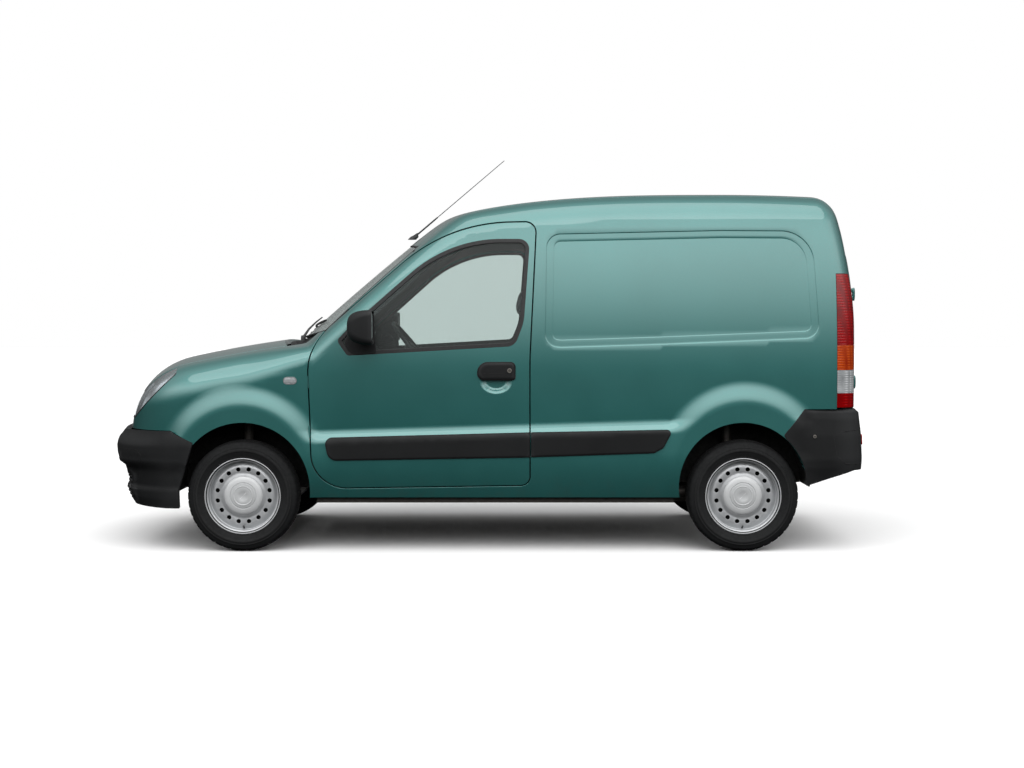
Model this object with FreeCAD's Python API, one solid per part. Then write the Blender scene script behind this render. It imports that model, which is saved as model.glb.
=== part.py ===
"""A compact panel van as separate pieces.

All lengths are in millimetres. The nose points to -X, the left side is -Y and
+Z is up. The origin is on the ground, half-way along the van, on its centre
plane. One formula describes the painted skin; every panel is a slice of it.
"""
import FreeCAD, Part
import math
import os

vector = FreeCAD.Vector

# Overall layout
WHEELBASE = 2605.0
FRONT_OVERHANG = 775.0
REAR_OVERHANG = 655.0
TRACK = 1400.0
NOSE_X = -(WHEELBASE + FRONT_OVERHANG + REAR_OVERHANG) / 2
TAIL_X = -NOSE_X
FRONT_AXLE_X = NOSE_X + FRONT_OVERHANG
REAR_AXLE_X = TAIL_X - REAR_OVERHANG
CUT_OVERRUN = 60.0
WIDE = 1300.0
SEAT_GAP = 0.3
SHUT_GAP = 6.0

# Wheels
TYRE_RADIUS = 290.0
TYRE_WIDTH = 165.0
TYRE_SHOULDER = 22.0
TYRE_TREAD_WIDTH = 125.0
RIM_RADIUS = 197.0
BEAD_RADIUS = 178.0
RIM_WALL = 6.0
WHEEL_HUB_RADIUS = 60.0

# Skin: side
HALF_WIDTH = 803.0
LOWER_BULGE = 16.0
CREASE_Z = 665.0
CREASE_RISE_SHARE = 0.03
CREASE_HEIGHT = 45.0
WAIST_Z = 900.0
TUMBLE_SPAN = 800.0
TUMBLE_IN = 108.0
TUMBLE_POWER = 1.9
BELOW_WAIST_RADIUS = 6670.0
TUCK_Z = 520.0
TUCK_RADIUS = 909.0
SIDE_NOSE_START = 240.0
SIDE_NOSE_RADIUS = 16700.0
SIDE_TAIL_START = -160.0
SIDE_TAIL_RADIUS = 25000.0

# Skin: top
BONNET_REF_X = FRONT_AXLE_X + 162.5
BONNET_Z = 1100.0
BONNET_SLOPE_SHARE = 0.13
BONNET_RADIUS = 6250.0
SCREEN_REF_X = FRONT_AXLE_X + 271.5
SCREEN_Z = 1139.0
SCREEN_SLOPE_SHARE = 0.90
SCREEN_RADIUS = 6670.0
HEADER_X = FRONT_AXLE_X + 830.0
ROOF_Z = 1892.0
ROOF_PEAK_X = REAR_AXLE_X - 112.5
ROOF_FALL = 170.0
ROOF_FALL_POWER = 2.9
ROOF_REAR_RADIUS = 10000.0
PLAN_BOW_RADIUS = 2500.0
CROWN_RADIUS = 6670.0
HEADER_BLEND = 35.0
COWL_BLEND = 10.0

# Skin: ends and corners
TAIL_SKIN_X = TAIL_X - 50.5
TAIL_LEAN_Z = 1150.0
TAIL_LEAN_RADIUS = 2270.0
TAIL_BOW_RADIUS = 11100.0
NOSE_SKIN_X = NOSE_X + 82.5
NOSE_LEAN_Z = 620.0
NOSE_LEAN_SHARE = 0.05
NOSE_BOW_RADIUS = 2270.0
CORNER_POWER = 2.3
TAIL_CORNER_RADIUS = 100.0
NOSE_CORNER_RADIUS = 300.0
SHOULDER_RADIUS = 60.0
SHOULDER_WING_EXTRA = 100.0
SHOULDER_ROOF_EXTRA = 60.0
SHOULDER_WING_END = FRONT_AXLE_X + 490.0
SHOULDER_WING_SPAN = 500.0
SHOULDER_ROOF_START = FRONT_AXLE_X + 790.0
SHOULDER_ROOF_SPAN = 600.0
SLOPE_NUDGE = 5.0

# Wheel arches
ARCH_FLARE_RADIUS = 462.0
ARCH_FLARE_WIDTH = 60.0
FRONT_FLARE_Z = 410.0
REAR_FLARE_Z = 430.0
ARCH_LIP = 8.0
ARCH_LIP_WIDTH = 50.0
FRONT_ARCH_RADIUS = 345.0
REAR_ARCH_RADIUS = 330.0
FRONT_ARCH_Z = 330.0
REAR_ARCH_Z = 345.0
ARCH_SHIFT = 10.0

# Wall thicknesses
SIDE_WALL = 48.0
ROOF_WALL = 30.0
WING_WALL = 22.0
BONNET_WALL = 26.0
DOOR_SKIN = 20.0
DOOR_WALL = 68.0
DOOR_STEP = 15.0
REAR_DOOR_WALL = 45.0
GLASS_WALL = 5.0
GLASS_SINK = 4.0

# Seams
ROOF_SEAM_Y = 585.0
BONNET_SEAM_Y = 610.0
SCREEN_FOOT_X = FRONT_AXLE_X + 242.0
SCREEN_FOOT_Y = 700.0
SCREEN_FOOT_BOW_RADIUS = 1315.0
SCREEN_FLANGE = 45.0
SCREEN_HEAD_Y = 590.0
WING_TOP_REAR_X = FRONT_AXLE_X + 455.0
SILL_BOTTOM_Z = 285.0
SCREEN_BOW_STEPS = 6
LOWER_ROWS = 3

# Front doors
DOOR_FRONT_X = FRONT_AXLE_X + 343.5
DOOR_LENGTH = 1183.0
DOOR_BOTTOM_Z = 335.0
DOOR_HEIGHT = 1381.0
DOOR_HINGE_LOW_Z = 600.0
DOOR_HINGE_HIGH_Z = 915.0
HINGE_PROUD = 1.0
HINGE_HEIGHT = 60.0

# Bumpers
FRONT_BUMPER_TOP_Z = 630.0
FRONT_BUMPER_BOTTOM_Z = 228.0
FRONT_BUMPER_REAR_X = FRONT_AXLE_X - 325.0
REAR_BUMPER_TOP_Z = 745.0
REAR_BUMPER_BOTTOM_Z = 378.0
REAR_BUMPER_FRONT_X = REAR_AXLE_X + 318.0
BUMPER_WALL = 40.0

# Floor
FLOOR_Z = 300.0
FLOOR_WALL = 40.0
LOAD_FLOOR_Z = 520.0
FLOOR_HALF_WIDTH = 700.0
FIREWALL_X = FRONT_AXLE_X + 300.0
LOAD_FLOOR_X = FRONT_AXLE_X + 1560.0

# Bulkhead, seated in a step ahead of the load floor
BULKHEAD_X = LOAD_FLOOR_X + 12.5
BULKHEAD_WALL = 20.0
BULKHEAD_STEP = 4.0
BULKHEAD_HALF_WIDTH = 690.0
BULKHEAD_TOP_Z = 1180.0

os.makedirs("parts", exist_ok=True)


def step(value):
    """Smooth 0 to 1 blend."""
    value = min(1.0, max(0.0, value))
    return value * value * (3 - 2 * value)


def arc_drop(distance, radius):
    """How far a gentle arc of this radius has fallen after a distance."""
    return distance * distance / (2 * radius)


def soft_min(first, second, blend):
    return (first + second - math.hypot(first - second, blend)) / 2


def soft_max(first, second, blend):
    return (first + second + math.hypot(first - second, blend)) / 2


def corner(first, second, radius):
    """The outside of two faces that meet in a rounded corner."""
    if first <= -radius or second <= -radius:
        return max(first, second)
    first_share = (first + radius) / radius
    second_share = (second + radius) / radius
    power = CORNER_POWER
    return radius * (first_share**power + second_share**power) ** (1 / power) - radius


def top_z(x, y):
    """Height of bonnet, windscreen and roof above a point of the plan."""
    bowed = x - arc_drop(y, PLAN_BOW_RADIUS)
    ahead = bowed - BONNET_REF_X
    bonnet = BONNET_Z + BONNET_SLOPE_SHARE * ahead - arc_drop(ahead, BONNET_RADIUS)
    ahead = bowed - SCREEN_REF_X
    screen = SCREEN_Z + SCREEN_SLOPE_SHARE * ahead - arc_drop(ahead, SCREEN_RADIUS)
    before_peak = max(0.0, ROOF_PEAK_X - x) / (ROOF_PEAK_X - HEADER_X)
    roof = ROOF_Z - ROOF_FALL * before_peak**ROOF_FALL_POWER
    roof -= arc_drop(max(0.0, x - ROOF_PEAK_X), ROOF_REAR_RADIUS)
    upper = soft_min(screen, roof, HEADER_BLEND)
    return soft_max(bonnet, upper, COWL_BLEND) - arc_drop(y, CROWN_RADIUS)


def flare_centres():
    return ((FRONT_AXLE_X, FRONT_FLARE_Z), (REAR_AXLE_X, REAR_FLARE_Z))


def side_y(x, z):
    """Half width of the skin at a point of the side view."""
    crease = CREASE_Z + CREASE_RISE_SHARE * x
    tumble = TUMBLE_IN * (max(0.0, z - WAIST_Z) / TUMBLE_SPAN) ** TUMBLE_POWER
    below = max(0.0, WAIST_Z - z)
    upper = HALF_WIDTH - tumble - arc_drop(below, BELOW_WAIST_RADIUS)
    lower = HALF_WIDTH + LOWER_BULGE - arc_drop(max(0.0, TUCK_Z - z), TUCK_RADIUS)
    blend = step((crease - z) / CREASE_HEIGHT)
    lip = 0.0
    for centre_x, centre_z in flare_centres():
        reach = math.hypot(x - centre_x, z - centre_z)
        flare = step((ARCH_FLARE_RADIUS - reach) / ARCH_FLARE_WIDTH)
        blend = 1 - (1 - blend) * (1 - flare)
        lip += ARCH_LIP * step((ARCH_FLARE_RADIUS - reach) / ARCH_LIP_WIDTH)
    width = upper + (lower - upper) * blend + lip
    width -= arc_drop(max(0.0, FRONT_AXLE_X + SIDE_NOSE_START - x), SIDE_NOSE_RADIUS)
    width -= arc_drop(max(0.0, x - REAR_AXLE_X - SIDE_TAIL_START), SIDE_TAIL_RADIUS)
    return width


def tail_x(y, z):
    lean = arc_drop(max(0.0, z - TAIL_LEAN_Z), TAIL_LEAN_RADIUS)
    return TAIL_SKIN_X - lean - arc_drop(y, TAIL_BOW_RADIUS)


def nose_x(y, z):
    lean = NOSE_LEAN_SHARE * max(0.0, z - NOSE_LEAN_Z)
    return NOSE_SKIN_X + lean + arc_drop(y, NOSE_BOW_RADIUS)


def shoulder_radius(x):
    wing = step((SHOULDER_WING_END - x) / SHOULDER_WING_SPAN)
    roof = step((x - SHOULDER_ROOF_START) / SHOULDER_ROOF_SPAN)
    return SHOULDER_RADIUS + SHOULDER_WING_EXTRA * wing + SHOULDER_ROOF_EXTRA * roof


def skin(x, y, z):
    """Rough signed distance to the painted skin, negative inside."""
    y = abs(y)
    slope = (top_z(x + SLOPE_NUDGE, y) - top_z(x - SLOPE_NUDGE, y)) / (2 * SLOPE_NUDGE)
    above = (z - top_z(x, y)) / math.hypot(1.0, slope)
    value = corner(y - side_y(x, z), above, shoulder_radius(x))
    value = corner(value, x - tail_x(y, z), TAIL_CORNER_RADIUS)
    return corner(value, nose_x(y, z) - x, NOSE_CORNER_RADIUS)


def on_skin(origin, direction, depth):
    """Where a ray from the inside reaches this depth under the skin."""
    near = 0.0
    far = WIDE
    for _ in range(22):
        middle = (near + far) / 2
        point = [start + middle * way for start, way in zip(origin, direction)]
        if skin(*point) < -depth:
            near = middle
        else:
            far = middle
    return vector(*(start + near * way for start, way in zip(origin, direction)))


def facets_solid(rows, closed=False):
    """A solid from rings of points, each ring closed on itself."""
    faces = []

    def add(*points):
        if len(set((round(p.x, 3), round(p.y, 3), round(p.z, 3)) for p in points)) < 3:
            return
        faces.append(Part.Face(Part.makePolygon(list(points) + [points[0]])))

    pairs = list(zip(rows, rows[1:]))
    if closed:
        pairs.append((rows[-1], rows[0]))
    for first, second in pairs:
        for index in range(len(first)):
            after = (index + 1) % len(first)
            if 2 * index < len(first):
                add(first[index], first[after], second[after])
                add(first[index], second[after], second[index])
            else:
                add(first[index], first[after], second[index])
                add(first[after], second[after], second[index])
    if not closed:
        for ring in (rows[0], rows[-1]):
            half = len(ring) // 2
            for index in range(half - 1):
                mirror = len(ring) - 1 - index
                add(ring[index], ring[index + 1], ring[mirror - 1])
                add(ring[index], ring[mirror - 1], ring[mirror])
    shell = Part.makeShell(faces)
    shell.sewShape()
    solid = Part.makeSolid(shell)
    if solid.Volume < 0:
        solid.reverse()
    return solid


def slab(columns, outer, inner):
    """A slice of the skin: columns of rays, between two depths."""
    rows = []
    for rays in columns:
        ring = [on_skin(origin, way, outer) for origin, way in rays]
        ring += [on_skin(origin, way, inner) for origin, way in reversed(rays)]
        rows.append(ring)
    return facets_solid(rows)


def spread(first, last, count):
    """Evenly spaced values from first to last, ends included."""
    return [first + (last - first) * index / count for index in range(count + 1)]


FAN_Y = 600.0
FAN_INSET = 450.0
FAN_DROP = 160.0
FAN_TOP_Z = 1550.0
CABIN_FAN_LOW_Z = 980.0


def fan_ray(x, z, turn, lift):
    turn = math.radians(turn)
    lift = math.radians(lift)
    way = (math.sin(turn) * math.cos(lift), -math.cos(turn) * math.cos(lift), math.sin(lift))
    return ((x, -FAN_INSET, z), way)


def side_rays(stations, turns, upper_rows, floor_z=CABIN_FAN_LOW_Z, lifts=(18, 36, 54, 72, 90)):
    """Rays for the left side: out to the flank, round an end, then up."""
    columns = []
    end = stations[-1] if turns and turns[-1] > 0 else stations[0]
    places = [(x, 0.0) for x in stations]
    places = places + [(end, turn) for turn in turns] if turns and turns[-1] > 0 \
        else [(end, turn) for turn in reversed(turns)] + places
    for x, turn in places:
        crease = CREASE_Z + CREASE_RISE_SHARE * x
        shoulder = max(floor_z, min(FAN_TOP_Z, top_z(x, FAN_Y) - FAN_DROP))
        heights = spread(SILL_BOTTOM_Z, crease - CREASE_HEIGHT, LOWER_ROWS)
        heights += [crease - CREASE_HEIGHT / 2]
        heights += spread(crease, shoulder, upper_rows)
        rays = [(z, 0.0) for z in heights] + [(shoulder, lift) for lift in lifts]
        columns.append([fan_ray(x, z, turn, lift) for z, lift in rays])
    return columns


def top_rays(stations, sides, angles, drop):
    """Rays for the top: straight up, then over the front or rear edge."""
    columns = []
    for y in sides:
        rays = []
        for x in stations:
            rays.append(((x, y, top_z(x, y) - drop), (0.0, 0.0, 1.0)))
        for angle in angles:
            turn = math.radians(abs(angle))
            way = (math.copysign(math.cos(turn), angle), 0.0, math.sin(turn))
            ray = ((stations[0] if angle < 0 else stations[-1], y, 0.0), way)
            start = (ray[0][0], y, top_z(ray[0][0], y) - drop)
            rays = [(start, way)] + rays if angle < 0 else rays + [(start, way)]
        columns.append(rays)
    return columns


def rounded(points, offset=0.0):
    """Edges of a closed outline: (u, v, radius) corners, moved out by offset."""
    count = len(points)
    area = sum(points[i - 1][0] * points[i][1] - points[i][0] * points[i - 1][1] for i in range(count))
    turn = 1.0 if area > 0 else -1.0
    lines = []
    for index in range(count):
        u0, v0 = points[index][:2]
        u1, v1 = points[(index + 1) % count][:2]
        length = math.hypot(u1 - u0, v1 - v0)
        way = ((u1 - u0) / length, (v1 - v0) / length)
        out = (way[1] * turn * offset, -way[0] * turn * offset)
        lines.append((u0 + out[0], v0 + out[1], way))
    corners = []
    for index in range(count):
        u0, v0, way0 = lines[index - 1]
        u1, v1, way1 = lines[index]
        cross = way0[0] * way1[1] - way0[1] * way1[0]
        along = ((u1 - u0) * way1[1] - (v1 - v0) * way1[0]) / cross
        corner_u = u0 + along * way0[0]
        corner_v = v0 + along * way0[1]
        bend = cross * turn
        radius = points[index][2]
        if radius > 0:
            radius = max(radius + (offset if bend > 0 else -offset), 0.0)
        corners.append((corner_u, corner_v, radius, way0, way1, abs(cross)))
    return corners


def outline_wire(points, place, offset=0.0):
    """A wire of lines and arcs; place turns (u, v) into a space point."""
    edges = []
    stops = []
    for u, v, radius, way0, way1, _ in rounded(points, offset):
        dot = way0[0] * way1[0] + way0[1] * way1[1]
        turn = math.acos(max(-1.0, min(1.0, dot)))
        back = radius * math.tan(turn / 2)
        start = (u - way0[0] * back, v - way0[1] * back)
        stop = (u + way1[0] * back, v + way1[1] * back)
        middle = None
        if radius > 0:
            away = (way1[0] - way0[0], way1[1] - way0[1])
            size = math.hypot(*away)
            to_arc = radius / math.cos(turn / 2) - radius
            middle = (u + away[0] / size * to_arc, v + away[1] / size * to_arc)
        stops.append((start, middle, stop))
    for index, (start, middle, stop) in enumerate(stops):
        if middle:
            edges.append(Part.Arc(place(*start), place(*middle), place(*stop)).toShape())
        following = stops[(index + 1) % len(stops)][0]
        if math.dist(stop, following) > SEAT_GAP:
            edges.append(Part.LineSegment(place(*stop), place(*following)).toShape())
    return Part.Wire(Part.__sortEdges__(edges))


def side_prism(points, offset=0.0, inner=0.0, outer=WIDE):
    """An outline of the side view, carried across the left half."""
    wire = outline_wire(points, lambda u, v: vector(u, -outer, v), offset)
    return Part.Face(wire).extrude(vector(0, outer - inner, 0))


def plan_prism(points, offset=0.0, low=0.0, high=None):
    high = high or ROOF_Z + CUT_OVERRUN
    wire = outline_wire(points, lambda u, v: vector(u, v, low), offset)
    return Part.Face(wire).extrude(vector(0, 0, high - low))


def end_prism(points, low, high, offset=0.0):
    """An outline of the front or rear view (y, z), carried along X."""
    wire = outline_wire(points, lambda u, v: vector(low, u, v), offset)
    return Part.Face(wire).extrude(vector(high - low, 0, 0))


def box(low, high):
    size = [b - a for a, b in zip(low, high)]
    return Part.makeBox(*size, vector(*low))


def rod(start, end, radius):
    axis = vector(*end) - vector(*start)
    return Part.makeCylinder(radius, axis.Length, vector(*start), axis)


def mirrored(shape):
    return shape.mirror(vector(0, 0, 0), vector(0, 1, 0))


def fused(shapes):
    joined = shapes[0].multiFuse(shapes[1:]) if len(shapes) > 1 else shapes[0]
    return joined.removeSplitter()


def write(name, shape):
    shape.exportStep(f"parts/{name}.step")
    print(f"{name:18s} solids {len(shape.Solids)} valid {shape.isValid()} volume {shape.Volume / 1e6:9.2f} l")


# Side view outlines: corners with their radii, as shares of the door's box
DOOR_CORNER_SHARES = (
    (0.025, 0.0, 0.152),
    (0.971, 0.012, 0.038),
    (0.970, 0.482, 2.10),
    (1.0, 1.0, 0.046),
    (0.611, 0.994, 0.76),
    (0.0, 0.538, 0.279),
)
WINDOW_CORNER_SHARES = (
    (0.175, 0.4975, 0.02),
    (0.905, 0.533, 0.05),
    (0.945, 0.62, 0.2),
    (0.9725, 0.935, 0.045),
    (0.62, 0.935, 0.60),
    (0.18, 0.60, 0.10),
    (0.13, 0.553, 0.02),
)


def door_points(shares):
    scale = DOOR_LENGTH
    return [(DOOR_FRONT_X + u * DOOR_LENGTH, DOOR_BOTTOM_Z + v * DOOR_HEIGHT, r * scale)
            for u, v, r in shares]


def arch_cut(axle_x, shift, centre_z, radius):
    centre = axle_x + shift
    points = [
        (centre - radius, -CUT_OVERRUN, 0.0),
        (centre + radius, -CUT_OVERRUN, 0.0),
        (centre + radius, centre_z + radius, 0.998 * radius),
        (centre - radius, centre_z + radius, 0.998 * radius),
    ]
    return side_prism(points)


def screen_points():
    """Plan outline of the windscreen, its foot and head bowed forwards."""
    foot = [(SCREEN_FOOT_X + arc_drop(y, SCREEN_FOOT_BOW_RADIUS), y, 0.0)
            for y in spread(-SCREEN_FOOT_Y, SCREEN_FOOT_Y, SCREEN_BOW_STEPS)]
    head = [(HEADER_X + arc_drop(y, PLAN_BOW_RADIUS), y, 0.0)
            for y in spread(SCREEN_HEAD_Y, -SCREEN_HEAD_Y, SCREEN_BOW_STEPS)]
    return foot + head


# Where the flank and the roof turn into the tail, and the flank into the nose
TAIL_TURN_X = TAIL_SKIN_X - 147.0
NOSE_TURN_X = NOSE_SKIN_X + 335.0
TAIL_TURNS = (15, 30, 45, 60, 75, 90)
NOSE_TURNS = (-15, -30, -45, -60, -75, -90)

# Rear doors and tail lamps
REAR_DOOR_HALF_WIDTH = 655.0
REAR_DOOR_TOP_HALF_WIDTH = 600.0
REAR_DOOR_BOTTOM_Z = 756.0
REAR_DOOR_TOP_Z = 1772.0
REAR_DOOR_RADIUS = 60.0
REAR_DOOR_COLUMNS = 10
REAR_DOOR_ROWS = 8
REAR_SPLIT_Y = 140.0
REAR_WINDOW_INSET = 95.0
REAR_WINDOW_BOTTOM_Z = 1160.0
REAR_WINDOW_TOP_INSET = 130.0
REAR_WINDOW_RADIUS = 50.0
REAR_HINGE_LOW_Z = 850.0
REAR_HINGE_HIGH_Z = 1370.0
REAR_HINGE_PROUD = 14.0
REAR_HINGE_RADIUS = 9.0
REAR_HINGE_INSET = 12.0
TAIL_LAMP_X = TAIL_X - 176.5
TAIL_LAMP_BOTTOM_Z = 752.0
TAIL_LAMP_TOP_Z = 1446.0
TAIL_LAMP_INNER_Y = 706.0
TAIL_LAMP_WALL = 30.0
TAIL_LAMP_PROUD = 3.0

# Headlamps and the bonnet's front edge, in the front view
LAMP_INNER_Y = 450.0
LAMP_BOTTOM_Z = 690.0
LAMP_WALL = 30.0
LAMP_DEPTH = 150.0
BONNET_EDGE_Z = 800.0
BONNET_EDGE_RISE = 22.0
BONNET_EDGE_CORNER_Z = 870.0
BONNET_EDGE_SIDE_Z = 945.0
LAMP_TAIL_X = NOSE_X + 423.0
LAMP_TAIL_Z = 925.0
LAMP_FOOT_X = NOSE_X + 175.0
LAMP_TAIL_SET = 20.0
LAMP_STATIONS = 4
BONNET_FLAT_HALF_WIDTH = LAMP_INNER_Y - 30.0
BONNET_CORNER_Y = LAMP_INNER_Y + 90.0


def headlamp_points():
    """Side view of everything ahead of the lamp's slanted rear edge."""
    ahead = NOSE_X - CUT_OVERRUN
    return [
        (ahead, LAMP_BOTTOM_Z, 0.0),
        (LAMP_FOOT_X, LAMP_BOTTOM_Z, 0.0),
        (LAMP_TAIL_X, LAMP_TAIL_Z, LAMP_TAIL_SET),
        (LAMP_TAIL_X - LAMP_TAIL_SET, BONNET_EDGE_SIDE_Z + CUT_OVERRUN, 0.0),
        (ahead, BONNET_EDGE_SIDE_Z + CUT_OVERRUN, 0.0),
    ]


def bonnet_front_points():
    """Front view of everything above the bonnet's front edge."""
    half = [
        (0.0, BONNET_EDGE_Z),
        (BONNET_FLAT_HALF_WIDTH, BONNET_EDGE_Z + BONNET_EDGE_RISE),
        (BONNET_CORNER_Y, BONNET_EDGE_CORNER_Z),
        (BONNET_SEAM_Y, BONNET_EDGE_SIDE_Z),
        (BONNET_SEAM_Y, ROOF_Z),
    ]
    return [(-y, z, 0.0) for y, z in half[:0:-1]] + [(y, z, 0.0) for y, z in half]


def bonnet_region(offset=0.0):
    front = end_prism(bonnet_front_points(), NOSE_X - CUT_OVERRUN, WING_TOP_REAR_X, offset)
    rear = [(NOSE_X - CUT_OVERRUN, -BONNET_SEAM_Y, 0.0), (NOSE_X - CUT_OVERRUN, BONNET_SEAM_Y, 0.0)]
    rear += [(BONNET_REAR_X + arc_drop(y, PLAN_BOW_RADIUS), y, 0.0)
             for y in spread(BONNET_SEAM_Y, -BONNET_SEAM_Y, SCREEN_BOW_STEPS)]
    return front.common(plan_prism(rear, offset, LAMP_BOTTOM_Z))


BONNET_REAR_X = FRONT_AXLE_X + 140.0


def cabin_slab(outer, inner):
    stations = spread(CABIN_FRONT_X, TAIL_TURN_X, CABIN_STATIONS)
    return slab(side_rays(stations, TAIL_TURNS, CABIN_ROWS), outer, inner)


CABIN_FRONT_X = FRONT_AXLE_X + 262.0
CABIN_STATIONS = 24
CABIN_ROWS = 6


def body_side():
    panel = cabin_slab(0.0, SIDE_WALL)
    cuts = [
        side_prism(door_points(DOOR_CORNER_SHARES), SHUT_GAP),
        arch_cut(FRONT_AXLE_X, ARCH_SHIFT, FRONT_ARCH_Z, FRONT_ARCH_RADIUS),
        arch_cut(REAR_AXLE_X, -ARCH_SHIFT, REAR_ARCH_Z, REAR_ARCH_RADIUS),
        wing_prism(),
        cowl_prism(),
        screen_opening(),
        screen_pocket(),
        box((HEADER_X - SCREEN_FLANGE, -ROOF_SEAM_Y, SCREEN_Z), (TAIL_X, 0.0, ROOF_Z + CUT_OVERRUN)),
        rear_door_prism(SHUT_GAP),
        tail_lamp_box(),
        box((REAR_BUMPER_FRONT_X, -WIDE, 0.0), (TAIL_X, 0.0, REAR_BUMPER_TOP_Z)),
    ]
    return fused([panel.cut(cuts), rear_hinge_half(False)])


def tail_lamp_box():
    return box((TAIL_LAMP_X, -WIDE, TAIL_LAMP_BOTTOM_Z), (TAIL_X, -TAIL_LAMP_INNER_Y, TAIL_LAMP_TOP_Z))


def wing_prism():
    """Side view of everything ahead of the seam between wing and body side."""
    foot = DOOR_FRONT_X + WING_FOOT_SHARE * DOOR_LENGTH
    return side_prism([
        (NOSE_X - CUT_OVERRUN, 0.0, 0.0),
        (foot, 0.0, 0.0),
        (foot, DOOR_BOTTOM_Z + DOOR_HEIGHT / 2, 0.0),
        (WING_TOP_REAR_X, DOOR_BOTTOM_Z + DOOR_HEIGHT / 2, 0.0),
        (WING_TOP_REAR_X, ROOF_Z, 0.0),
        (NOSE_X - CUT_OVERRUN, ROOF_Z, 0.0),
    ])


WING_FOOT_SHARE = 0.1671


def wing():
    stations = spread(NOSE_TURN_X, WING_SLAB_REAR_X, WING_STATIONS)
    panel = slab(side_rays(stations, NOSE_TURNS, WING_ROWS, floor_z=0.0), 0.0, WING_WALL)
    panel = panel.common(wing_prism())
    cuts = [
        side_prism(door_points(DOOR_CORNER_SHARES), SHUT_GAP),
        arch_cut(FRONT_AXLE_X, ARCH_SHIFT, FRONT_ARCH_Z, FRONT_ARCH_RADIUS),
        bonnet_region(SHUT_GAP),
        side_prism(headlamp_points()),
        front_bumper_prism(),
        screen_opening(),
        screen_pocket(),
        cowl_prism(),
    ]
    return panel.cut(cuts)


WING_SLAB_REAR_X = FRONT_AXLE_X + 560.0
WING_STATIONS = 10
WING_ROWS = 3


def cowl_prism():
    """Plan of the gap between bonnet and windscreen, where the scuttle lies."""
    front = [(BONNET_REAR_X + arc_drop(y, PLAN_BOW_RADIUS) - CUT_OVERRUN, y, 0.0)
             for y in spread(-BONNET_SEAM_Y, BONNET_SEAM_Y, SCREEN_BOW_STEPS)]
    rear = [(SCREEN_FOOT_X + arc_drop(y, SCREEN_FOOT_BOW_RADIUS) + CUT_OVERRUN, y, 0.0)
            for y in spread(BONNET_SEAM_Y, -BONNET_SEAM_Y, SCREEN_BOW_STEPS)]
    return plan_prism(front + rear, 0.0, DOOR_BOTTOM_Z + DOOR_HEIGHT / 2)


def front_bumper_points():
    """Side view of the front bumper's cover."""
    return [
        (NOSE_X - CUT_OVERRUN, FRONT_BUMPER_BOTTOM_Z, 0.0),
        (FRONT_BUMPER_REAR_X, FRONT_BUMPER_BOTTOM_Z, 0.0),
        (FRONT_BUMPER_REAR_X, FRONT_ARCH_Z, 0.0),
        (FRONT_BUMPER_REAR_X + FRONT_BUMPER_HORN, FRONT_BUMPER_TOP_Z - CUT_OVERRUN, 0.0),
        (FRONT_BUMPER_REAR_X - 0.6 * FRONT_BUMPER_HORN, FRONT_BUMPER_TOP_Z, 0.0),
        (NOSE_X - CUT_OVERRUN, FRONT_BUMPER_TOP_Z, 0.0),
    ]


FRONT_BUMPER_HORN = 77.0


def front_bumper_prism(offset=0.0):
    return side_prism(front_bumper_points(), offset)


def rear_door_outline():
    low = REAR_DOOR_HALF_WIDTH
    high = REAR_DOOR_TOP_HALF_WIDTH
    return [
        (-low, REAR_DOOR_BOTTOM_Z, REAR_DOOR_RADIUS),
        (low, REAR_DOOR_BOTTOM_Z, REAR_DOOR_RADIUS),
        (high, REAR_DOOR_TOP_Z, REAR_DOOR_RADIUS),
        (-high, REAR_DOOR_TOP_Z, REAR_DOOR_RADIUS),
    ]


def rear_door_prism(offset=0.0):
    return end_prism(rear_door_outline(), REAR_AXLE_X, TAIL_X, offset)


def roof_slab(outer, inner):
    stations = spread(HEADER_X - FAN_DROP, TAIL_TURN_X, ROOF_STATIONS)
    sides = spread(-ROOF_SEAM_Y, ROOF_SEAM_Y, ROOF_COLUMNS)
    return slab(top_rays(stations, sides, (72, 54, 36, 18, 6), ROOF_DROP), outer, inner)


def roof():
    ahead = box((NOSE_X, -WIDE, 0.0), (HEADER_X - SCREEN_FLANGE, WIDE, ROOF_Z + CUT_OVERRUN))
    cuts = [screen_opening(), screen_pocket(), rear_door_prism(SHUT_GAP), ahead]
    return roof_slab(0.0, ROOF_WALL).cut(cuts)


ROOF_STATIONS = 12
ROOF_COLUMNS = 8
ROOF_DROP = 110.0


SCREEN_STATIONS = 9


def screen_layer(outer, inner, clearance):
    """A slice of the skin inside the windscreen's outline, alike on both sides."""
    stations = spread(SCREEN_FOOT_X - FAN_DROP / 4, HEADER_X + FAN_DROP, SCREEN_STATIONS)
    sides = spread(-SCREEN_FOOT_Y - 2 * SHUT_GAP, 0.0, ROOF_COLUMNS // 2)
    half = slab(top_rays(stations, sides, (), ROOF_DROP), outer, inner)
    half = half.common(plan_prism(screen_points(), clearance))
    return fused([half, mirrored(half)])


def windscreen():
    return screen_layer(GLASS_SINK, GLASS_SINK + GLASS_WALL, 0.0)


def screen_pocket(clearance=SEAT_GAP):
    """Recess in roof and pillars that the windscreen is bonded into."""
    return screen_layer(-CUT_OVERRUN / 2, GLASS_SINK + GLASS_WALL + clearance, clearance)


def screen_opening():
    return plan_prism(screen_points(), -SCREEN_FLANGE)


def bonnet():
    stations = spread(NOSE_TURN_X, WING_TOP_REAR_X, BONNET_STATIONS)
    sides = spread(-BONNET_SEAM_Y - SHUT_GAP, BONNET_SEAM_Y + SHUT_GAP, ROOF_COLUMNS)
    angles = (-70, -50, -30, -12, -1)
    panel = slab(top_rays(stations, sides, angles, BONNET_DROP), 0.0, BONNET_WALL)
    return fused([panel.common(bonnet_region())] + [bonnet_lug(side) for side in (-1, 1)])


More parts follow.
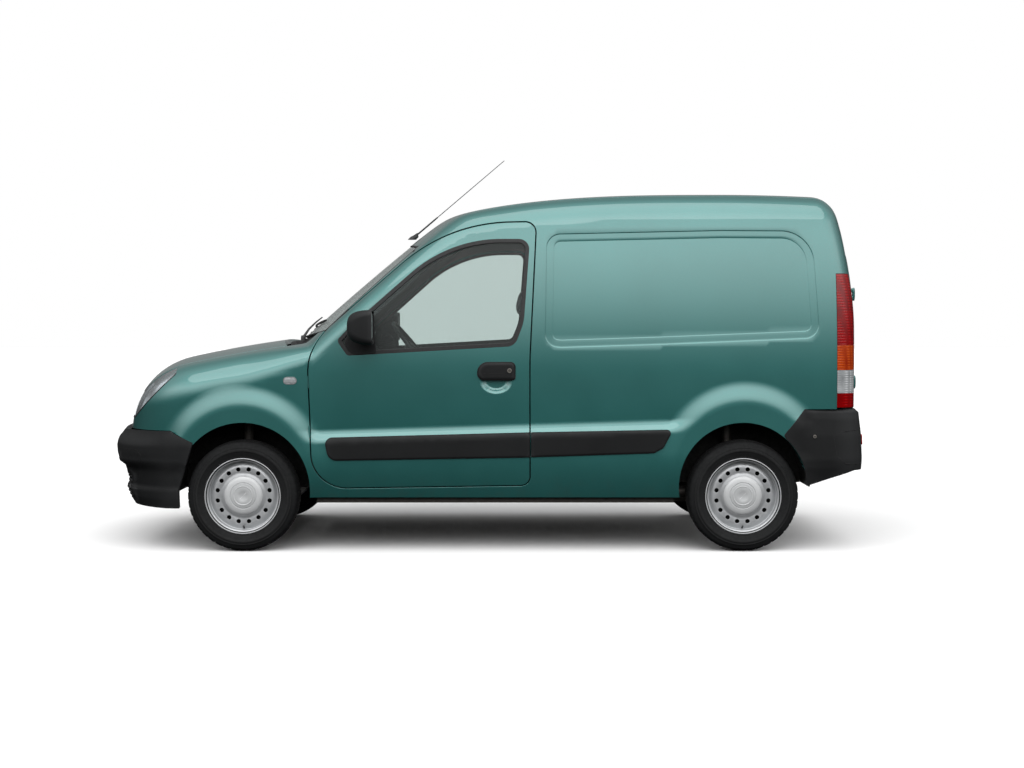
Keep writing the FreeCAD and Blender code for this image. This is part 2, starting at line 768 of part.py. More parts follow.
BONNET_STATIONS = 7
BONNET_DROP = 280.0


def tail_rays():
    columns = []
    heights = spread(REAR_DOOR_BOTTOM_Z - SHUT_GAP, REAR_DOOR_TOP_Z + SHUT_GAP, REAR_DOOR_ROWS)
    for y in spread(-REAR_DOOR_HALF_WIDTH - SHUT_GAP, REAR_DOOR_HALF_WIDTH + SHUT_GAP, REAR_DOOR_COLUMNS):
        rays = [((REAR_AXLE_X, y, z), (1.0, 0.0, 0.0)) for z in heights]
        columns.append(rays)
    return columns


def rear_window_outline(side):
    """Window of the left (-1) or right (1) rear door, in the rear view."""
    outer_low = REAR_DOOR_HALF_WIDTH - REAR_WINDOW_INSET
    outer_high = REAR_DOOR_TOP_HALF_WIDTH - REAR_WINDOW_INSET
    inner = REAR_SPLIT_Y + side * REAR_WINDOW_INSET
    top = REAR_DOOR_TOP_Z - REAR_WINDOW_TOP_INSET
    return [
        (inner, REAR_WINDOW_BOTTOM_Z, REAR_WINDOW_RADIUS),
        (side * outer_low, REAR_WINDOW_BOTTOM_Z, REAR_WINDOW_RADIUS),
        (side * outer_high, top, REAR_WINDOW_RADIUS),
        (inner, top, REAR_WINDOW_RADIUS),
    ]


def rear_door(side):
    whole = slab(tail_rays(), 0.0, REAR_DOOR_WALL).common(rear_door_prism())
    hinges = rear_hinge_half(True)
    gap = SHUT_GAP / 2
    if side < 0:
        keep = box((REAR_AXLE_X, -WIDE, 0.0), (TAIL_X, REAR_SPLIT_Y - gap, ROOF_Z))
    else:
        keep = box((REAR_AXLE_X, REAR_SPLIT_Y + gap, 0.0), (TAIL_X, WIDE, ROOF_Z))
    window = end_prism(rear_window_outline(side), REAR_AXLE_X, TAIL_X)
    panel = whole.common(keep).cut(window)
    return fused([panel, hinges if side < 0 else mirrored(hinges)])


def rear_glass(side):
    pane = slab(tail_rays(), GLASS_SINK, GLASS_SINK + GLASS_WALL)
    return pane.common(end_prism(rear_window_outline(side), REAR_AXLE_X, TAIL_X))


def front_door():
    outline = door_points(DOOR_CORNER_SHARES)
    skin_layer = door_slab(0.0, DOOR_SKIN).common(side_prism(outline))
    inner_layer = door_slab(DOOR_SKIN, DOOR_WALL).common(side_prism(outline, -DOOR_STEP))
    window = side_prism(door_points(WINDOW_CORNER_SHARES))
    return fused([skin_layer, inner_layer]).cut([window, screen_pocket(SHUT_GAP)])


def door_slab(outer, inner):
    stations = spread(DOOR_FRONT_X - SHUT_GAP, DOOR_FRONT_X + DOOR_LENGTH + SHUT_GAP, DOOR_STATIONS)
    return slab(side_rays(stations, (), CABIN_ROWS, lifts=(18, 36)), outer, inner)


DOOR_STATIONS = 10


def front_door_glass():
    window = side_prism(door_points(WINDOW_CORNER_SHARES))
    return door_slab(GLASS_SINK, GLASS_SINK + GLASS_WALL).common(window)


# Bumper sections: how far each height stands in from the furthest point
FRONT_BUMPER_SECTION = (
    (51.0, FRONT_BUMPER_TOP_Z),
    (12.0, FRONT_BUMPER_TOP_Z - 47.0),
    (0.0, FRONT_BUMPER_TOP_Z - 80.0),
    (3.0, FRONT_BUMPER_TOP_Z - 130.0),
    (12.0, FRONT_BUMPER_TOP_Z - 174.0),
    (45.0, FRONT_BUMPER_TOP_Z - 195.0),
    (54.0, FRONT_BUMPER_TOP_Z - 230.0),
    (63.0, FRONT_BUMPER_TOP_Z - 290.0),
    (50.0, FRONT_BUMPER_TOP_Z - 311.0),
    (63.0, FRONT_BUMPER_TOP_Z - 350.0),
    (97.0, FRONT_BUMPER_BOTTOM_Z),
)
REAR_BUMPER_SECTION = (
    (47.0, REAR_BUMPER_TOP_Z),
    (21.0, REAR_BUMPER_TOP_Z - 15.0),
    (5.0, REAR_BUMPER_TOP_Z - 143.0),
    (0.0, REAR_BUMPER_TOP_Z - 268.0),
    (8.0, REAR_BUMPER_TOP_Z - 327.0),
    (90.0, REAR_BUMPER_BOTTOM_Z),
)
BUMPER_PROUD = 6.0
REAR_BUMPER_CORNER = 130.0


def bumper_level(x, y, end_x, corner_radius):
    """Signed distance in plan to the outside of a bumper."""
    bow = arc_drop(y, NOSE_BOW_RADIUS if end_x < 0 else TAIL_BOW_RADIUS)
    across = abs(y) - side_y(x, TUCK_Z) - BUMPER_PROUD
    return corner(across, abs(x) - abs(end_x) + bow, corner_radius)


def bumper_point(origin_x, angle, end_x, corner_radius, inset, z):
    turn = math.radians(angle)
    way = (math.copysign(math.cos(turn), end_x), math.sin(turn))
    near = 0.0
    far = WIDE
    for _ in range(22):
        middle = (near + far) / 2
        level = bumper_level(origin_x + middle * way[0], middle * way[1], end_x, corner_radius)
        if level < -inset:
            near = middle
        else:
            far = middle
    return vector(origin_x + near * way[0], near * way[1], z)


def bumper(origin_x, end_x, corner_radius, section, angles, gap):
    rings = []
    for angle in angles:
        outer = [bumper_point(origin_x, angle, end_x, corner_radius, inset, z) for inset, z in section]
        inner = [bumper_point(origin_x, angle, end_x, corner_radius, inset + BUMPER_WALL + gap, z)
                 for inset, z in reversed(section)]
        rings.append(outer + inner)
    return facets_solid(rings)


def front_bumper(gap=0.0):
    angles = [-90, -80, -70, -60, -52, -44, -34, -22, -10]
    angles = angles + [0] + [-angle for angle in reversed(angles)]
    whole = bumper(FRONT_BUMPER_REAR_X + FRONT_BUMPER_HORN, NOSE_X, NOSE_CORNER_RADIUS,
                   FRONT_BUMPER_SECTION, angles, gap)
    left = front_bumper_prism(gap)
    return whole.common(fused([left, mirrored(left)]))


def rear_bumper(gap=0.0):
    angles = [-90, -82, -74, -68, -64, -60, -56, -48, -32, -16]
    angles = angles + [0] + [-angle for angle in reversed(angles)]
    whole = bumper(REAR_BUMPER_FRONT_X, TAIL_X, REAR_BUMPER_CORNER, REAR_BUMPER_SECTION, angles,
                   gap)
    arch = arch_cut(REAR_AXLE_X, -ARCH_SHIFT, REAR_ARCH_Z, REAR_ARCH_RADIUS)
    return whole.cut([arch, mirrored(arch)])


def ring_solid(profile, x, y, z):
    """A profile (radius, offset along Y) turned round a wheel's axis."""
    points = [vector(x, y + along, z + radius) for radius, along in profile]
    face = Part.Face(Part.makePolygon(points + [points[0]]))
    return face.revolve(vector(x, 0, z), vector(0, 1, 0), 360)


def wheel_places():
    return {
        "front_left": (FRONT_AXLE_X, -TRACK / 2),
        "front_right": (FRONT_AXLE_X, TRACK / 2),
        "rear_left": (REAR_AXLE_X, -TRACK / 2),
        "rear_right": (REAR_AXLE_X, TRACK / 2),
    }


def tyre(x, y):
    half = TYRE_WIDTH / 2
    tread = TYRE_TREAD_WIDTH / 2
    bead = RIM_BARREL / 2
    profile = [
        (BEAD_RADIUS + SEAT_GAP, -bead),
        (RIM_RADIUS + SEAT_GAP, -bead),
        (TYRE_RADIUS - TYRE_WALL_DROP, -half),
        (TYRE_RADIUS, -tread),
        (TYRE_RADIUS, tread),
        (TYRE_RADIUS - TYRE_WALL_DROP, half),
        (RIM_RADIUS + SEAT_GAP, bead),
        (BEAD_RADIUS + SEAT_GAP, bead),
    ]
    return facet_ring(profile, x, y, TYRE_RADIUS)


def facet_ring(profile, x, y, z):
    """A profile turned in flat steps, its flats at the profile's radii."""
    step_angle = 2 * math.pi / TYRE_FACETS
    grow = 1 / math.cos(step_angle / 2)
    rings = []
    for index in range(TYRE_FACETS):
        turn = (index + 0.5) * step_angle
        across, up = grow * math.cos(turn), grow * math.sin(turn)
        rings.append([vector(x + radius * across, y + along, z + radius * up) for radius, along in profile])
    return facets_solid(rings, closed=True)


TYRE_FACETS = 76
TYRE_WALL_DROP = 38.0
RIM_BARREL = 128.0
RIM_LIP = 8.0
RIM_WELL_DEPTH = 22.0
DISC_SET = 30.0
DISC_WALL = 8.0
VENT_COUNT = 16
VENT_RADIUS = 13.0
VENT_CIRCLE = 138.0
CAP_RADIUS = 100.0
CAP_DEPTH = 14.0
STUB_RADIUS = 20.0
STUB_CLEARANCE = 0.05
HUB_LENGTH = 62.0


def rim(x, y):
    """Pressed steel wheel: rolled barrel, dished disc with vents, hub, cap."""
    out = math.copysign(1.0, y)
    half = RIM_BARREL / 2
    lip = half + RIM_LIP
    barrel = [
        (RIM_RADIUS, -lip),
        (RIM_RADIUS, -half - SEAT_GAP),
        (BEAD_RADIUS, -half - SEAT_GAP),
        (BEAD_RADIUS, half + SEAT_GAP),
        (RIM_RADIUS, half + SEAT_GAP),
        (RIM_RADIUS, lip),
        (BEAD_RADIUS - RIM_WALL, lip),
        (BEAD_RADIUS - RIM_WALL, -lip),
    ]
    disc = [
        (BEAD_RADIUS - RIM_WALL / 2, DISC_SET),
        (BEAD_RADIUS - RIM_WALL / 2, DISC_SET + DISC_WALL),
        (VENT_CIRCLE + VENT_RADIUS + DISC_WALL, DISC_SET + 2.2 * DISC_WALL),
        (CAP_RADIUS - DISC_WALL, DISC_SET + 2.2 * DISC_WALL),
        (WHEEL_HUB_RADIUS, DISC_SET + DISC_WALL),
        (STUB_RADIUS + STUB_CLEARANCE, DISC_SET + DISC_WALL),
        (STUB_RADIUS + STUB_CLEARANCE, DISC_SET + DISC_WALL - HUB_LENGTH),
        (WHEEL_HUB_RADIUS, DISC_SET + DISC_WALL - HUB_LENGTH),
        (WHEEL_HUB_RADIUS, DISC_SET),
        (CAP_RADIUS - DISC_WALL, DISC_SET + 1.2 * DISC_WALL),
        (VENT_CIRCLE + VENT_RADIUS + DISC_WALL, DISC_SET + 1.2 * DISC_WALL),
    ]
    cap_base = DISC_SET + 2.2 * DISC_WALL
    cap = [
        (0.0, cap_base),
        (CAP_RADIUS, cap_base),
        (CAP_RADIUS - CAP_DEPTH / 2, cap_base + CAP_DEPTH),
        (0.0, cap_base + 1.2 * CAP_DEPTH),
    ]
    shapes = [ring_solid([(r, out * a) for r, a in profile], x, y, TYRE_RADIUS)
              for profile in (barrel, disc, cap)]
    vents = []
    for index in range(VENT_COUNT):
        turn = 2 * math.pi * index / VENT_COUNT
        place = vector(x + VENT_CIRCLE * math.cos(turn), y - WIDE / 2,
                       TYRE_RADIUS + VENT_CIRCLE * math.sin(turn))
        vents.append(Part.makeCylinder(VENT_RADIUS, WIDE, place, vector(0, 1, 0)))
    return fused(shapes).cut(vents)


# Front suspension and steering
KINGPIN_Y = 600.0
KINGPIN_LEAN_SHARE = 0.13
STRUT_RADIUS = 24.0
STRUT_TOP_Z = 800.0
STRUT_TOP_GAP = 4.0
ARM_Z = 190.0
BALL_JOINT_Z = 205.0
KNUCKLE_RADIUS = 38.0
SUBFRAME_HALF_WIDTH = 380.0
SUBFRAME_Z = 200.0
SUBFRAME_WALL = 60.0
SUBFRAME_AHEAD = 100.0
SUBFRAME_BEHIND = 180.0
SUBFRAME_FOOT = 50.0
ARM_ROOT_SET = 30.0
ARM_AHEAD = 70.0
ARM_BEHIND = 150.0
TOWER_WALL = 20.0


def kingpin(z, side):
    """A point of the steering axis at this height."""
    y = KINGPIN_Y - KINGPIN_LEAN_SHARE * (z - TYRE_RADIUS)
    return (FRONT_AXLE_X, side * y, z)


def stub_axle(x, side, from_y):
    tip = TRACK / 2 + DISC_SET + DISC_WALL - 2 * DISC_WALL
    return rod((x, side * from_y, TYRE_RADIUS), (x, side * tip, TYRE_RADIUS), STUB_RADIUS)


def knuckle(side):
    top = kingpin(TYRE_RADIUS + 2 * KNUCKLE_RADIUS, side)
    upright = rod(kingpin(BALL_JOINT_Z, side), top, KNUCKLE_RADIUS / 2)
    strut = rod(kingpin(TYRE_RADIUS, side), kingpin(STRUT_TOP_Z, side), STRUT_RADIUS)
    hub = rod((FRONT_AXLE_X, side * (KINGPIN_Y - KNUCKLE_RADIUS), TYRE_RADIUS),
              (FRONT_AXLE_X, side * (KINGPIN_Y + 1.2 * KNUCKLE_RADIUS), TYRE_RADIUS), KNUCKLE_RADIUS)
    return fused([upright, strut, hub, stub_axle(FRONT_AXLE_X, side, KINGPIN_Y)])


def subframe():
    """Cross beam under the engine, with two lower arms and a rail foot each side."""
    beam = box((FRONT_AXLE_X - SUBFRAME_AHEAD, -SUBFRAME_HALF_WIDTH, SUBFRAME_Z),
               (FRONT_AXLE_X + SUBFRAME_BEHIND, SUBFRAME_HALF_WIDTH, SUBFRAME_Z + SUBFRAME_WALL))
    shapes = [beam]
    for side in (-1, 1):
        ball = kingpin(BALL_JOINT_Z - 1.1 * STRUT_RADIUS, side)
        root_y = side * (SUBFRAME_HALF_WIDTH - ARM_ROOT_SET)
        for reach in (-ARM_AHEAD, ARM_BEHIND):
            root = (FRONT_AXLE_X + reach, root_y, SUBFRAME_Z + SUBFRAME_WALL / 2)
            shapes.append(rod(root, ball, STRUT_RADIUS / 2))
        foot_y = side * (FRONT_TUB_INNER_Y - RAIL_WIDTH / 2)
        shapes.append(box((FRONT_AXLE_X + ARM_BEHIND - RAIL_WIDTH, foot_y - SUBFRAME_FOOT / 2, SUBFRAME_Z),
                          (FRONT_AXLE_X + ARM_BEHIND, foot_y + SUBFRAME_FOOT / 2, RAIL_BOTTOM_Z - SEAT_GAP)))
        pin_ends = (kingpin(BALL_JOINT_Z - 1.5 * STRUT_RADIUS, side), kingpin(BALL_JOINT_Z - SEAT_GAP, side))
        shapes.append(rod(*pin_ends, 0.8 * STRUT_RADIUS))
    return fused(shapes)


REAR_BEAM_RADIUS = 42.0
TRAILING_ARM_Y = 560.0
TRAILING_ARM_REACH = 420.0
TRAILING_ARM_RADIUS = 30.0
DAMPER_RADIUS = 24.0
DAMPER_SET = 60.0
REAR_HUB_LENGTH = 40.0


def damper_top():
    """Height of the rear tub's crown over the outer edge of a damper."""
    reach = DAMPER_SET + DAMPER_RADIUS - ARCH_SHIFT
    return REAR_ARCH_Z + math.sqrt(REAR_TUB_RADIUS**2 - reach**2) - SEAT_GAP


def rear_axle():
    """Cross tube, trailing arms, hub ends, body mounts and dampers."""
    pivot_x = REAR_AXLE_X - TRAILING_ARM_REACH
    damper_x = REAR_AXLE_X - DAMPER_SET
    z = TYRE_RADIUS
    shapes = [rod((pivot_x, -TRAILING_ARM_Y, z), (pivot_x, TRAILING_ARM_Y, z), REAR_BEAM_RADIUS)]
    for side in (-1, 1):
        y = side * TRAILING_ARM_Y
        hub_y = side * (TRAILING_ARM_Y + REAR_HUB_LENGTH)
        shapes.append(rod((pivot_x, y, z), (REAR_AXLE_X, y, z), TRAILING_ARM_RADIUS))
        shapes.append(rod((REAR_AXLE_X, y, z), (REAR_AXLE_X, hub_y, z), 1.8 * TRAILING_ARM_RADIUS))
        shapes.append(stub_axle(REAR_AXLE_X, side, TRAILING_ARM_Y))
        shapes.append(rod((pivot_x, y, z), (pivot_x, y, LOAD_FLOOR_Z - SEAT_GAP), TRAILING_ARM_RADIUS))
        shapes.append(rod((damper_x, y, z), (damper_x, y, damper_top()), DAMPER_RADIUS))
    return fused(shapes)


FRONT_TUB_RADIUS = 372.0
FRONT_TUB_INNER_Y = 425.0
FRONT_TUB_OUTER_Y = 740.0
REAR_TUB_RADIUS = 352.0
REAR_TUB_INNER_Y = 500.0
TUB_WALL = 8.0
SILL_INNER_Y = 640.0
FIREWALL_TOP_Z = 1050.0
SILL_OUTER_Y = 760.0
SILL_LOW_Z = SILL_BOTTOM_Z - 30.0
SILL_HIGH_Z = 340.0
FIREWALL_WALL = 20.0
LOAD_FLOOR_EXTRA = 30.0
CROSS_MEMBER_SET = 110.0
CROSS_MEMBER_WALL = 40.0
CROSS_MEMBER_RISE = 20.0
CROSS_MEMBER_HALF_WIDTH = 480.0
CRASH_CAN_SET = 76.0
CRASH_CAN_RISE = 48.0
TOWER_HALF_LENGTH = 110.0
TOWER_INSET = 40.0
STRUT_HOLE_DEPTH = 250.0
FLOOR_REAR_X = TAIL_X - 110.0


def wheel_tub(x, centre_z, radius, inner_y, outer_y, low_z):
    """Half-round inner arch over a wheel, closed towards the middle."""
    width = outer_y - inner_y
    centre = vector(x, -outer_y, centre_z)
    outer = Part.makeCylinder(radius + TUB_WALL, width, centre, vector(0, 1, 0))
    hollow = Part.makeCylinder(radius, width - TUB_WALL, centre, vector(0, 1, 0))
    below = box((x - 2 * radius, -WIDE, -radius), (x + 2 * radius, 0.0, low_z))
    return outer.cut(fused([hollow, below]))


def tub_room(x, centre_z, radius, inner_y):
    """Everything inside the outer face of a wheel tub, with a seat gap."""
    reach = radius + TUB_WALL + SEAT_GAP
    return Part.makeCylinder(reach, WIDE, vector(x, -WIDE - inner_y + SEAT_GAP, centre_z), vector(0, 1, 0))


def tub_rooms():
    return [
        tub_room(FRONT_AXLE_X + ARCH_SHIFT, FRONT_ARCH_Z, FRONT_TUB_RADIUS, FRONT_TUB_INNER_Y),
        tub_room(REAR_AXLE_X - ARCH_SHIFT, REAR_ARCH_Z, REAR_TUB_RADIUS, REAR_TUB_INNER_Y),
    ]


def inside_shell(half):
    """Trims a left half to the inner faces of body sides and bumpers."""
    return half.cut([
        cabin_slab(-CUT_OVERRUN, SIDE_WALL + SEAT_GAP),
        front_bumper(3 * SEAT_GAP),
        rear_bumper(3 * SEAT_GAP),
    ])


def both_sides(half):
    return Part.makeCompound(half.Solids + mirrored(half).Solids)


def floor_pan():
    """Cab floor, load floor, the riser between them, firewall and sills."""
    load_half = FLOOR_HALF_WIDTH + LOAD_FLOOR_EXTRA
    cab = box((FIREWALL_X, -FLOOR_HALF_WIDTH, FLOOR_Z), (LOAD_FLOOR_X, 0.0, FLOOR_Z + FLOOR_WALL))
    load = box((BULKHEAD_X + BULKHEAD_WALL + SEAT_GAP, -load_half, LOAD_FLOOR_Z),
               (FLOOR_REAR_X, 0.0, LOAD_FLOOR_Z + FLOOR_WALL))
    riser = box((LOAD_FLOOR_X, -FLOOR_HALF_WIDTH, FLOOR_Z),
                (LOAD_FLOOR_X + FLOOR_WALL, 0.0, LOAD_FLOOR_Z + FLOOR_WALL - BULKHEAD_STEP))
    firewall = box((FIREWALL_X, -FLOOR_HALF_WIDTH, FLOOR_Z),
                   (FIREWALL_X + FIREWALL_WALL, 0.0, FIREWALL_TOP_Z))
    sill = box((FRONT_AXLE_X + FRONT_TUB_RADIUS, -SILL_OUTER_Y, SILL_LOW_Z),
               (REAR_AXLE_X - REAR_TUB_RADIUS, -SILL_INNER_Y, SILL_HIGH_Z))
    post = box((LOAD_FLOOR_X - FLOOR_WALL, -FLOOR_HALF_WIDTH - FLOOR_WALL, SILL_HIGH_Z),
               (LOAD_FLOOR_X + FLOOR_WALL, -FLOOR_HALF_WIDTH, LOAD_FLOOR_Z))
    half = fused([cab, load, riser, firewall, sill, post]).cut(tub_rooms())
    half = inside_shell(half)
    return fused([half, mirrored(half)])


def front_rails():
    """Two rails beside the engine, joined behind the bumper."""
    outer_y = FRONT_TUB_INNER_Y - SEAT_GAP
    inner_y = outer_y - RAIL_WIDTH
    front_x = NOSE_X + CROSS_MEMBER_SET + CROSS_MEMBER_WALL
    rail = box((front_x, -outer_y, RAIL_BOTTOM_Z), (FIREWALL_X - SEAT_GAP, -inner_y, RAIL_TOP_Z))
    cross = box((NOSE_X + CROSS_MEMBER_SET, -CROSS_MEMBER_HALF_WIDTH, RAIL_BOTTOM_Z + CROSS_MEMBER_RISE),
                (front_x, 0.0, RAIL_TOP_Z + RAIL_WIDTH))
    can = box((NOSE_X + CRASH_CAN_SET, -outer_y, RAIL_BOTTOM_Z + CRASH_CAN_RISE),
              (front_x, -inner_y, RAIL_TOP_Z))
    half = inside_shell(fused([rail, cross, can]))
    return fused([half, mirrored(half)])


def wheel_arches():
    """Inner arches over the wheels; the front ones carry the strut towers."""
    low = FRONT_AXLE_X - TOWER_HALF_LENGTH
    high = FRONT_AXLE_X + TOWER_HALF_LENGTH
    top = STRUT_TOP_Z + TOWER_WALL
    tower = box((low, -FRONT_TUB_OUTER_Y + TOWER_INSET, STRUT_TOP_Z + STRUT_TOP_GAP),
                (high, -FRONT_TUB_INNER_Y, top))
    tower_side = box((low, -FRONT_TUB_INNER_Y - TUB_WALL, FRONT_ARCH_Z), (high, -FRONT_TUB_INNER_Y, top))
    front = wheel_tub(FRONT_AXLE_X + ARCH_SHIFT, FRONT_ARCH_Z, FRONT_TUB_RADIUS, FRONT_TUB_INNER_Y,
                      FRONT_TUB_OUTER_Y, FLOOR_Z)
    strut_hole = rod(kingpin(STRUT_TOP_Z - STRUT_HOLE_DEPTH, -1), kingpin(STRUT_TOP_Z + STRUT_TOP_GAP, -1),
                     2.2 * STRUT_RADIUS)
    rear = wheel_tub(REAR_AXLE_X - ARCH_SHIFT, REAR_ARCH_Z, REAR_TUB_RADIUS, REAR_TUB_INNER_Y, HALF_WIDTH,
                     TYRE_RADIUS + TRAILING_ARM_RADIUS + 3 * SHUT_GAP)
    halves = [inside_shell(fused([front.cut(strut_hole), tower, tower_side])), inside_shell(rear)]
    return Part.makeCompound([solid for half in halves for solid in both_sides(half).Solids])


SEAT_X = -90.0
SEAT_WIDTH = 470.0
SEAT_LENGTH = 530.0
SEAT_BACK_HEIGHT = 620.0
SEAT_Y = 370.0
SEAT_BASE_Z = FLOOR_Z + FLOOR_WALL
SEAT_CUSHION_Z = 640.0
SEAT_BASE_OVERLAP = 5.0
HEADREST_PIN_RADIUS = 6.0
# Side view corners with their radii: lengths in seat lengths from SEAT_X, heights in back heights
CUSHION_SHARES = (
    (-0.566, -0.242, 0.057),
    (0.434, -0.242, 0.057),
    (0.434, -0.065, 0.057),
    (-0.566, 0.0, 0.094),
)
BACK_SHARES = (
    (0.283, -0.097, 0.075),
    (0.509, -0.129, 0.075),
    (0.755, 0.871, 0.075),
    (0.566, 0.903, 0.075),
)
HEADREST_SHARES = (
    (0.5, 0.96, 0.047),
    (0.689, 0.927, 0.047),
    (0.726, 1.177, 0.066),
    (0.547, 1.202, 0.066),
)
SEAT_FOOT_SHARES = (-0.415, 0.377)
HEADREST_PIN_SHARES = ((0.585, 0.806), (0.623, 0.984))
SEAT_FOOT_WIDTH_SHARE = 0.8
HEADREST_WIDTH_SHARE = 0.55
HEADREST_PIN_SHARE = 0.255


def seat_place(u, v):
    return SEAT_X + u * SEAT_LENGTH, SEAT_CUSHION_Z + v * SEAT_BACK_HEIGHT


def seat_points(shares):
    return [(*seat_place(u, v), r * SEAT_LENGTH) for u, v, r in shares]


def seat():
    """Left seat: cushion, back, headrest on two pins and its foot."""
    half = SEAT_WIDTH / 2
    front, rear = (SEAT_X + share * SEAT_LENGTH for share in SEAT_FOOT_SHARES)
    top = SEAT_CUSHION_Z + CUSHION_SHARES[0][1] * SEAT_BACK_HEIGHT + SEAT_BASE_OVERLAP
    foot = [(front, SEAT_BASE_Z, 0.0), (rear, SEAT_BASE_Z, 0.0), (rear, top, 0.0), (front, top, 0.0)]
    parts = [
        (seat_points(CUSHION_SHARES), half),
        (seat_points(BACK_SHARES), half),
        (foot, SEAT_FOOT_WIDTH_SHARE * half),
        (seat_points(HEADREST_SHARES), HEADREST_WIDTH_SHARE * half),
    ]
    shapes = [side_prism(points, 0.0, SEAT_Y - wide, SEAT_Y + wide) for points, wide in parts]
    for side in (-1, 1):
        y = -SEAT_Y + side * HEADREST_PIN_SHARE * half
        ends = [seat_place(u, v) for u, v in HEADREST_PIN_SHARES]
        shapes.append(rod(*[(x, y, z) for x, z in ends], HEADREST_PIN_RADIUS))
    return fused(shapes)


DASH_HALF_WIDTH = 660.0
DASH_LENGTH = 382.5
DASH_HEIGHT = 415.0
DASH_LOW_Z = 620.0
# Side view corners with their radii, as shares of the dashboard's box behind the firewall
DASH_SHARES = ((0.0, 0.53, 0.0), (0.739, 0.0, 0.105), (0.948, 0.193, 0.105), (1.0, 0.747, 0.157),
               (0.739, 0.988, 0.157), (0.0, 1.0, 0.0))
WHEEL_CENTRE = (-368.0, -SEAT_Y, 1043.0)
STEERING_RADIUS = 183.0
STEERING_RIM_RADIUS = 12.0
STEERING_FACETS = 28
STEERING_RIM_FACETS = 8
COLUMN_RADIUS = 24.0
COLUMN_LENGTH = 290.0
HUB_SET = 40.0
HUB_PROUD = 5.0
SPOKE_SET = 8.0
COLUMN_WAY_SHARES = (0.78, 0.0, 0.625)


def along_column(distance):
    return tuple(c + distance * w for c, w in zip(WHEEL_CENTRE, COLUMN_WAY_SHARES))


def dashboard():
    """Dashboard across the cab, with the steering column."""
    front = FIREWALL_X + FIREWALL_WALL
    points = [(front + u * DASH_LENGTH, DASH_LOW_Z + v * DASH_HEIGHT, r * DASH_LENGTH)
              for u, v, r in DASH_SHARES]
    half = side_prism(points, 0.0, 0.0, DASH_HALF_WIDTH)
    column = rod(along_column(-HUB_SET - COLUMN_LENGTH), along_column(-HUB_SET), 1.6 * COLUMN_RADIUS)
    return fused([half, mirrored(half), column])


def steering_wheel():
    """Faceted rim, three spokes and a hub that clears the column by a seat gap."""
    across = vector(0.0, 1.0, 0.0)
    down = vector(COLUMN_WAY_SHARES[2], 0.0, -COLUMN_WAY_SHARES[0])
    rings = []
    for turn in spread(0.0, 2 * math.pi, STEERING_FACETS)[:-1]:
        way = down * math.cos(turn) + across * math.sin(turn)
        ring = []
        for roll in spread(0.0, 2 * math.pi, STEERING_RIM_FACETS)[:-1]:
            reach = STEERING_RADIUS + STEERING_RIM_RADIUS * math.cos(roll)
            lift = vector(*COLUMN_WAY_SHARES) * (STEERING_RIM_RADIUS * math.sin(roll))
            ring.append(vector(*WHEEL_CENTRE) + way * reach + lift)
        rings.append(ring)
    rim_part = facets_solid(rings, closed=True)
    hub = rod(along_column(-HUB_SET + SEAT_GAP), along_column(HUB_PROUD), 3 * COLUMN_RADIUS)
    spokes = []
    for way in (across, -across, down):
        tip = vector(*WHEEL_CENTRE) + way * STEERING_RADIUS
        spokes.append(rod(along_column(-SPOKE_SET), tuple(tip), 0.9 * STEERING_RIM_RADIUS))
    return fused([rim_part, hub] + spokes)


EXHAUST_Z = 215.0
EXHAUST_PIPE_RADIUS = 25.0
TAIL_PIPE_RADIUS = 22.0
TAIL_PIPE_END = (REAR_AXLE_X + 517.5, 330.0, EXHAUST_Z + 60.0)
MANIFOLD_Y = 120.0
MANIFOLD_Z = 360.0
MANIFOLD_LENGTH = 45.0
DOWNPIPE_REACH = 85.0
MUFFLER_X = REAR_AXLE_X - 312.5
MUFFLER_LENGTH = 400.0
MUFFLER_RADIUS = 70.0
MUFFLER_Y = 250.0
HANGER_RADIUS = 8.0
HANGER_SET = 50.0


def exhaust():
    """Pipe from the engine's rear face, silencer on two hangers, tail pipe."""
    bend_x = ENGINE_REAR_X + MANIFOLD_LENGTH
    low_x = bend_x + DOWNPIPE_REACH
    top = (bend_x, MANIFOLD_Y, MANIFOLD_Z)
    low = (low_x, MANIFOLD_Y, EXHAUST_Z)
    front = (MUFFLER_X, MUFFLER_Y, EXHAUST_Z)
    rear = (MUFFLER_X + MUFFLER_LENGTH, MUFFLER_Y, EXHAUST_Z)
    radius = EXHAUST_PIPE_RADIUS
    shapes = [
        rod((ENGINE_REAR_X + SEAT_GAP, MANIFOLD_Y, MANIFOLD_Z), top, radius),
        Part.makeSphere(radius, vector(*top)),
        rod(top, low, radius),
        Part.makeSphere(radius, vector(*low)),
        rod(low, (front[0] + SHUT_GAP, MUFFLER_Y, EXHAUST_Z), radius),
        rod(front, rear, MUFFLER_RADIUS),
        rod(rear, TAIL_PIPE_END, TAIL_PIPE_RADIUS),
    ]
    for x in (front[0] + HANGER_SET, rear[0] - HANGER_SET):
        shapes.append(rod((x, MUFFLER_Y, EXHAUST_Z), (x, MUFFLER_Y, LOAD_FLOOR_Z - SEAT_GAP), HANGER_RADIUS))
    return fused(shapes)


TANK_X = LOAD_FLOOR_X + 102.5
TANK_LENGTH = 440.0
TANK_LEFT_Y = -520.0
TANK_RIGHT_Y = 120.0


def fuel_tank():
    return box((TANK_X, TANK_LEFT_Y, FLOOR_Z), (TANK_X + TANK_LENGTH, TANK_RIGHT_Y, LOAD_FLOOR_Z - SEAT_GAP))


SPARE_X = REAR_AXLE_X + 227.5
SPARE_Y = -120.0
SPARE_RADIUS = 280.0
SPARE_WIDTH = 150.0
SPARE_WELL_RADIUS = 170.0
SPARE_WELL_DEPTH = 60.0
SPARE_DROP = 40.0
SPARE_POST_RADIUS = 15.0


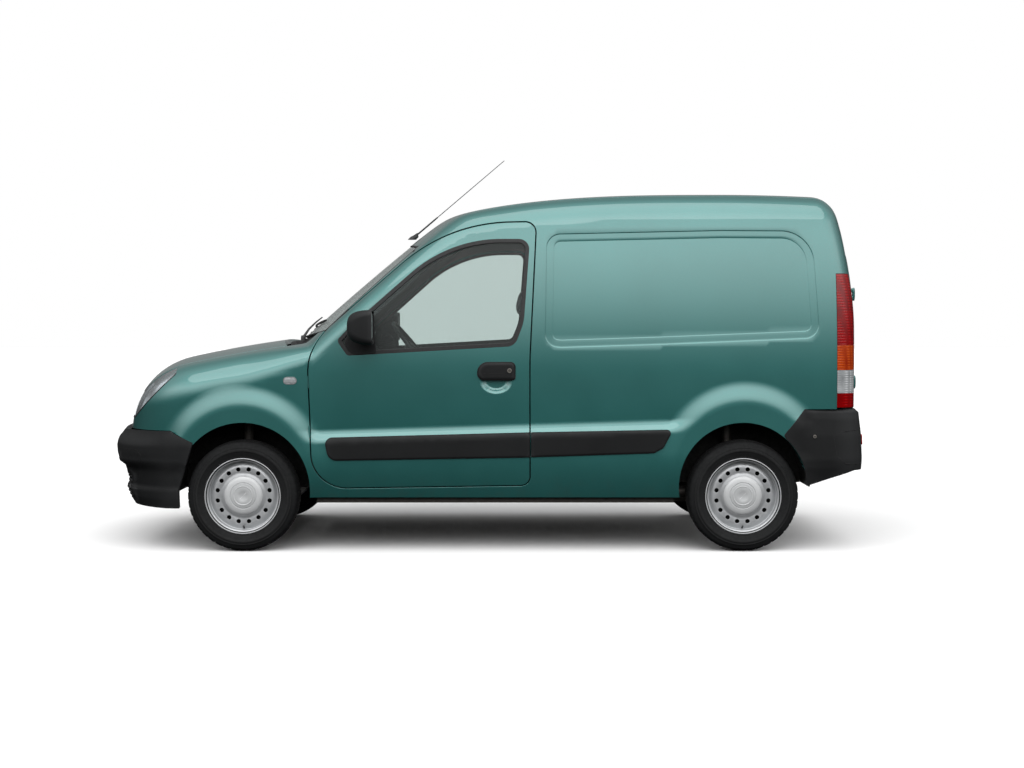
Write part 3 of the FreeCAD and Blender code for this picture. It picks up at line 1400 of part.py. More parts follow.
def spare_wheel():
    """Spare wheel under the load floor, hung on one post."""
    top = LOAD_FLOOR_Z - SPARE_DROP
    centre = vector(SPARE_X, SPARE_Y, top - SPARE_WIDTH)
    ring = Part.makeCylinder(SPARE_RADIUS, SPARE_WIDTH, centre)
    well = Part.makeCylinder(SPARE_WELL_RADIUS, SPARE_WELL_DEPTH, centre)
    post = rod((SPARE_X, SPARE_Y, centre.z + SPARE_WELL_DEPTH),
               (SPARE_X, SPARE_Y, LOAD_FLOOR_Z - SEAT_GAP), SPARE_POST_RADIUS)
    return fused([ring.cut(well), post])


AERIAL_BASE = (HEADER_X + 15.5, 0.0, ROOF_Z - 219.0)
AERIAL_TIP = (HEADER_X + 528.5, 0.0, ROOF_Z + 215.0)
AERIAL_FOOT_RADIUS = 16.0
AERIAL_ROD_RADIUS = 2.5


def aerial():
    """A foot that stands on the roof and a slim rod."""
    x, y, z = AERIAL_BASE
    foot = rod((x, y, z - CUT_OVERRUN), (x, y, z), AERIAL_FOOT_RADIUS)
    foot = foot.cut(roof_slab(-SEAT_GAP, 2 * CUT_OVERRUN))
    thick = tuple(a + AERIAL_THICK_SHARE * (b - a) for a, b in zip(AERIAL_BASE, AERIAL_TIP))
    spring = rod(AERIAL_BASE, thick, 2 * AERIAL_ROD_RADIUS)
    return fused([foot, spring, rod(AERIAL_BASE, AERIAL_TIP, AERIAL_ROD_RADIUS)])


AERIAL_THICK_SHARE = 0.25


ENGINE_HALF_WIDTH = 330.0
ENGINE_FRONT_X = FRONT_AXLE_X - 330.0
ENGINE_REAR_X = FRONT_AXLE_X + 160.0
ENGINE_LOW_Z = 330.0
ENGINE_HIGH_Z = 860.0
ENGINE_MOUNT_HALF_LENGTH = 60.0
RAIL_WIDTH = 60.0
RAIL_BOTTOM_Z = 400.0
RAIL_TOP_Z = 480.0


def engine():
    """One plain block, hung between the rails on a mount each side."""
    block = box((ENGINE_FRONT_X, -ENGINE_HALF_WIDTH, ENGINE_LOW_Z),
                (ENGINE_REAR_X, ENGINE_HALF_WIDTH, ENGINE_HIGH_Z))
    reach = FRONT_TUB_INNER_Y - RAIL_WIDTH - 2 * SEAT_GAP
    mounts = box((FRONT_AXLE_X - ENGINE_MOUNT_HALF_LENGTH, -reach, RAIL_BOTTOM_Z),
                 (FRONT_AXLE_X + ENGINE_MOUNT_HALF_LENGTH, reach, RAIL_TOP_Z))
    return fused([block, mounts])


def bonnet_sweep():
    """The left half of the bonnet's rear edge, grown by a shut gap, as it swings open."""
    stations = spread(BONNET_REAR_X - 2 * CUT_OVERRUN, WING_TOP_REAR_X, 2)
    sides = spread(-BONNET_SEAM_Y - SHUT_GAP, 0.0, ROOF_COLUMNS // 2)
    edge = slab(top_rays(stations, sides, (), BONNET_DROP), -SHUT_GAP, BONNET_WALL + SHUT_GAP)
    edge = edge.common(bonnet_region(SHUT_GAP))
    swept = []
    for angle in spread(0, BONNET_OPENING, BONNET_SWEEP_STEPS):
        turned = edge.copy()
        turned.rotate(vector(BONNET_HINGE_X, 0.0, BONNET_HINGE_Z), vector(0, 1, 0), angle)
        swept.append(turned)
    return swept


def scuttle():
    """Tray between bonnet and windscreen, clear of the bonnet as it opens."""
    stations = spread(BONNET_REAR_X - SCUTTLE_OVERLAP, SCREEN_FOOT_X + SCUTTLE_REACH, SCUTTLE_STATIONS)
    sides = spread(-BONNET_SEAM_Y - SCUTTLE_OVERLAP, 0.0, ROOF_COLUMNS // 2)
    panel = slab(top_rays(stations, sides, (), ROOF_DROP), SCUTTLE_SINK, SCUTTLE_SINK + SCUTTLE_WALL)
    cuts = [bonnet_region(SHUT_GAP), plan_prism(screen_points()), lug_slot(-1)] + bonnet_sweep()
    tray = max(panel.common(cowl_prism()).cut(cuts).Solids, key=lambda solid: solid.Volume)
    half = fused([tray, bonnet_pin(-1)])
    return fused([half, mirrored(half)])


BONNET_OPENING = 50.0
BONNET_SWEEP_STEPS = 8
SCUTTLE_OVERLAP = 25.0
SCUTTLE_REACH = 300.0
SCUTTLE_STATIONS = 4
SCUTTLE_SINK = 14.0
SCUTTLE_WALL = 16.0
BONNET_PIN_RADIUS = 5.0
BONNET_PIN_Y = 580.0
BONNET_PIN_LENGTH = 60.0
BONNET_PIN_SET = 10.0
BONNET_LUG_WALL = 14.0
BONNET_LUG_REACH = 42.0
BONNET_CORNER_X = BONNET_REAR_X + arc_drop(BONNET_SEAM_Y, PLAN_BOW_RADIUS)
BONNET_HINGE_X = BONNET_CORNER_X + BONNET_PIN_SET
BONNET_HINGE_Z = top_z(BONNET_CORNER_X, BONNET_SEAM_Y) - BONNET_WALL - BONNET_PIN_SET
BONNET_LUG_Y = BONNET_PIN_Y - 1.5 * BONNET_LUG_WALL


def hinge_points(corners):
    """Side view corners given from the bonnet's hinge, in pin radii."""
    size = BONNET_PIN_RADIUS
    return [(BONNET_HINGE_X + u * size, BONNET_HINGE_Z + v * size, 0.0) for u, v in corners]


def bonnet_pin(side):
    """Hinge pin under a rear corner of the bonnet, on an arm of the scuttle."""
    start = (BONNET_HINGE_X, side * (BONNET_PIN_Y - BONNET_PIN_LENGTH), BONNET_HINGE_Z)
    stop = (BONNET_HINGE_X, side * BONNET_PIN_Y, BONNET_HINGE_Z)
    inner = BONNET_PIN_Y - BONNET_PIN_LENGTH
    plate = side_prism(hinge_points(ARM_CORNER_SHARES), 0.0, inner, inner + BONNET_LUG_WALL)
    return fused([rod(start, stop, BONNET_PIN_RADIUS), plate if side < 0 else mirrored(plate)])


ARM_CORNER_SHARES = ((-1.0, -1.0), (11.0, -1.0), (11.0, 8.0), (5.0, 6.5), (3.0, 4.0), (-1.0, 1.0))
LUG_CORNER_SHARES = ((-8.4, -1.8), (1.8, -1.8), (1.8, 1.2), (-4.0, 1.2), (-4.8, 3.0), (-8.4, 3.0))


def bonnet_lug(side):
    """Eye under the bonnet that turns on the hinge pin."""
    lug = side_prism(hinge_points(LUG_CORNER_SHARES), 0.0, BONNET_LUG_Y - BONNET_LUG_WALL / 2,
                     BONNET_LUG_Y + BONNET_LUG_WALL / 2)
    hole = rod((BONNET_HINGE_X, -WIDE, BONNET_HINGE_Z), (BONNET_HINGE_X, WIDE, BONNET_HINGE_Z),
               BONNET_PIN_RADIUS + STUB_CLEARANCE)
    lug = lug.cut(hole)
    return lug if side < 0 else mirrored(lug)


def lug_slot(side):
    """Room for the eye where it swings up through the scuttle."""
    half = BONNET_LUG_WALL / 2 + SHUT_GAP
    middle = side * BONNET_LUG_Y
    return box((BONNET_HINGE_X - CUT_OVERRUN, middle - half, BONNET_HINGE_Z - CUT_OVERRUN),
               (BONNET_HINGE_X + BONNET_LUG_REACH, middle + half, BONNET_HINGE_Z + 2 * CUT_OVERRUN))


def headlamp_slab(outer, inner):
    stations = spread(NOSE_TURN_X, FRONT_AXLE_X, LAMP_STATIONS)
    rays = side_rays(stations, NOSE_TURNS, WING_ROWS, floor_z=0.0)
    return slab(rays, outer, inner)


def headlamp():
    region = side_prism(headlamp_points(), 0.0, LAMP_INNER_Y)
    return headlamp_slab(0.0, LAMP_WALL).common(region).cut(bonnet_region(SHUT_GAP))


def grille():
    """Panel between the headlamps with a row of air slots."""
    heights = spread(FRONT_BUMPER_TOP_Z, BONNET_EDGE_Z + GRILLE_OVERLAP, GRILLE_ROWS)
    columns = [[((NOSE_TURN_X, y, z), (-1.0, 0.0, 0.0)) for z in heights]
               for y in spread(-LAMP_INNER_Y, LAMP_INNER_Y, GRILLE_COLUMNS)]
    panel = slab(columns, GRILLE_SINK, GRILLE_SINK + GRILLE_WALL).cut(bonnet_region(SHUT_GAP))
    half = GRILLE_SLOT_SHARE * LAMP_INNER_Y
    slots = []
    for index in range(GRILLE_SLOTS):
        z = GRILLE_SLOT_Z + index * GRILLE_SLOT_PITCH
        slots.append(box((NOSE_X, -half, z), (NOSE_TURN_X, half, z + GRILLE_SLOT_HEIGHT)))
    return panel.cut(slots)


GRILLE_SINK = 4.0
GRILLE_WALL = 20.0
GRILLE_OVERLAP = 40.0
GRILLE_ROWS = 4
GRILLE_COLUMNS = 6
GRILLE_SLOTS = 4
GRILLE_SLOT_SHARE = 0.85
GRILLE_SLOT_Z = LAMP_BOTTOM_Z - 20.0
GRILLE_SLOT_HEIGHT = 16.0
GRILLE_SLOT_PITCH = 30.0


def tail_lamp():
    slab_part = cabin_slab(-TAIL_LAMP_PROUD, TAIL_LAMP_WALL)
    return slab_part.common(tail_lamp_box())


def bulkhead():
    base_z = LOAD_FLOOR_Z + FLOOR_WALL - BULKHEAD_STEP
    return box((BULKHEAD_X, -BULKHEAD_HALF_WIDTH, base_z),
               (BULKHEAD_X + BULKHEAD_WALL, BULKHEAD_HALF_WIDTH, BULKHEAD_TOP_Z))


def door_axis():
    """Two points of the left front door's hinge line, in the shut gap."""
    points = []
    for z in (DOOR_HINGE_LOW_Z, DOOR_HINGE_HIGH_Z):
        share = (z - DOOR_BOTTOM_Z) / DOOR_HEIGHT
        front_share = DOOR_CORNER_SHARES[0][0] * (1 - share / DOOR_CORNER_SHARES[-1][1])
        x = DOOR_FRONT_X + DOOR_LENGTH * front_share - SHUT_GAP / 2
        points.append((x, -side_y(x, z) - HINGE_PROUD, z))
    return points


# Outer trim carried by a front door
MIRROR_X = DOOR_FRONT_X + 240.0
MIRROR_Z = 1168.0
MIRROR_LENGTH = 130.0
MIRROR_HEIGHT = 175.0
MIRROR_RADIUS = 45.0
MIRROR_INNER_Y = 845.0
MIRROR_OUTER_Y = 985.0
MIRROR_ARM_HEIGHT = 60.0
MIRROR_ARM_SET = 10.0
MIRROR_ARM_AHEAD = 20.0
MIRROR_ARM_BEHIND = 25.0
MOULDING_PROUD = 11.0
MOULDING_ROOT = 4.0
HANDLE_PROUD = 16.0
SAIL_PROUD = 4.0
DOOR_MOULDING_SHARES = (
    (0.112, 0.103, 0.0),
    (0.971, 0.1175, 0.0),
    (0.971, 0.2095, 0.0),
    (0.094, 0.1855, 0.0),
    (0.073, 0.1565, 0.0),
)
HANDLE_SHARES = ((0.743, 0.406, 0.017), (0.906, 0.406, 0.017), (0.906, 0.471, 0.017), (0.743, 0.471, 0.017))
SAIL_SHARES = ((0.13, 0.5, 0.0), (0.30, 0.51, 0.0), (0.30, 0.665, 0.0), (0.20, 0.60, 0.0))
# Rear moulding: side view corners as shares of the door's box, in line with the door's strip
REAR_MOULDING_SHARES = (
    (0.977, 0.1173, 0.0),
    (1.52, 0.1332, 0.0),
    (1.596, 0.2194, 0.0),
    (0.977, 0.2085, 0.0),
)
TRIM_STATIONS = 8
FLANK_LOW_Z = 430.0
FLANK_HIGH_Z = 1280.0
FLANK_ROWS = 12
FLANK_OVERLAP = 10.0


def flank_slab(stations, outer, inner):
    """A layer on the flank, from flat rays only."""
    columns = []
    for x in stations:
        columns.append([fan_ray(x, z, 0.0, 0.0) for z in spread(FLANK_LOW_Z, FLANK_HIGH_Z, FLANK_ROWS)])
    return slab(columns, outer, inner)


def mirror():
    """Mirror head on a short arm that stands on the door's skin."""
    front = MIRROR_X - MIRROR_LENGTH / 2
    rear = MIRROR_X + MIRROR_LENGTH / 2
    low = MIRROR_Z - MIRROR_HEIGHT / 2
    high = MIRROR_Z + MIRROR_HEIGHT / 2
    shell = [
        (front, low, MIRROR_RADIUS),
        (rear, low, MIRROR_RADIUS / 2),
        (rear, high, MIRROR_RADIUS / 2),
        (front, high, MIRROR_RADIUS),
    ]
    arm_low = low + MIRROR_ARM_SET
    arm_high = arm_low + MIRROR_ARM_HEIGHT
    root_y = -side_y(MIRROR_X, arm_low) + DOOR_SKIN / 2
    arm = box((MIRROR_X - MIRROR_ARM_AHEAD, -MIRROR_INNER_Y - MIRROR_ARM_SET, arm_low),
              (MIRROR_X + MIRROR_ARM_BEHIND, root_y, arm_high))
    head = side_prism(shell, 0.0, MIRROR_INNER_Y, MIRROR_OUTER_Y)
    return head, arm


def door_trim():
    """Mirror, its arm and sail, the rubbing strip and the pull handle."""
    stations = spread(DOOR_FRONT_X + FLANK_OVERLAP, DOOR_FRONT_X + DOOR_LENGTH, TRIM_STATIONS)
    seat_room = door_slab(-SEAT_GAP, DOOR_SKIN)
    head, arm = mirror()
    shapes = [fused([head, arm.cut(seat_room)])]
    layers = (
        (MOULDING_PROUD, DOOR_MOULDING_SHARES),
        (HANDLE_PROUD, HANDLE_SHARES),
        (SAIL_PROUD, SAIL_SHARES),
    )
    for proud, shares in layers:
        layer = flank_slab(stations, -proud, MOULDING_ROOT).common(side_prism(door_points(shares)))
        shapes.append(layer.cut(seat_room))
    return Part.makeCompound(shapes)


def side_moulding():
    """The rubbing strip behind the door, as far as the rear arch."""
    points = door_points(REAR_MOULDING_SHARES)
    front = points[0][0] - SHUT_GAP
    rear = points[2][0] + SHUT_GAP
    strip = flank_slab(spread(front, rear, TRIM_STATIONS - 2), -MOULDING_PROUD, MOULDING_ROOT)
    return strip.common(side_prism(points)).cut(cabin_slab(-SEAT_GAP, SIDE_WALL))


PIN_RADIUS = 2.4


def point_on_axis(z):
    (x0, y0, z0), (x1, y1, z1) = door_axis()
    share = (z - z0) / (z1 - z0)
    return (x0 + (x1 - x0) * share, y0 + (y1 - y0) * share, z)


def door_hinges():
    """Two slim pins in the shut gap, each with a leaf on the wing's edge."""
    hinges = []
    for low in (DOOR_HINGE_LOW_Z, DOOR_HINGE_HIGH_Z - HINGE_HEIGHT):
        start = point_on_axis(low)
        stop = point_on_axis(low + HINGE_HEIGHT)
        reach = SHUT_GAP / 2 - SEAT_GAP
        outline = [(start[0] - reach, start[2], 0.0), (start[0], start[2], 0.0),
                   (stop[0], stop[2], 0.0), (stop[0] - reach, stop[2], 0.0)]
        outer = min(-start[1], -stop[1])
        leaf = side_prism(outline, 0.0, outer - WING_WALL, outer)
        hinges.append(fused([rod(start, stop, PIN_RADIUS), leaf]))
    return Part.makeCompound(hinges)


def rear_axis_point(z):
    """The left rear door's hinge line, behind the tail corner."""
    y = REAR_DOOR_HALF_WIDTH + REAR_HINGE_INSET
    low = tail_x(y, REAR_HINGE_LOW_Z)
    high = tail_x(y, REAR_HINGE_HIGH_Z)
    share = (z - REAR_HINGE_LOW_Z) / (REAR_HINGE_HIGH_Z - REAR_HINGE_LOW_Z)
    return (low + (high - low) * share + REAR_HINGE_PROUD, -y, z)


# Leaves of a rear hinge: from, to and depth, in knuckle radii
REAR_HINGE_DOOR_LEAVES = ((0.0, 6.5, 0.9), (5.0, 6.5, 2.4))
REAR_HINGE_BODY_LEAVES = ((0.0, -3.0, 3.5),)


def rear_hinge_half(on_door):
    """Knuckles and leaves of one half of the left rear door's two hinges."""
    shapes = []
    for z in (REAR_HINGE_LOW_Z, REAR_HINGE_HIGH_Z - HINGE_HEIGHT):
        low = z + (HINGE_HEIGHT / 2 + SEAT_GAP if on_door else 0.0)
        high = z + (HINGE_HEIGHT if on_door else HINGE_HEIGHT / 2)
        x, y, _ = rear_axis_point(z)
        shapes.append(rod(rear_axis_point(low), rear_axis_point(high), REAR_HINGE_RADIUS))
        leaves = REAR_HINGE_DOOR_LEAVES if on_door else REAR_HINGE_BODY_LEAVES
        for near, far, depth in leaves:
            ends = sorted((y + near * REAR_HINGE_RADIUS, y + far * REAR_HINGE_RADIUS))
            shapes.append(box((x - depth * REAR_HINGE_RADIUS, ends[0], low + SEAT_GAP),
                              (x - REAR_HINGE_RADIUS / 2, ends[1], high - SEAT_GAP)))
    return fused(shapes)


def main():
    sides = {"left": -1, "right": 1}
    left = {
        "body_side": body_side(),
        "door": front_door(),
        "door_glass": front_door_glass(),
        "door_trim": door_trim(),
    }
    pairs = {
        "wings": wing(),
        "headlamps": headlamp(),
        "tail_lamps": tail_lamp(),
        "side_mouldings": side_moulding(),
        "door_hinges": door_hinges(),
        "seats": seat(),
    }
    for name, shape in pairs.items():
        write(name, both_sides(shape))
    for side, sign in sides.items():
        for name, shape in left.items():
            write(f"{name}_{side}", shape if sign < 0 else mirrored(shape))
        write(f"knuckle_{side}", knuckle(sign))
        write(f"rear_door_{side}", rear_door(sign))
        write(f"rear_door_glass_{side}", rear_glass(sign))
    for name, (x, y) in wheel_places().items():
        write(f"tyre_{name}", tyre(x, y))
        write(f"rim_{name}", rim(x, y))
    for maker in (roof, windscreen, bonnet, scuttle, front_bumper, rear_bumper, grille, bulkhead, dashboard,
                  steering_wheel, engine, floor_pan, front_rails, wheel_arches, subframe, rear_axle, exhaust,
                  fuel_tank, spare_wheel, aerial):
        write(maker.__name__, maker())


main()
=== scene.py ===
# %% [markdown]
# # Dressing a compact panel van
#
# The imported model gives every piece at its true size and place. This lesson dresses it: smooth painted
# panels, glass, lamps, tyres with tread, pressed wheels, seats and trim. All lengths are in metres.
# The nose points to -X, the left side is -Y and +Z is up.

# %%
import math

import bmesh
import bpy
import numpy as np
from mathutils import Matrix, Vector
from mathutils.geometry import delaunay_2d_cdt


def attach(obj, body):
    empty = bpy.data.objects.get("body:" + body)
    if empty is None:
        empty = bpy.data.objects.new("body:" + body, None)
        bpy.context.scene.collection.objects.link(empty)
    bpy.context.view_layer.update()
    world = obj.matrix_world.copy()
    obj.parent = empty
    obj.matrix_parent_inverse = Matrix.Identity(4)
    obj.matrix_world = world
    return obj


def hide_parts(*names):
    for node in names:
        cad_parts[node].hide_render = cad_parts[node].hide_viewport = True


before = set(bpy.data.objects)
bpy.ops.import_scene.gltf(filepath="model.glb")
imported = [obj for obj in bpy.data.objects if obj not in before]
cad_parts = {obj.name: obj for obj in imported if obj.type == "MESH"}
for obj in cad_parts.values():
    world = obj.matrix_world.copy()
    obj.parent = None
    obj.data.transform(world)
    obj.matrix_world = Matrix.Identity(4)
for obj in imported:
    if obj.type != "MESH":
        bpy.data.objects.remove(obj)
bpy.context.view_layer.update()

# %% [markdown]
# ## 1. The camera comes first
#
# The photo is a square-on side view from far away. Its distance, height and tilt were found by lining up
# both wheel centres, the ends of the bumpers and the roof.

# %%
CAMERA_X = 0.159
CAMERA_DISTANCE = 8.7
CAMERA_HEIGHT = 1.195
FOCAL_PIXELS = 1530.0
PHOTO_WIDTH = 1024.0
HORIZON_RISE_PIXELS = 62.0
SENSOR_WIDTH_MM = 36.0

camera_data = bpy.data.cameras.new("camera")
camera_data.sensor_width = SENSOR_WIDTH_MM
camera_data.lens = SENSOR_WIDTH_MM * FOCAL_PIXELS / PHOTO_WIDTH
camera = bpy.data.objects.new("camera", camera_data)
tilt = math.atan(HORIZON_RISE_PIXELS / FOCAL_PIXELS)
camera.location = (CAMERA_X, -CAMERA_DISTANCE, CAMERA_HEIGHT)
camera.rotation_euler = (math.pi / 2 - tilt, 0.0, 0.0)
bpy.context.scene.collection.objects.link(camera)
bpy.context.scene.camera = camera
print("lens", round(camera_data.lens, 1), "mm, tilted down", round(math.degrees(tilt), 2), "degrees")

# %% [markdown]
# ## 2. One formula for the painted skin
#
# The panels of the CAD model are slices of one formula. The same formula, worked out for whole lists of
# points at once, places every vertex of the smooth panels here, so they lie where the solids lie.
# It is negative inside the van, zero on the paint and grows outwards.

# %%
MM = 0.001
NOSE_X = -2017.5 * MM
TAIL_X = -NOSE_X
FRONT_AXLE_X = NOSE_X + 775 * MM
REAR_AXLE_X = TAIL_X - 655 * MM
HALF_TRACK = 700 * MM
SHUT_GAP = 6 * MM

HALF_WIDTH = 803 * MM
LOWER_BULGE = 16 * MM
CREASE_Z = 665 * MM
CREASE_RISE_SHARE = 0.03
CREASE_HEIGHT = 75 * MM
WAIST_Z = 900 * MM
TUMBLE_SPAN = 800 * MM
TUMBLE_IN = 108 * MM
TUMBLE_POWER = 1.9
BELOW_WAIST_RADIUS = 6.67
TUCK_Z = 520 * MM
TUCK_RADIUS = 0.909
SIDE_NOSE_START = 240 * MM
SIDE_NOSE_RADIUS = 16.7
SIDE_TAIL_START = -160 * MM
SIDE_TAIL_RADIUS = 25.0

BONNET_REF_X = FRONT_AXLE_X + 162.5 * MM
BONNET_Z = 1.100
BONNET_SLOPE_SHARE = 0.13
BONNET_RADIUS = 6.25
SCREEN_REF_X = FRONT_AXLE_X + 271.5 * MM
SCREEN_Z = 1.139
SCREEN_SLOPE_SHARE = 0.90
SCREEN_RADIUS = 6.67
HEADER_X = FRONT_AXLE_X + 830 * MM
ROOF_Z = 1.892
ROOF_PEAK_X = REAR_AXLE_X - 112.5 * MM
ROOF_FALL = 170 * MM
ROOF_FALL_POWER = 2.9
ROOF_REAR_RADIUS = 10.0
PLAN_BOW_RADIUS = 2.5
CROWN_RADIUS = 6.67
HEADER_BLEND = 35 * MM
COWL_BLEND = 10 * MM

TAIL_SKIN_X = TAIL_X - 50.5 * MM
TAIL_LEAN_Z = 1.150
TAIL_LEAN_RADIUS = 2.27
TAIL_BOW_RADIUS = 11.1
NOSE_SKIN_X = NOSE_X + 82.5 * MM
NOSE_LEAN_Z = 620 * MM
NOSE_LEAN_SHARE = 0.05
NOSE_BOW_RADIUS = 2.27
CORNER_POWER = 2.3
TAIL_CORNER_RADIUS = 100 * MM
NOSE_CORNER_RADIUS = 300 * MM
SHOULDER_RADIUS = 60 * MM
SHOULDER_WING_EXTRA = 100 * MM
SHOULDER_ROOF_EXTRA = 60 * MM
SHOULDER_WING_SPAN = 500 * MM
SHOULDER_WING_END = FRONT_AXLE_X + 490 * MM
SHOULDER_ROOF_START = FRONT_AXLE_X + 790 * MM
SHOULDER_ROOF_SPAN = 600 * MM

FLARE_RADIUS = 462 * MM
FLARE_WIDTH = 120 * MM
FLARE_CENTRES = ((FRONT_AXLE_X, 410 * MM), (REAR_AXLE_X, 430 * MM))
ARCH_LIP = 8 * MM
ARCH_LIP_WIDTH = 110 * MM
ARCHES = (
    (FRONT_AXLE_X + 10 * MM, 330 * MM, 345 * MM),
    (REAR_AXLE_X - 10 * MM, 345 * MM, 330 * MM),
)
NUDGE = 5 * MM
REACH = 1.4
HALVINGS = 26


def step(value):
    value = np.clip(value, 0.0, 1.0)
    return value * value * (3 - 2 * value)


def arc_drop(distance, radius):
    return distance * distance / (2 * radius)


def soft_min(first, second, blend):
    return (first + second - np.hypot(first - second, blend)) / 2


def soft_max(first, second, blend):
    return (first + second + np.hypot(first - second, blend)) / 2


def corner(first, second, radius):
    """The outside of two faces that meet in a rounded corner."""
    one = np.maximum((first + radius) / radius, 1e-9)
    two = np.maximum((second + radius) / radius, 1e-9)
    rounded = radius * (one**CORNER_POWER + two**CORNER_POWER) ** (1 / CORNER_POWER) - radius
    plain = np.maximum(first, second)
    return np.where((first <= -radius) | (second <= -radius), plain, rounded)


def top_height(x, y):
    bowed = x - arc_drop(y, PLAN_BOW_RADIUS)
    ahead = bowed - BONNET_REF_X
    bonnet = BONNET_Z + BONNET_SLOPE_SHARE * ahead - arc_drop(ahead, BONNET_RADIUS)
    ahead = bowed - SCREEN_REF_X
    screen = SCREEN_Z + SCREEN_SLOPE_SHARE * ahead - arc_drop(ahead, SCREEN_RADIUS)
    before_peak = np.maximum(0.0, ROOF_PEAK_X - x) / (ROOF_PEAK_X - HEADER_X)
    roof = ROOF_Z - ROOF_FALL * before_peak**ROOF_FALL_POWER
    roof = roof - arc_drop(np.maximum(0.0, x - ROOF_PEAK_X), ROOF_REAR_RADIUS)
    upper = soft_min(screen, roof, HEADER_BLEND)
    return soft_max(bonnet, upper, COWL_BLEND) - arc_drop(y, CROWN_RADIUS)


def side_width(x, z):
    crease = CREASE_Z + CREASE_RISE_SHARE * x
    tumble = TUMBLE_IN * (np.maximum(0.0, z - WAIST_Z) / TUMBLE_SPAN) ** TUMBLE_POWER
    below = np.maximum(0.0, WAIST_Z - z)
    upper = HALF_WIDTH - tumble - arc_drop(below, BELOW_WAIST_RADIUS)
    lower = HALF_WIDTH + LOWER_BULGE - arc_drop(np.maximum(0.0, TUCK_Z - z), TUCK_RADIUS)
    blend = step((crease - z) / CREASE_HEIGHT)
    lip = 0.0
    for centre_x, centre_z in FLARE_CENTRES:
        reach = np.hypot(x - centre_x, z - centre_z)
        flare = step((FLARE_RADIUS - reach) / FLARE_WIDTH)
        blend = 1 - (1 - blend) * (1 - flare)
        lip = lip + ARCH_LIP * step((FLARE_RADIUS - reach) / ARCH_LIP_WIDTH)
    width = upper + (lower - upper) * blend + lip
    width = width - arc_drop(np.maximum(0.0, FRONT_AXLE_X + SIDE_NOSE_START - x), SIDE_NOSE_RADIUS)
    return width - arc_drop(np.maximum(0.0, x - REAR_AXLE_X - SIDE_TAIL_START), SIDE_TAIL_RADIUS)


def tail_reach(y, z):
    lean = arc_drop(np.maximum(0.0, z - TAIL_LEAN_Z), TAIL_LEAN_RADIUS)
    return TAIL_SKIN_X - lean - arc_drop(y, TAIL_BOW_RADIUS)


def nose_reach(y, z):
    return NOSE_SKIN_X + NOSE_LEAN_SHARE * np.maximum(0.0, z - NOSE_LEAN_Z) + arc_drop(y, NOSE_BOW_RADIUS)


def skin(p):
    x, y, z = p[:, 0], np.abs(p[:, 1]), p[:, 2]
    wing = step((SHOULDER_WING_END - x) / SHOULDER_WING_SPAN)
    roof = step((x - SHOULDER_ROOF_START) / SHOULDER_ROOF_SPAN)
    shoulder = SHOULDER_RADIUS + SHOULDER_WING_EXTRA * wing + SHOULDER_ROOF_EXTRA * roof
    slope = (top_height(x + NUDGE, y) - top_height(x - NUDGE, y)) / (2 * NUDGE)
    above = (z - top_height(x, y)) / np.hypot(1.0, slope)
    value = corner(y - side_width(x, z), above, shoulder)
    value = corner(value, x - tail_reach(y, z), TAIL_CORNER_RADIUS)
    return corner(value, nose_reach(y, z) - x, NOSE_CORNER_RADIUS)


def hit(origin, way, level, depth=0.0):
    """Where rays from the inside reach a depth under the level's surface."""
    near = np.zeros(len(origin))
    far = np.full(len(origin), REACH)
    for _ in range(HALVINGS):
        middle = (near + far) / 2
        inside = level(origin + way * middle[:, None]) < -depth
        near = np.where(inside, middle, near)
        far = np.where(inside, far, middle)
    return origin + way * near[:, None]


def normals_of(level, points, nudge=1 * MM):
    slope = np.empty_like(points)
    for axis in range(3):
        shift = np.zeros(3)
        shift[axis] = nudge
        slope[:, axis] = level(points + shift) - level(points - shift)
    return slope / np.maximum(np.linalg.norm(slope, axis=1, keepdims=True), 1e-12)


print("roof height", round(float(top_height(np.array([ROOF_PEAK_X]), np.array([0.0]))[0]), 3))
print("widest half", round(float(side_width(np.array([0.0]), np.array([0.55]))[0]), 3))

# %% [markdown]
# ## 3. Charts: flat sheets that wrap onto the skin
#
# A chart turns flat (s, t) places into rays that start inside the van, and turns a point of the skin back
# into its flat place. Curves are drawn on the skin, taken back to the flat sheet, and the sheet is cut
# into triangles there, so shut lines and arches come out clean on a curved panel.

# %%
FAN_INSET = 450 * MM
FAN_DROP = 160 * MM
FAN_Y = 600 * MM
FAN_TOP_Z = 1.550
FAN_SCALE = 0.20
TOP_DROP = 110 * MM
BONNET_DROP = 280 * MM
SCREEN_DROP = 0.12
FLANK_RAY_Y = -0.2


def rows(*columns):
    return np.column_stack([np.broadcast_to(c, np.shape(columns[0])).astype(float) for c in columns])


class SideChart:
    """Left flank: s runs along X and then round a corner, t runs up and then over the shoulder."""

    def __init__(self, start_x, end_x, floor_z, level=skin):
        self.start_x = start_x
        self.end_x = end_x
        self.floor_z = floor_z
        self.level = level

    def shoulder(self, x):
        height = top_height(x, np.full_like(x, FAN_Y)) - FAN_DROP
        return np.maximum(self.floor_z, np.minimum(FAN_TOP_Z, height))

    def rays(self, flat):
        s, t = flat[:, 0], flat[:, 1]
        x = np.clip(s, self.start_x, self.end_x)
        turn = (s - x) / FAN_SCALE
        shoulder = self.shoulder(x)
        lift = np.maximum(0.0, t) / FAN_SCALE
        z = shoulder + np.minimum(0.0, t)
        origin = rows(x, -FAN_INSET, z)
        way = rows(np.sin(turn) * np.cos(lift), -np.cos(turn) * np.cos(lift), np.sin(lift))
        return origin, way

    def flat(self, p):
        x = np.clip(p[:, 0], self.start_x, self.end_x)
        shoulder = self.shoulder(x)
        out = -p[:, 1] - FAN_INSET
        turn = np.arctan2(p[:, 0] - x, out)
        lift = np.arctan2(p[:, 2] - shoulder, np.hypot(out, p[:, 0] - x))
        below = p[:, 2] - shoulder
        return rows(x + turn * FAN_SCALE, np.where(below < 0, below, lift * FAN_SCALE))


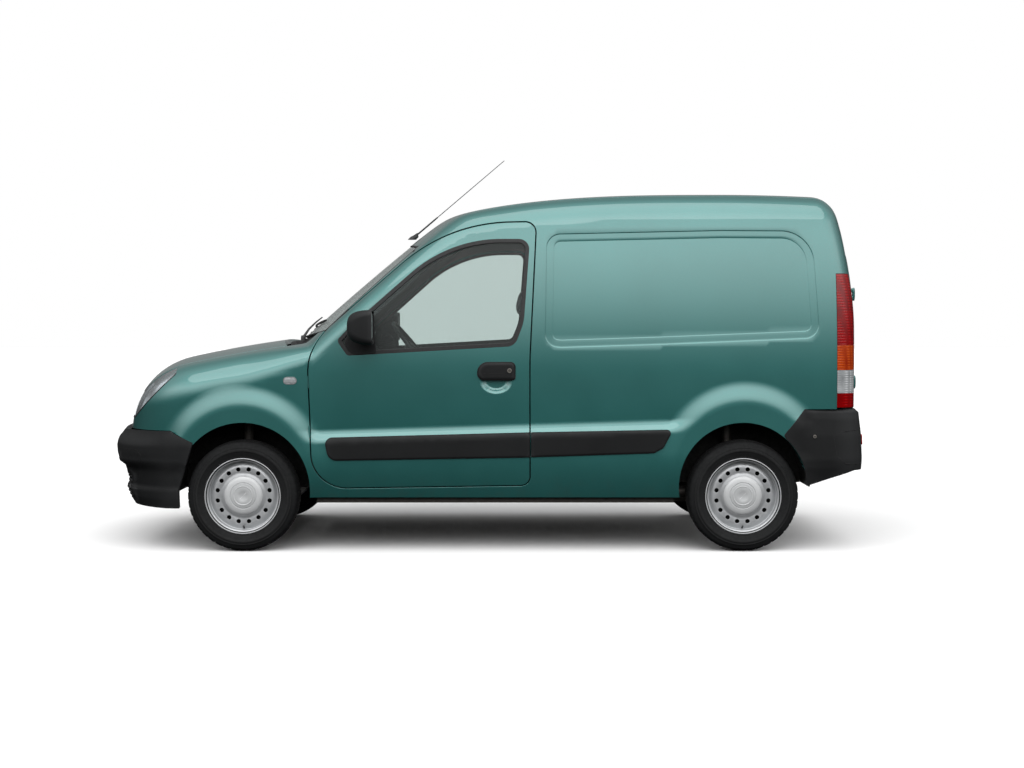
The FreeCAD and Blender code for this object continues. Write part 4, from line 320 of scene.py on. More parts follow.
class TopChart:
    """Bonnet, screen and roof: s runs along X and then down over the nose, t runs across."""

    def __init__(self, start_x, end_x, drop, level=skin):
        self.start_x = start_x
        self.end_x = end_x
        self.drop = drop
        self.level = level

    def rays(self, flat):
        s, t = flat[:, 0], flat[:, 1]
        x = np.clip(s, self.start_x, self.end_x)
        turn = (s - x) / FAN_SCALE
        origin = rows(x, t, top_height(x, t) - self.drop)
        return origin, rows(np.sin(turn), np.zeros_like(turn), np.cos(turn))

    def flat(self, p):
        x = np.clip(p[:, 0], self.start_x, self.end_x)
        base = top_height(x, p[:, 1]) - self.drop
        turn = np.arctan2(p[:, 0] - x, p[:, 2] - base)
        return rows(x + turn * FAN_SCALE, p[:, 1])


class EndChart:
    """Nose or tail: s runs across, t runs up, rays run along X."""

    def __init__(self, origin_x, way_x, level=skin):
        self.origin_x = origin_x
        self.way_x = way_x
        self.level = level

    def rays(self, flat):
        origin = rows(np.full(len(flat), self.origin_x), flat[:, 0], flat[:, 1])
        return origin, rows(np.full(len(flat), self.way_x), 0.0, 0.0)

    def flat(self, p):
        return p[:, 1:3].copy()


def from_side(points, level=skin, depth=0.0):
    """Points of the side view, carried out to the left flank."""
    points = np.asarray(points, float)
    origin = rows(points[:, 0], FLANK_RAY_Y, points[:, 1])
    return hit(origin, rows(np.zeros(len(points)), -1.0, 0.0), level, depth)


def from_top(points, drop=TOP_DROP, level=skin, depth=0.0):
    points = np.asarray(points, float)
    origin = rows(points[:, 0], points[:, 1], top_height(points[:, 0], points[:, 1]) - drop)
    return hit(origin, rows(np.zeros(len(points)), 0.0, 1.0), level, depth)


def from_screen(points, level=skin):
    return from_top(points, SCREEN_DROP, level)


def from_end(points, origin_x, way_x, level=skin, depth=0.0):
    points = np.asarray(points, float)
    origin = rows(np.full(len(points), origin_x), points[:, 0], points[:, 1])
    return hit(origin, rows(np.full(len(points), way_x), 0.0, 0.0), level, depth)


def both_ways(line):
    """A line and its mirror image, as curves."""
    return [(line, False), (line * (1, -1, 1), False)]


# %% [markdown]
# ## 4. Outlines with rounded corners
#
# An outline is a short list of corners, each with its radius. It can be grown or shrunk by a gap.

# %%
ARC_STEP = math.radians(6)


def outline(corners, offset=0.0, pitch=15 * MM):
    """Closed outline as evenly spaced points; positive offset grows it."""
    count = len(corners)
    area = sum(corners[i - 1][0] * corners[i][1] - corners[i][0] * corners[i - 1][1] for i in range(count))
    spin = 1.0 if area > 0 else -1.0
    lines = []
    for index in range(count):
        u0, v0 = corners[index][:2]
        u1, v1 = corners[(index + 1) % count][:2]
        length = math.hypot(u1 - u0, v1 - v0)
        way = ((u1 - u0) / length, (v1 - v0) / length)
        lines.append((u0 + way[1] * spin * offset, v0 - way[0] * spin * offset, way))
    points = []
    for index in range(count):
        u0, v0, way0 = lines[index - 1]
        u1, v1, way1 = lines[index]
        cross = way0[0] * way1[1] - way0[1] * way1[0]
        along = ((u1 - u0) * way1[1] - (v1 - v0) * way1[0]) / cross
        u, v = u0 + along * way0[0], v0 + along * way0[1]
        radius = corners[index][2]
        if radius > 0:
            radius = max(radius + (offset if cross * spin > 0 else -offset), 0.1 * MM)
        turn = math.acos(max(-1.0, min(1.0, way0[0] * way1[0] + way0[1] * way1[1])))
        if radius <= 0:
            points.append((u, v))
            continue
        back = radius * math.tan(turn / 2)
        start = (u - way0[0] * back, v - way0[1] * back)
        side = math.copysign(1.0, cross)
        centre = (start[0] - way0[1] * radius * side, start[1] + way0[0] * radius * side)
        pieces = max(2, int(math.ceil(max(turn / ARC_STEP, turn * radius / pitch))))
        for piece in range(pieces + 1):
            angle = side * turn * piece / pieces
            dx, dy = start[0] - centre[0], start[1] - centre[1]
            points.append((centre[0] + dx * math.cos(angle) - dy * math.sin(angle),
                           centre[1] + dx * math.sin(angle) + dy * math.cos(angle)))
    return filled(points, pitch, closed=True)


def filled(points, pitch=15 * MM, closed=False):
    """Adds points on long runs, and drops points that lie on each other."""
    result = []
    stops = list(points) + ([points[0]] if closed else [])
    for start, stop in zip(stops, stops[1:]):
        length = math.dist(start, stop)
        if length < 0.2 * MM:
            continue
        pieces = max(1, int(math.ceil(length / pitch)))
        for piece in range(pieces):
            share = piece / pieces
            result.append(tuple(a + (b - a) * share for a, b in zip(start, stop)))
    if not closed:
        result.append(tuple(stops[-1]))
    return np.array(result)


def circle(centre, radius, pitch=12 * MM):
    count = max(24, int(2 * math.pi * radius / pitch))
    turns = np.linspace(0, 2 * math.pi, count, endpoint=False)
    return rows(centre[0] + radius * np.cos(turns), centre[1] + radius * np.sin(turns))


def inside(points, polygon):
    """Which points lie inside a closed polygon."""
    x, y = points[:, 0], points[:, 1]
    result = np.zeros(len(points), bool)
    ends = np.roll(polygon, -1, axis=0)
    for (x0, y0), (x1, y1) in zip(polygon, ends):
        crosses = (y0 > y) != (y1 > y)
        if y1 != y0:
            result ^= crosses & (x < x0 + (y - y0) * (x1 - x0) / (y1 - y0))
    return result


def edge_distance(points, polygon, closed=True):
    """Distance from each point to the nearest run of a polygon."""
    nearest = np.full(len(points), 1e9)
    ends = np.roll(polygon, -1, axis=0)
    runs = list(zip(polygon, ends))
    for start, stop in runs if closed else runs[:-1]:
        way = stop - start
        share = np.clip(((points - start) @ way) / max(way @ way, 1e-12), 0, 1)
        nearest = np.minimum(nearest, np.linalg.norm(points - start - share[:, None] * way, axis=1))
    return nearest


# %% [markdown]
# ## 5. Making a panel
#
# `panel` cuts the flat sheet into triangles along the drawn curves, keeps the wanted ones, wraps them onto
# the skin, and turns a rounded hem inwards along every edge, down to an inner face. Shading normals come
# from the formula itself, which keeps long reflections smooth.

# %%
HEM_RADIUS = 1.6 * MM
HEM_ANGLES = (30, 60, 90)
PITCH = 22 * MM


def linked(name, mesh):
    """Puts a mesh into the scene under a name."""
    piece = bpy.data.objects.new(name, mesh)
    bpy.context.scene.collection.objects.link(piece)
    return piece


def mesh_object(name, points, faces):
    mesh = bpy.data.meshes.new(name)
    mesh.from_pydata([tuple(p) for p in points], [], [tuple(int(i) for i in f) for f in faces])
    mesh.update()
    mesh.polygons.foreach_set("use_smooth", [True] * len(mesh.polygons))
    return linked(name, mesh)


def edge_loops(triangles):
    """Closed loops of edges that belong to one triangle, in its own direction."""
    sides = np.concatenate([triangles[:, [0, 1]], triangles[:, [1, 2]], triangles[:, [2, 0]]])
    seen = set(map(tuple, sides))
    following = {}
    for start, stop in sides:
        if (stop, start) not in seen:
            following.setdefault(start, []).append(stop)
    loops = []
    while following:
        first = next(iter(following))
        loop = [first]
        while True:
            nexts = following.get(loop[-1])
            if not nexts:
                break
            after = nexts.pop()
            if not nexts:
                del following[loop[-1]]
            if after == first:
                break
            loop.append(after)
        if len(loop) > 2:
            loops.append(np.array(loop))
    return loops


def flat_triangles(curves, low, high, pitch):
    """Triangles of a flat sheet that follow the curves."""
    count_s = int((high[0] - low[0]) / pitch) + 1
    count_t = int((high[1] - low[1]) / pitch) + 1
    s, t = np.meshgrid(np.linspace(low[0], high[0], count_s + 1), np.linspace(low[1], high[1], count_t + 1))
    grid = rows(s.ravel(), t.ravel())
    for curve, closed in curves:
        grid = grid[edge_distance(grid, curve, closed) > 0.5 * pitch]
    points = [Vector(p) for p in grid]
    edges = []
    for curve, closed in curves:
        first = len(points)
        points += [Vector(p) for p in curve]
        count = len(curve)
        edges += [(first + i, first + (i + 1) % count) for i in range(count if closed else count - 1)]
    verts, _, faces, _, _, _ = delaunay_2d_cdt(points, edges, [], 0, 1e-6, False)
    return np.array([tuple(v) for v in verts]), np.array([f for f in faces if len(f) == 3])


def panel(chart, curves, keep, wall, pitch=PITCH, hem=HEM_RADIUS, relief=None, depth=0.0, margin=0.02):
    """A panel with a rounded hem and an inner face. Curves are points on the skin."""
    def level(p):
        value = chart.level(p) + depth
        return value + relief(p) if relief else value

    flats = [(chart.flat(np.asarray(curve)), closed) for curve, closed in curves]
    drawn = np.concatenate([flat for flat, _ in flats])
    flat, triangles = flat_triangles(flats, drawn.min(0) - margin, drawn.max(0) + margin, pitch)
    origin, way = chart.rays(flat)
    points = hit(origin, way, level)
    middles = points[triangles].mean(axis=1)
    triangles = triangles[keep(middles)]
    ways = way[triangles].mean(axis=1)
    facing = np.cross(points[triangles[:, 1]] - points[triangles[:, 0]],
                      points[triangles[:, 2]] - points[triangles[:, 0]])
    if (facing * ways).sum() < 0:
        triangles = triangles[:, ::-1]
    used, triangles = np.unique(triangles, return_inverse=True)
    triangles = triangles.reshape(-1, 3)
    points = points[used]
    return thick_sheet(points, normals_of(level, points), triangles, wall, hem)


def thick_sheet(points, normals, triangles, wall, hem=HEM_RADIUS):
    """Gives a sheet a rounded hem, side walls and an inner face."""
    faces = [tuple(t) for t in triangles]
    shades = [tuple(normals[i] for i in t) for t in triangles]
    all_points = [points]
    count = len(points)
    back = np.full(len(points), -1)
    interior = np.ones(len(points), bool)
    for loop in edge_loops(triangles):
        interior[loop] = False
        here = points[loop]
        normal = normals[loop]
        ahead = np.roll(here, -1, axis=0) - here
        behind = here - np.roll(here, 1, axis=0)
        ahead /= np.maximum(np.linalg.norm(ahead, axis=1, keepdims=True), 1e-12)
        behind /= np.maximum(np.linalg.norm(behind, axis=1, keepdims=True), 1e-12)
        out = np.cross(ahead + behind, normal)
        out /= np.maximum(np.linalg.norm(out, axis=1, keepdims=True), 1e-12)
        rings = []
        for turn in map(math.radians, HEM_ANGLES if hem > 0 else ()):
            rings.append((hem * math.sin(turn), hem * (1 - math.cos(turn)), turn))
        rings.append((hem, wall, math.pi / 2))
        previous, shade = loop, normal
        for outwards, inwards, angle in rings:
            index = np.arange(count, count + len(loop))
            count += len(loop)
            all_points.append(here + out * outwards - normal * inwards)
            turned = normal * math.cos(angle) + out * math.sin(angle)
            first = out if not hem else shade
            for i in range(len(loop)):
                j = (i + 1) % len(loop)
                faces.append((previous[j], previous[i], index[i], index[j]))
                shades.append((first[j], first[i], turned[i], turned[j]))
            previous, shade = index, turned
        back[loop] = previous
    back[interior] = np.arange(count, count + interior.sum())
    all_points.append((points - normals * wall)[interior])
    faces += [(back[a], back[c], back[b]) for a, b, c in triangles]
    shades += [(-normals[a], -normals[c], -normals[b]) for a, b, c in triangles]
    return np.concatenate(all_points), faces, shades


def made(name, sheet, side=-1):
    """Puts a sheet into the scene; side 1 makes its mirror image."""
    points, faces, shades = sheet
    if side > 0:
        points = points * (1, -1, 1)
        faces = [face[::-1] for face in faces]
        shades = [[normal * (1, -1, 1) for normal in shade[::-1]] for shade in shades]
    piece = mesh_object(name, points, faces)
    piece.data.normals_split_custom_set([tuple(n) for shade in shades for n in shade])
    return piece


def triangle_count(obj):
    return sum(len(p.vertices) - 2 for p in obj.data.polygons)


# %% [markdown]
# ## 6. Small makers for solid pieces
#
# Tubes follow a line, lathes turn a profile round a wheel's axis, lofts join rings of points and blocks
# are boxes with rounded edges. All of them are built straight from vertices.

# %%
SHARP_ANGLE = math.radians(35)


def unit(vectors):
    return vectors / np.maximum(np.linalg.norm(vectors, axis=-1, keepdims=True), 1e-12)


def finish_mesh(piece, angle=SHARP_ANGLE):
    piece.data.set_sharp_from_angle(angle=angle)
    return piece


def loft(name, rings, closed=False, caps=True, angle=SHARP_ANGLE):
    """Joins rings of points into one skin; the rings are closed on themselves."""
    rings = [np.asarray(ring, float) for ring in rings]
    size = len(rings[0])
    faces = []
    pairs = list(range(len(rings) - 1)) + ([len(rings) - 1] if closed else [])
    for at in pairs:
        after = (at + 1) % len(rings)
        for i in range(size):
            j = (i + 1) % size
            faces.append((at * size + i, at * size + j, after * size + j, after * size + i))
    if caps and not closed:
        faces.append(tuple(range(size - 1, -1, -1)))
        last = (len(rings) - 1) * size
        faces.append(tuple(range(last, last + size)))
    piece = mesh_object(name, np.concatenate(rings), faces)
    outwards(piece)
    return finish_mesh(piece, angle)


def outwards(piece):
    """Turns all faces to look outwards."""
    work = bmesh.new()
    work.from_mesh(piece.data)
    bmesh.ops.recalc_face_normals(work, faces=work.faces)
    work.to_mesh(piece.data)
    work.free()


def tube(name, line, radius, closed=False, sides=10, flat=1.0, up=(0, 0, 1)):
    """A round or flattened tube along a line of points."""
    line = np.asarray(line, float)
    radius = np.broadcast_to(radius, len(line))
    if closed:
        ahead = unit(np.roll(line, -1, axis=0) - np.roll(line, 1, axis=0))
    else:
        ahead = unit(np.gradient(line, axis=0))
    side = np.asarray(up, float)
    rings = []
    turns = np.linspace(0, 2 * math.pi, sides, endpoint=False)
    for point, way, size in zip(line, ahead, radius):
        side = side - way * (side @ way)
        if np.linalg.norm(side) < 1e-6:
            side = np.cross(way, (1.0, 0.3, 0.2))
        side = side / np.linalg.norm(side)
        other = np.cross(way, side)
        rings.append([point + size * (math.cos(t) * side * flat + math.sin(t) * other) for t in turns])
    return loft(name, rings, closed=closed, angle=math.radians(80 if sides > 6 else 35))


def skin_tube(name, line, radius, closed=False, depth=0.0, level=skin, sides=8, flat=1.0):
    """A tube along points of the skin, pushed in by a depth."""
    line = np.asarray(line, float)
    line = line - normals_of(level, line) * depth
    return tube(name, line, radius, closed, sides, flat)


def block(name, low, high, radius, segments=3):
    """A box with rounded edges."""
    work = bmesh.new()
    bmesh.ops.create_cube(work, size=1.0)
    low, high = Vector(low), Vector(high)
    size = high - low
    bmesh.ops.scale(work, vec=size, verts=work.verts)
    bmesh.ops.translate(work, vec=(low + high) / 2, verts=work.verts)
    bmesh.ops.bevel(work, geom=work.edges[:], offset=min(radius, 0.45 * min(size)), segments=segments,
                    profile=0.5, affect="EDGES")
    mesh = bpy.data.meshes.new(name)
    work.to_mesh(mesh)
    work.free()
    mesh.polygons.foreach_set("use_smooth", [True] * len(mesh.polygons))
    return finish_mesh(linked(name, mesh))


def lathe(name, profile, centre, steps=96, turn_axis="y", out=1.0, closed=True):
    """Turns a profile (radius, distance along the axis) round a wheel's axis."""
    turns = np.linspace(0, 2 * math.pi, steps, endpoint=False)
    rings = []
    for turn in turns:
        ring = []
        for radius, along in profile:
            across = (radius * math.cos(turn), radius * math.sin(turn))
            if turn_axis == "y":
                ring.append((centre[0] + across[0], centre[1] + out * along, centre[2] + across[1]))
            else:
                ring.append((centre[0] + across[0], centre[1] + across[1], centre[2] + along))
        rings.append(ring)
    if closed:
        return loft(name, rings, closed=True, caps=False)
    size = len(profile)
    faces = []
    for at in range(steps):
        after = (at + 1) % steps
        for i in range(size - 1):
            faces.append((at * size + i, at * size + i + 1, after * size + i + 1, after * size + i))
    piece = mesh_object(name, np.concatenate([np.array(ring) for ring in rings]), faces)
    outwards(piece)
    return finish_mesh(piece)


def in_metres(profile_mm, shift=0.0):
    """A profile given in millimetres, moved along its axis by a shift in metres."""
    return [(radius * MM, shift + along_axis * MM) for radius, along_axis in profile_mm]


def joined(name, pieces):
    """One object from several that share a material."""
    work = bmesh.new()
    for piece in pieces:
        work.from_mesh(piece.data)
    mesh = bpy.data.meshes.new(name)
    work.to_mesh(mesh)
    work.free()
    for piece in pieces:
        bpy.data.objects.remove(piece)
    return linked(name, mesh)


def mirrored_piece(piece, name):
    mesh = piece.data.copy()
    mesh.transform(Matrix.Scale(-1, 4, (0, 1, 0)))
    mesh.flip_normals()
    return linked(name, mesh)


PIECES = []
SIDES = (("left", -1), ("right", 1))


def place(piece, body, slot, finish=None, replaces=()):
    """Rides a piece on its body and remembers which finish it takes."""
    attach(piece, body)
    if replaces:
        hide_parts(*replaces)
    PIECES.append((piece, finish or slot))
    return piece


def place_pair(sheet, name, body, slot, finish=None, replaces=""):
    """The same sheet on both sides of the van."""
    for word, side in SIDES:
        nodes = tuple(n.format(word) for n in replaces.split()) if replaces else ()
        place(made(f"{name}_{word}", sheet, side), body.format(word), slot, finish, nodes)


def place_twice(piece, name, body, slot, finish=None):
    other = mirrored_piece(piece, f"{name}_right")
    piece.name = f"{name}_left"
    for word, side_piece in (("left", piece), ("right", other)):
        place(side_piece, body.format(word), slot, finish)


# %% [markdown]
# ## 7. Painted panels
#
# Every shut line, arch and window is an outline in the side, top or rear view, the same one that the
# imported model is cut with.

# %%
SIDE_WALL = 48 * MM
ROOF_WALL = 30 * MM
WING_WALL = 22 * MM
BONNET_WALL = 26 * MM
DOOR_SKIN = 20 * MM
DOOR_WALL = 68 * MM
DOOR_STEP = 15 * MM
REAR_DOOR_WALL = 45 * MM
GLASS_SINK = 4 * MM
GLASS_WALL = 5 * MM
ROOF_SEAM_Y = 585 * MM
ROOF_GROOVE = 2.5 * MM
ROOF_LOWEST_Z = 1.6
BONNET_SEAM_Y = 610 * MM
SCREEN_FOOT_X = FRONT_AXLE_X + 242 * MM
SCREEN_FOOT_Y = 700 * MM
SCREEN_FOOT_BOW_RADIUS = 1.315
SCREEN_HEAD_Y = 590 * MM
WING_TOP_REAR_X = FRONT_AXLE_X + 455 * MM
SILL_BOTTOM_Z = 286 * MM
TAIL_TURN_X = TAIL_SKIN_X - 147 * MM
NOSE_TURN_X = NOSE_SKIN_X + 335 * MM
BONNET_REAR_X = FRONT_AXLE_X + 140 * MM

DOOR_FRONT_X = FRONT_AXLE_X + 343.5 * MM
DOOR_LENGTH = 1183 * MM
DOOR_BOTTOM_Z = 335 * MM
DOOR_HEIGHT = 1381 * MM
DOOR_SHARES = (
    (0.025, 0.0, 0.152),
    (0.971, 0.012, 0.038),
    (0.970, 0.482, 2.10),
    (1.0, 1.0, 0.046),
    (0.611, 0.994, 0.76),
    (0.0, 0.538, 0.279),
)
WINDOW_SHARES = (
    (0.175, 0.4975, 0.02),
    (0.905, 0.533, 0.05),
    (0.945, 0.62, 0.2),
    (0.9725, 0.935, 0.045),
    (0.62, 0.935, 0.60),
    (0.18, 0.60, 0.10),
    (0.13, 0.553, 0.02),
)
WING_FOOT_X = DOOR_FRONT_X + 0.1671 * DOOR_LENGTH
DOOR_MIDDLE_Z = DOOR_BOTTOM_Z + DOOR_HEIGHT / 2


def on_door(shares):
    return [(DOOR_FRONT_X + u * DOOR_LENGTH, DOOR_BOTTOM_Z + v * DOOR_HEIGHT, r * DOOR_LENGTH)
            for u, v, r in shares]


DOOR_CORNERS = on_door(DOOR_SHARES)
WINDOW_CORNERS = on_door(WINDOW_SHARES)
HEM = HEM_RADIUS
OUTSIDE = SHUT_GAP + HEM


def screen_outline(offset=0.0):
    """Plan outline of the windscreen; both long edges bow forwards."""
    ys = np.linspace(-1, 1, 61)
    foot_y = ys * (SCREEN_FOOT_Y + offset)
    head_y = -ys * (SCREEN_HEAD_Y + offset)
    foot = rows(SCREEN_FOOT_X - offset + arc_drop(foot_y, SCREEN_FOOT_BOW_RADIUS), foot_y)
    head = rows(HEADER_X + offset + arc_drop(head_y, PLAN_BOW_RADIUS), head_y)
    return filled([tuple(p) for p in np.concatenate([foot, head])], 20 * MM, closed=True)


BONNET_FRONT = [
    (0.0, 800 * MM, 0.0),
    (-420 * MM, 822 * MM, 0.25),
    (-540 * MM, 870 * MM, 0.15),
    (-BONNET_SEAM_Y, 945 * MM, 0.06),
    (-BONNET_SEAM_Y, ROOF_Z, 0.0),
    (BONNET_SEAM_Y, ROOF_Z, 0.0),
    (BONNET_SEAM_Y, 945 * MM, 0.06),
    (540 * MM, 870 * MM, 0.15),
    (420 * MM, 822 * MM, 0.25),
]
BONNET_SIDE_START_Z = 950 * MM

LAMP_INNER_Y = 450 * MM
LAMP_BOTTOM_Z = 690 * MM
LAMP_FOOT_X = NOSE_X + 175 * MM
LAMP_TAIL_X = NOSE_X + 423 * MM
LAMP_TAIL_Z = 925 * MM
AHEAD_X = NOSE_X - 60 * MM
HEADLAMP_CORNERS = [
    (AHEAD_X, LAMP_BOTTOM_Z, 0.0),
    (LAMP_FOOT_X, LAMP_BOTTOM_Z, 0.03),
    (LAMP_TAIL_X, LAMP_TAIL_Z, 0.02),
    (LAMP_TAIL_X - 20 * MM, 1.005, 0.0),
    (AHEAD_X, 1.005, 0.0),
]
BUMPER_TOP_Z = 630 * MM
BUMPER_BOTTOM_Z = 228 * MM
FRONT_BUMPER_REAR_X = FRONT_AXLE_X - 325 * MM
BUMPER_HORN = 77 * MM
FRONT_BUMPER_CORNERS = [
    (AHEAD_X, BUMPER_BOTTOM_Z, 0.0),
    (FRONT_BUMPER_REAR_X, BUMPER_BOTTOM_Z, 0.0),
    (FRONT_BUMPER_REAR_X, 330 * MM, 0.0),
    (FRONT_BUMPER_REAR_X + BUMPER_HORN, BUMPER_TOP_Z - 60 * MM, 0.0),
    (FRONT_BUMPER_REAR_X - 0.6 * BUMPER_HORN, BUMPER_TOP_Z, 0.0),
    (AHEAD_X, BUMPER_TOP_Z, 0.0),
]

REAR_DOOR_CORNERS = [
    (-655 * MM, 756 * MM, 60 * MM),
    (655 * MM, 756 * MM, 60 * MM),
    (600 * MM, 1772 * MM, 60 * MM),
    (-600 * MM, 1772 * MM, 60 * MM),
]
REAR_SPLIT_Y = 140 * MM
REAR_WINDOW_INSET = 95 * MM
TAIL_LAMP_X = TAIL_X - 176.5 * MM
TAIL_LAMP_HIGH_Z = 1446 * MM
TAIL_LAMP_INNER_Y = 706 * MM
REAR_BUMPER_FRONT_X = REAR_AXLE_X + 318 * MM
REAR_BUMPER_TOP_Z = 745 * MM


def side_of(p):
    return p[:, [0, 2]]


def end_of(p):
    return p[:, [1, 2]]


def plan_of(p):
    return p[:, [0, 1]]


def arch_points(which, grow):
    x, z, radius = ARCHES[which]
    return circle((x, z), radius + grow)


def bonnet_seam(offset):
    """Left seam between bonnet and wing, from the nose back to the windscreen."""
    front = outline(BONNET_FRONT, offset)
    front = front[(front[:, 1] < BONNET_SIDE_START_Z) & (front[:, 0] <= 0)]
    front = front[np.argsort(-front[:, 0] + 1e-3 * front[:, 1])]
    low = from_end(front, NOSE_TURN_X, -1.0)
    xs = np.arange(low[-1][0] + 12 * MM, SCREEN_FOOT_X + 0.20, 15 * MM)
    side = from_screen(rows(xs, np.full(len(xs), -BONNET_SEAM_Y - offset)))
    return np.concatenate([low, side])


def along(chart, flats):
    origin, way = chart.rays(np.asarray(flats, float))
    return hit(origin, way, chart.level)


# Lengths that only the meshing uses: how far curves and rows of points run on past the edge of their
# panel, and the planes that keep what belongs to a panel from what lies elsewhere on the same skin
OVERRUN = 0.02
CREASE_OVERRUN = 0.01
TAIL_LAMP_REACH = 0.33
BUMPER_LINE_REACH = 0.42
LAMP_FOOT_REACH = 0.30
NOSE_LINE_REACH = 0.35
FLARE_NOSE_REACH = 0.16
WING_NOSE_REACH = 0.3
BONNET_ROWS_REACH = 0.09
PAST_TAIL = 0.06
TAIL_START_X = 1.5
NOSE_ROWS_TOP_Z = 0.86
LAMP_LINE_TOP_Z = 0.99
LAMP_CUT_Z = 0.97
LAMP_NOSE_CUT_Z = 0.93
ROOF_SIDE_LOW_Z = 1.15
SCREEN_SIDE_Y = 0.62
FLANK_INNER_Y = 0.70
FLANK_INNER_TOP_Z = 0.9
WING_INNER_Y = 0.40
DISC_ROWS_HALF = 0.19
# Half the width of a vent in the scuttle, and its corner
VENT_HALF = 0.021
VENT_CORNER = 0.005


def upright(chart, x, z0, z1, pitch=15 * MM):
    """A line of constant X up the flank."""
    zs = np.linspace(z0, z1, max(3, int(abs(z1 - z0) / pitch)))
    return from_side(rows(np.full(len(zs), x), zs), chart.level)


def level_line(chart, z, s0, s1, pitch=15 * MM):
    """A line of constant height along the flank and round its corner."""
    s = np.linspace(s0, s1, max(3, int(abs(s1 - s0) / pitch)))
    x = np.clip(s, chart.start_x, chart.end_x)
    return along(chart, rows(s, z - chart.shoulder(x)))


CABIN = SideChart(FRONT_AXLE_X + 262 * MM, TAIL_TURN_X, 0.0)
WING = SideChart(NOSE_TURN_X, FRONT_AXLE_X + 560 * MM, 0.0)
DOOR = SideChart(-3.0, 3.0, 0.0)

# Pressed recess of the rear quarter and the bowl behind the door handle, in the side view
QUARTER_CORNERS = [
    (0.3275, 1.070, 0.07),
    (0.412, 1.061, 0.0),
    (0.926, 1.077, 0.6),
    (1.752, 1.110, 0.075),
    (1.722, 1.671, 0.17),
    (1.252, 1.674, 0.0),
    (0.3375, 1.654, 0.075),
]
QUARTER_STEP = 2.0 * MM
QUARTER_STEP_WIDTH = 5 * MM
QUARTER_SLOPE = 38 * MM
BOWL_CENTRE = (0.077, 0.893)
BOWL_RADII = (0.088, 0.070)
BOWL_DEPTH = 17 * MM
BOWL_SHARES = (1.02, 0.93, 0.84, 0.75, 0.66, 0.55)
QUARTER_POINTS = outline(QUARTER_CORNERS)


def quarter_relief(p):
    flat = side_of(p)
    near = (flat[:, 0] > 0.2) & (flat[:, 0] < 1.85) & (flat[:, 1] > 1.0) & (flat[:, 1] < 1.75)
    result = np.zeros(len(p))
    if near.any():
        picked = flat[near]
        distance = edge_distance(picked, QUARTER_POINTS)
        distance = np.where(inside(picked, QUARTER_POINTS), distance, 0.0)
        outer = step(distance / QUARTER_STEP_WIDTH)
        inner = step((distance - QUARTER_SLOPE) / QUARTER_STEP_WIDTH)
        result[near] = QUARTER_STEP * (outer + np.clip(distance / QUARTER_SLOPE, 0, 1) + 0.6 * inner)
    return result


def bowl_relief(p):
    u = (p[:, 0] - BOWL_CENTRE[0]) / BOWL_RADII[0]
    v = (p[:, 2] - BOWL_CENTRE[1]) / BOWL_RADII[1]
    reach = np.hypot(u, v)
    return BOWL_DEPTH * step((1 - reach) / 0.45)


door_gap = outline(DOOR_CORNERS, OUTSIDE)
door_gap_skin = from_side(door_gap)
screen_gap = screen_outline(OUTSIDE)
screen_gap_skin = from_screen(screen_gap)
rear_door_gap = outline(REAR_DOOR_CORNERS, OUTSIDE)
rear_door_gap_skin = from_end(rear_door_gap, REAR_AXLE_X, 1.0)
roof_line_y = -ROOF_SEAM_Y - ROOF_GROOVE - HEM


def roof_seam_line(y):
    """The seam between roof and flank, back and down to the rear doors."""
    xs = np.arange(HEADER_X + 60 * MM, TAIL_TURN_X, 20 * MM)
    top = from_top(rows(xs, np.full(len(xs), y)))
    turns = np.linspace(0.05, math.pi / 2 + 0.35, 14)
    centre_z = top_height(np.array([TAIL_TURN_X]), np.array([y]))[0] - TOP_DROP
    origin = rows(np.full(len(turns), TAIL_TURN_X), y, centre_z)
    over = hit(origin, rows(np.sin(turns), 0.0, np.cos(turns)), skin)
    return np.concatenate([top, over])


CREASE_SHARES = (-0.06, 0.1, 0.26, 0.42, 0.58, 0.74, 0.9, 1.06)
FLARE_SHARES = (-0.05, 0.12, 0.28, 0.44, 0.6, 0.76, 0.92, 1.08)
QUARTER_SHARES = (0.0, 0.033, 0.066, 0.1, 0.132, 0.3, 0.65, 1.0, 1.033, 1.066, 1.1, 1.132)


def crease_lines(start_x, end_x):
    """Rows of mesh along the crease, where the skin turns most."""
    xs = np.arange(start_x, end_x, 15 * MM)
    return [(from_side(rows(xs, CREASE_Z + CREASE_RISE_SHARE * xs - share * CREASE_HEIGHT)), False)
            for share in CREASE_SHARES]


def flare_rings(which):
    """Rows of mesh round a wheel arch flare."""
    x, z = FLARE_CENTRES[which]
    lines = []
    for share in FLARE_SHARES:
        ring = circle((x, z), FLARE_RADIUS - share * FLARE_WIDTH, 14 * MM)
        start = np.argmin(ring[:, 1])
        ring = np.roll(ring, -start, axis=0)
        ring = ring[(ring[:, 1] > SILL_BOTTOM_Z - 10 * MM) & (ring[:, 0] > NOSE_X + FLARE_NOSE_REACH)]
        lines.append((from_side(ring), False))
    return lines


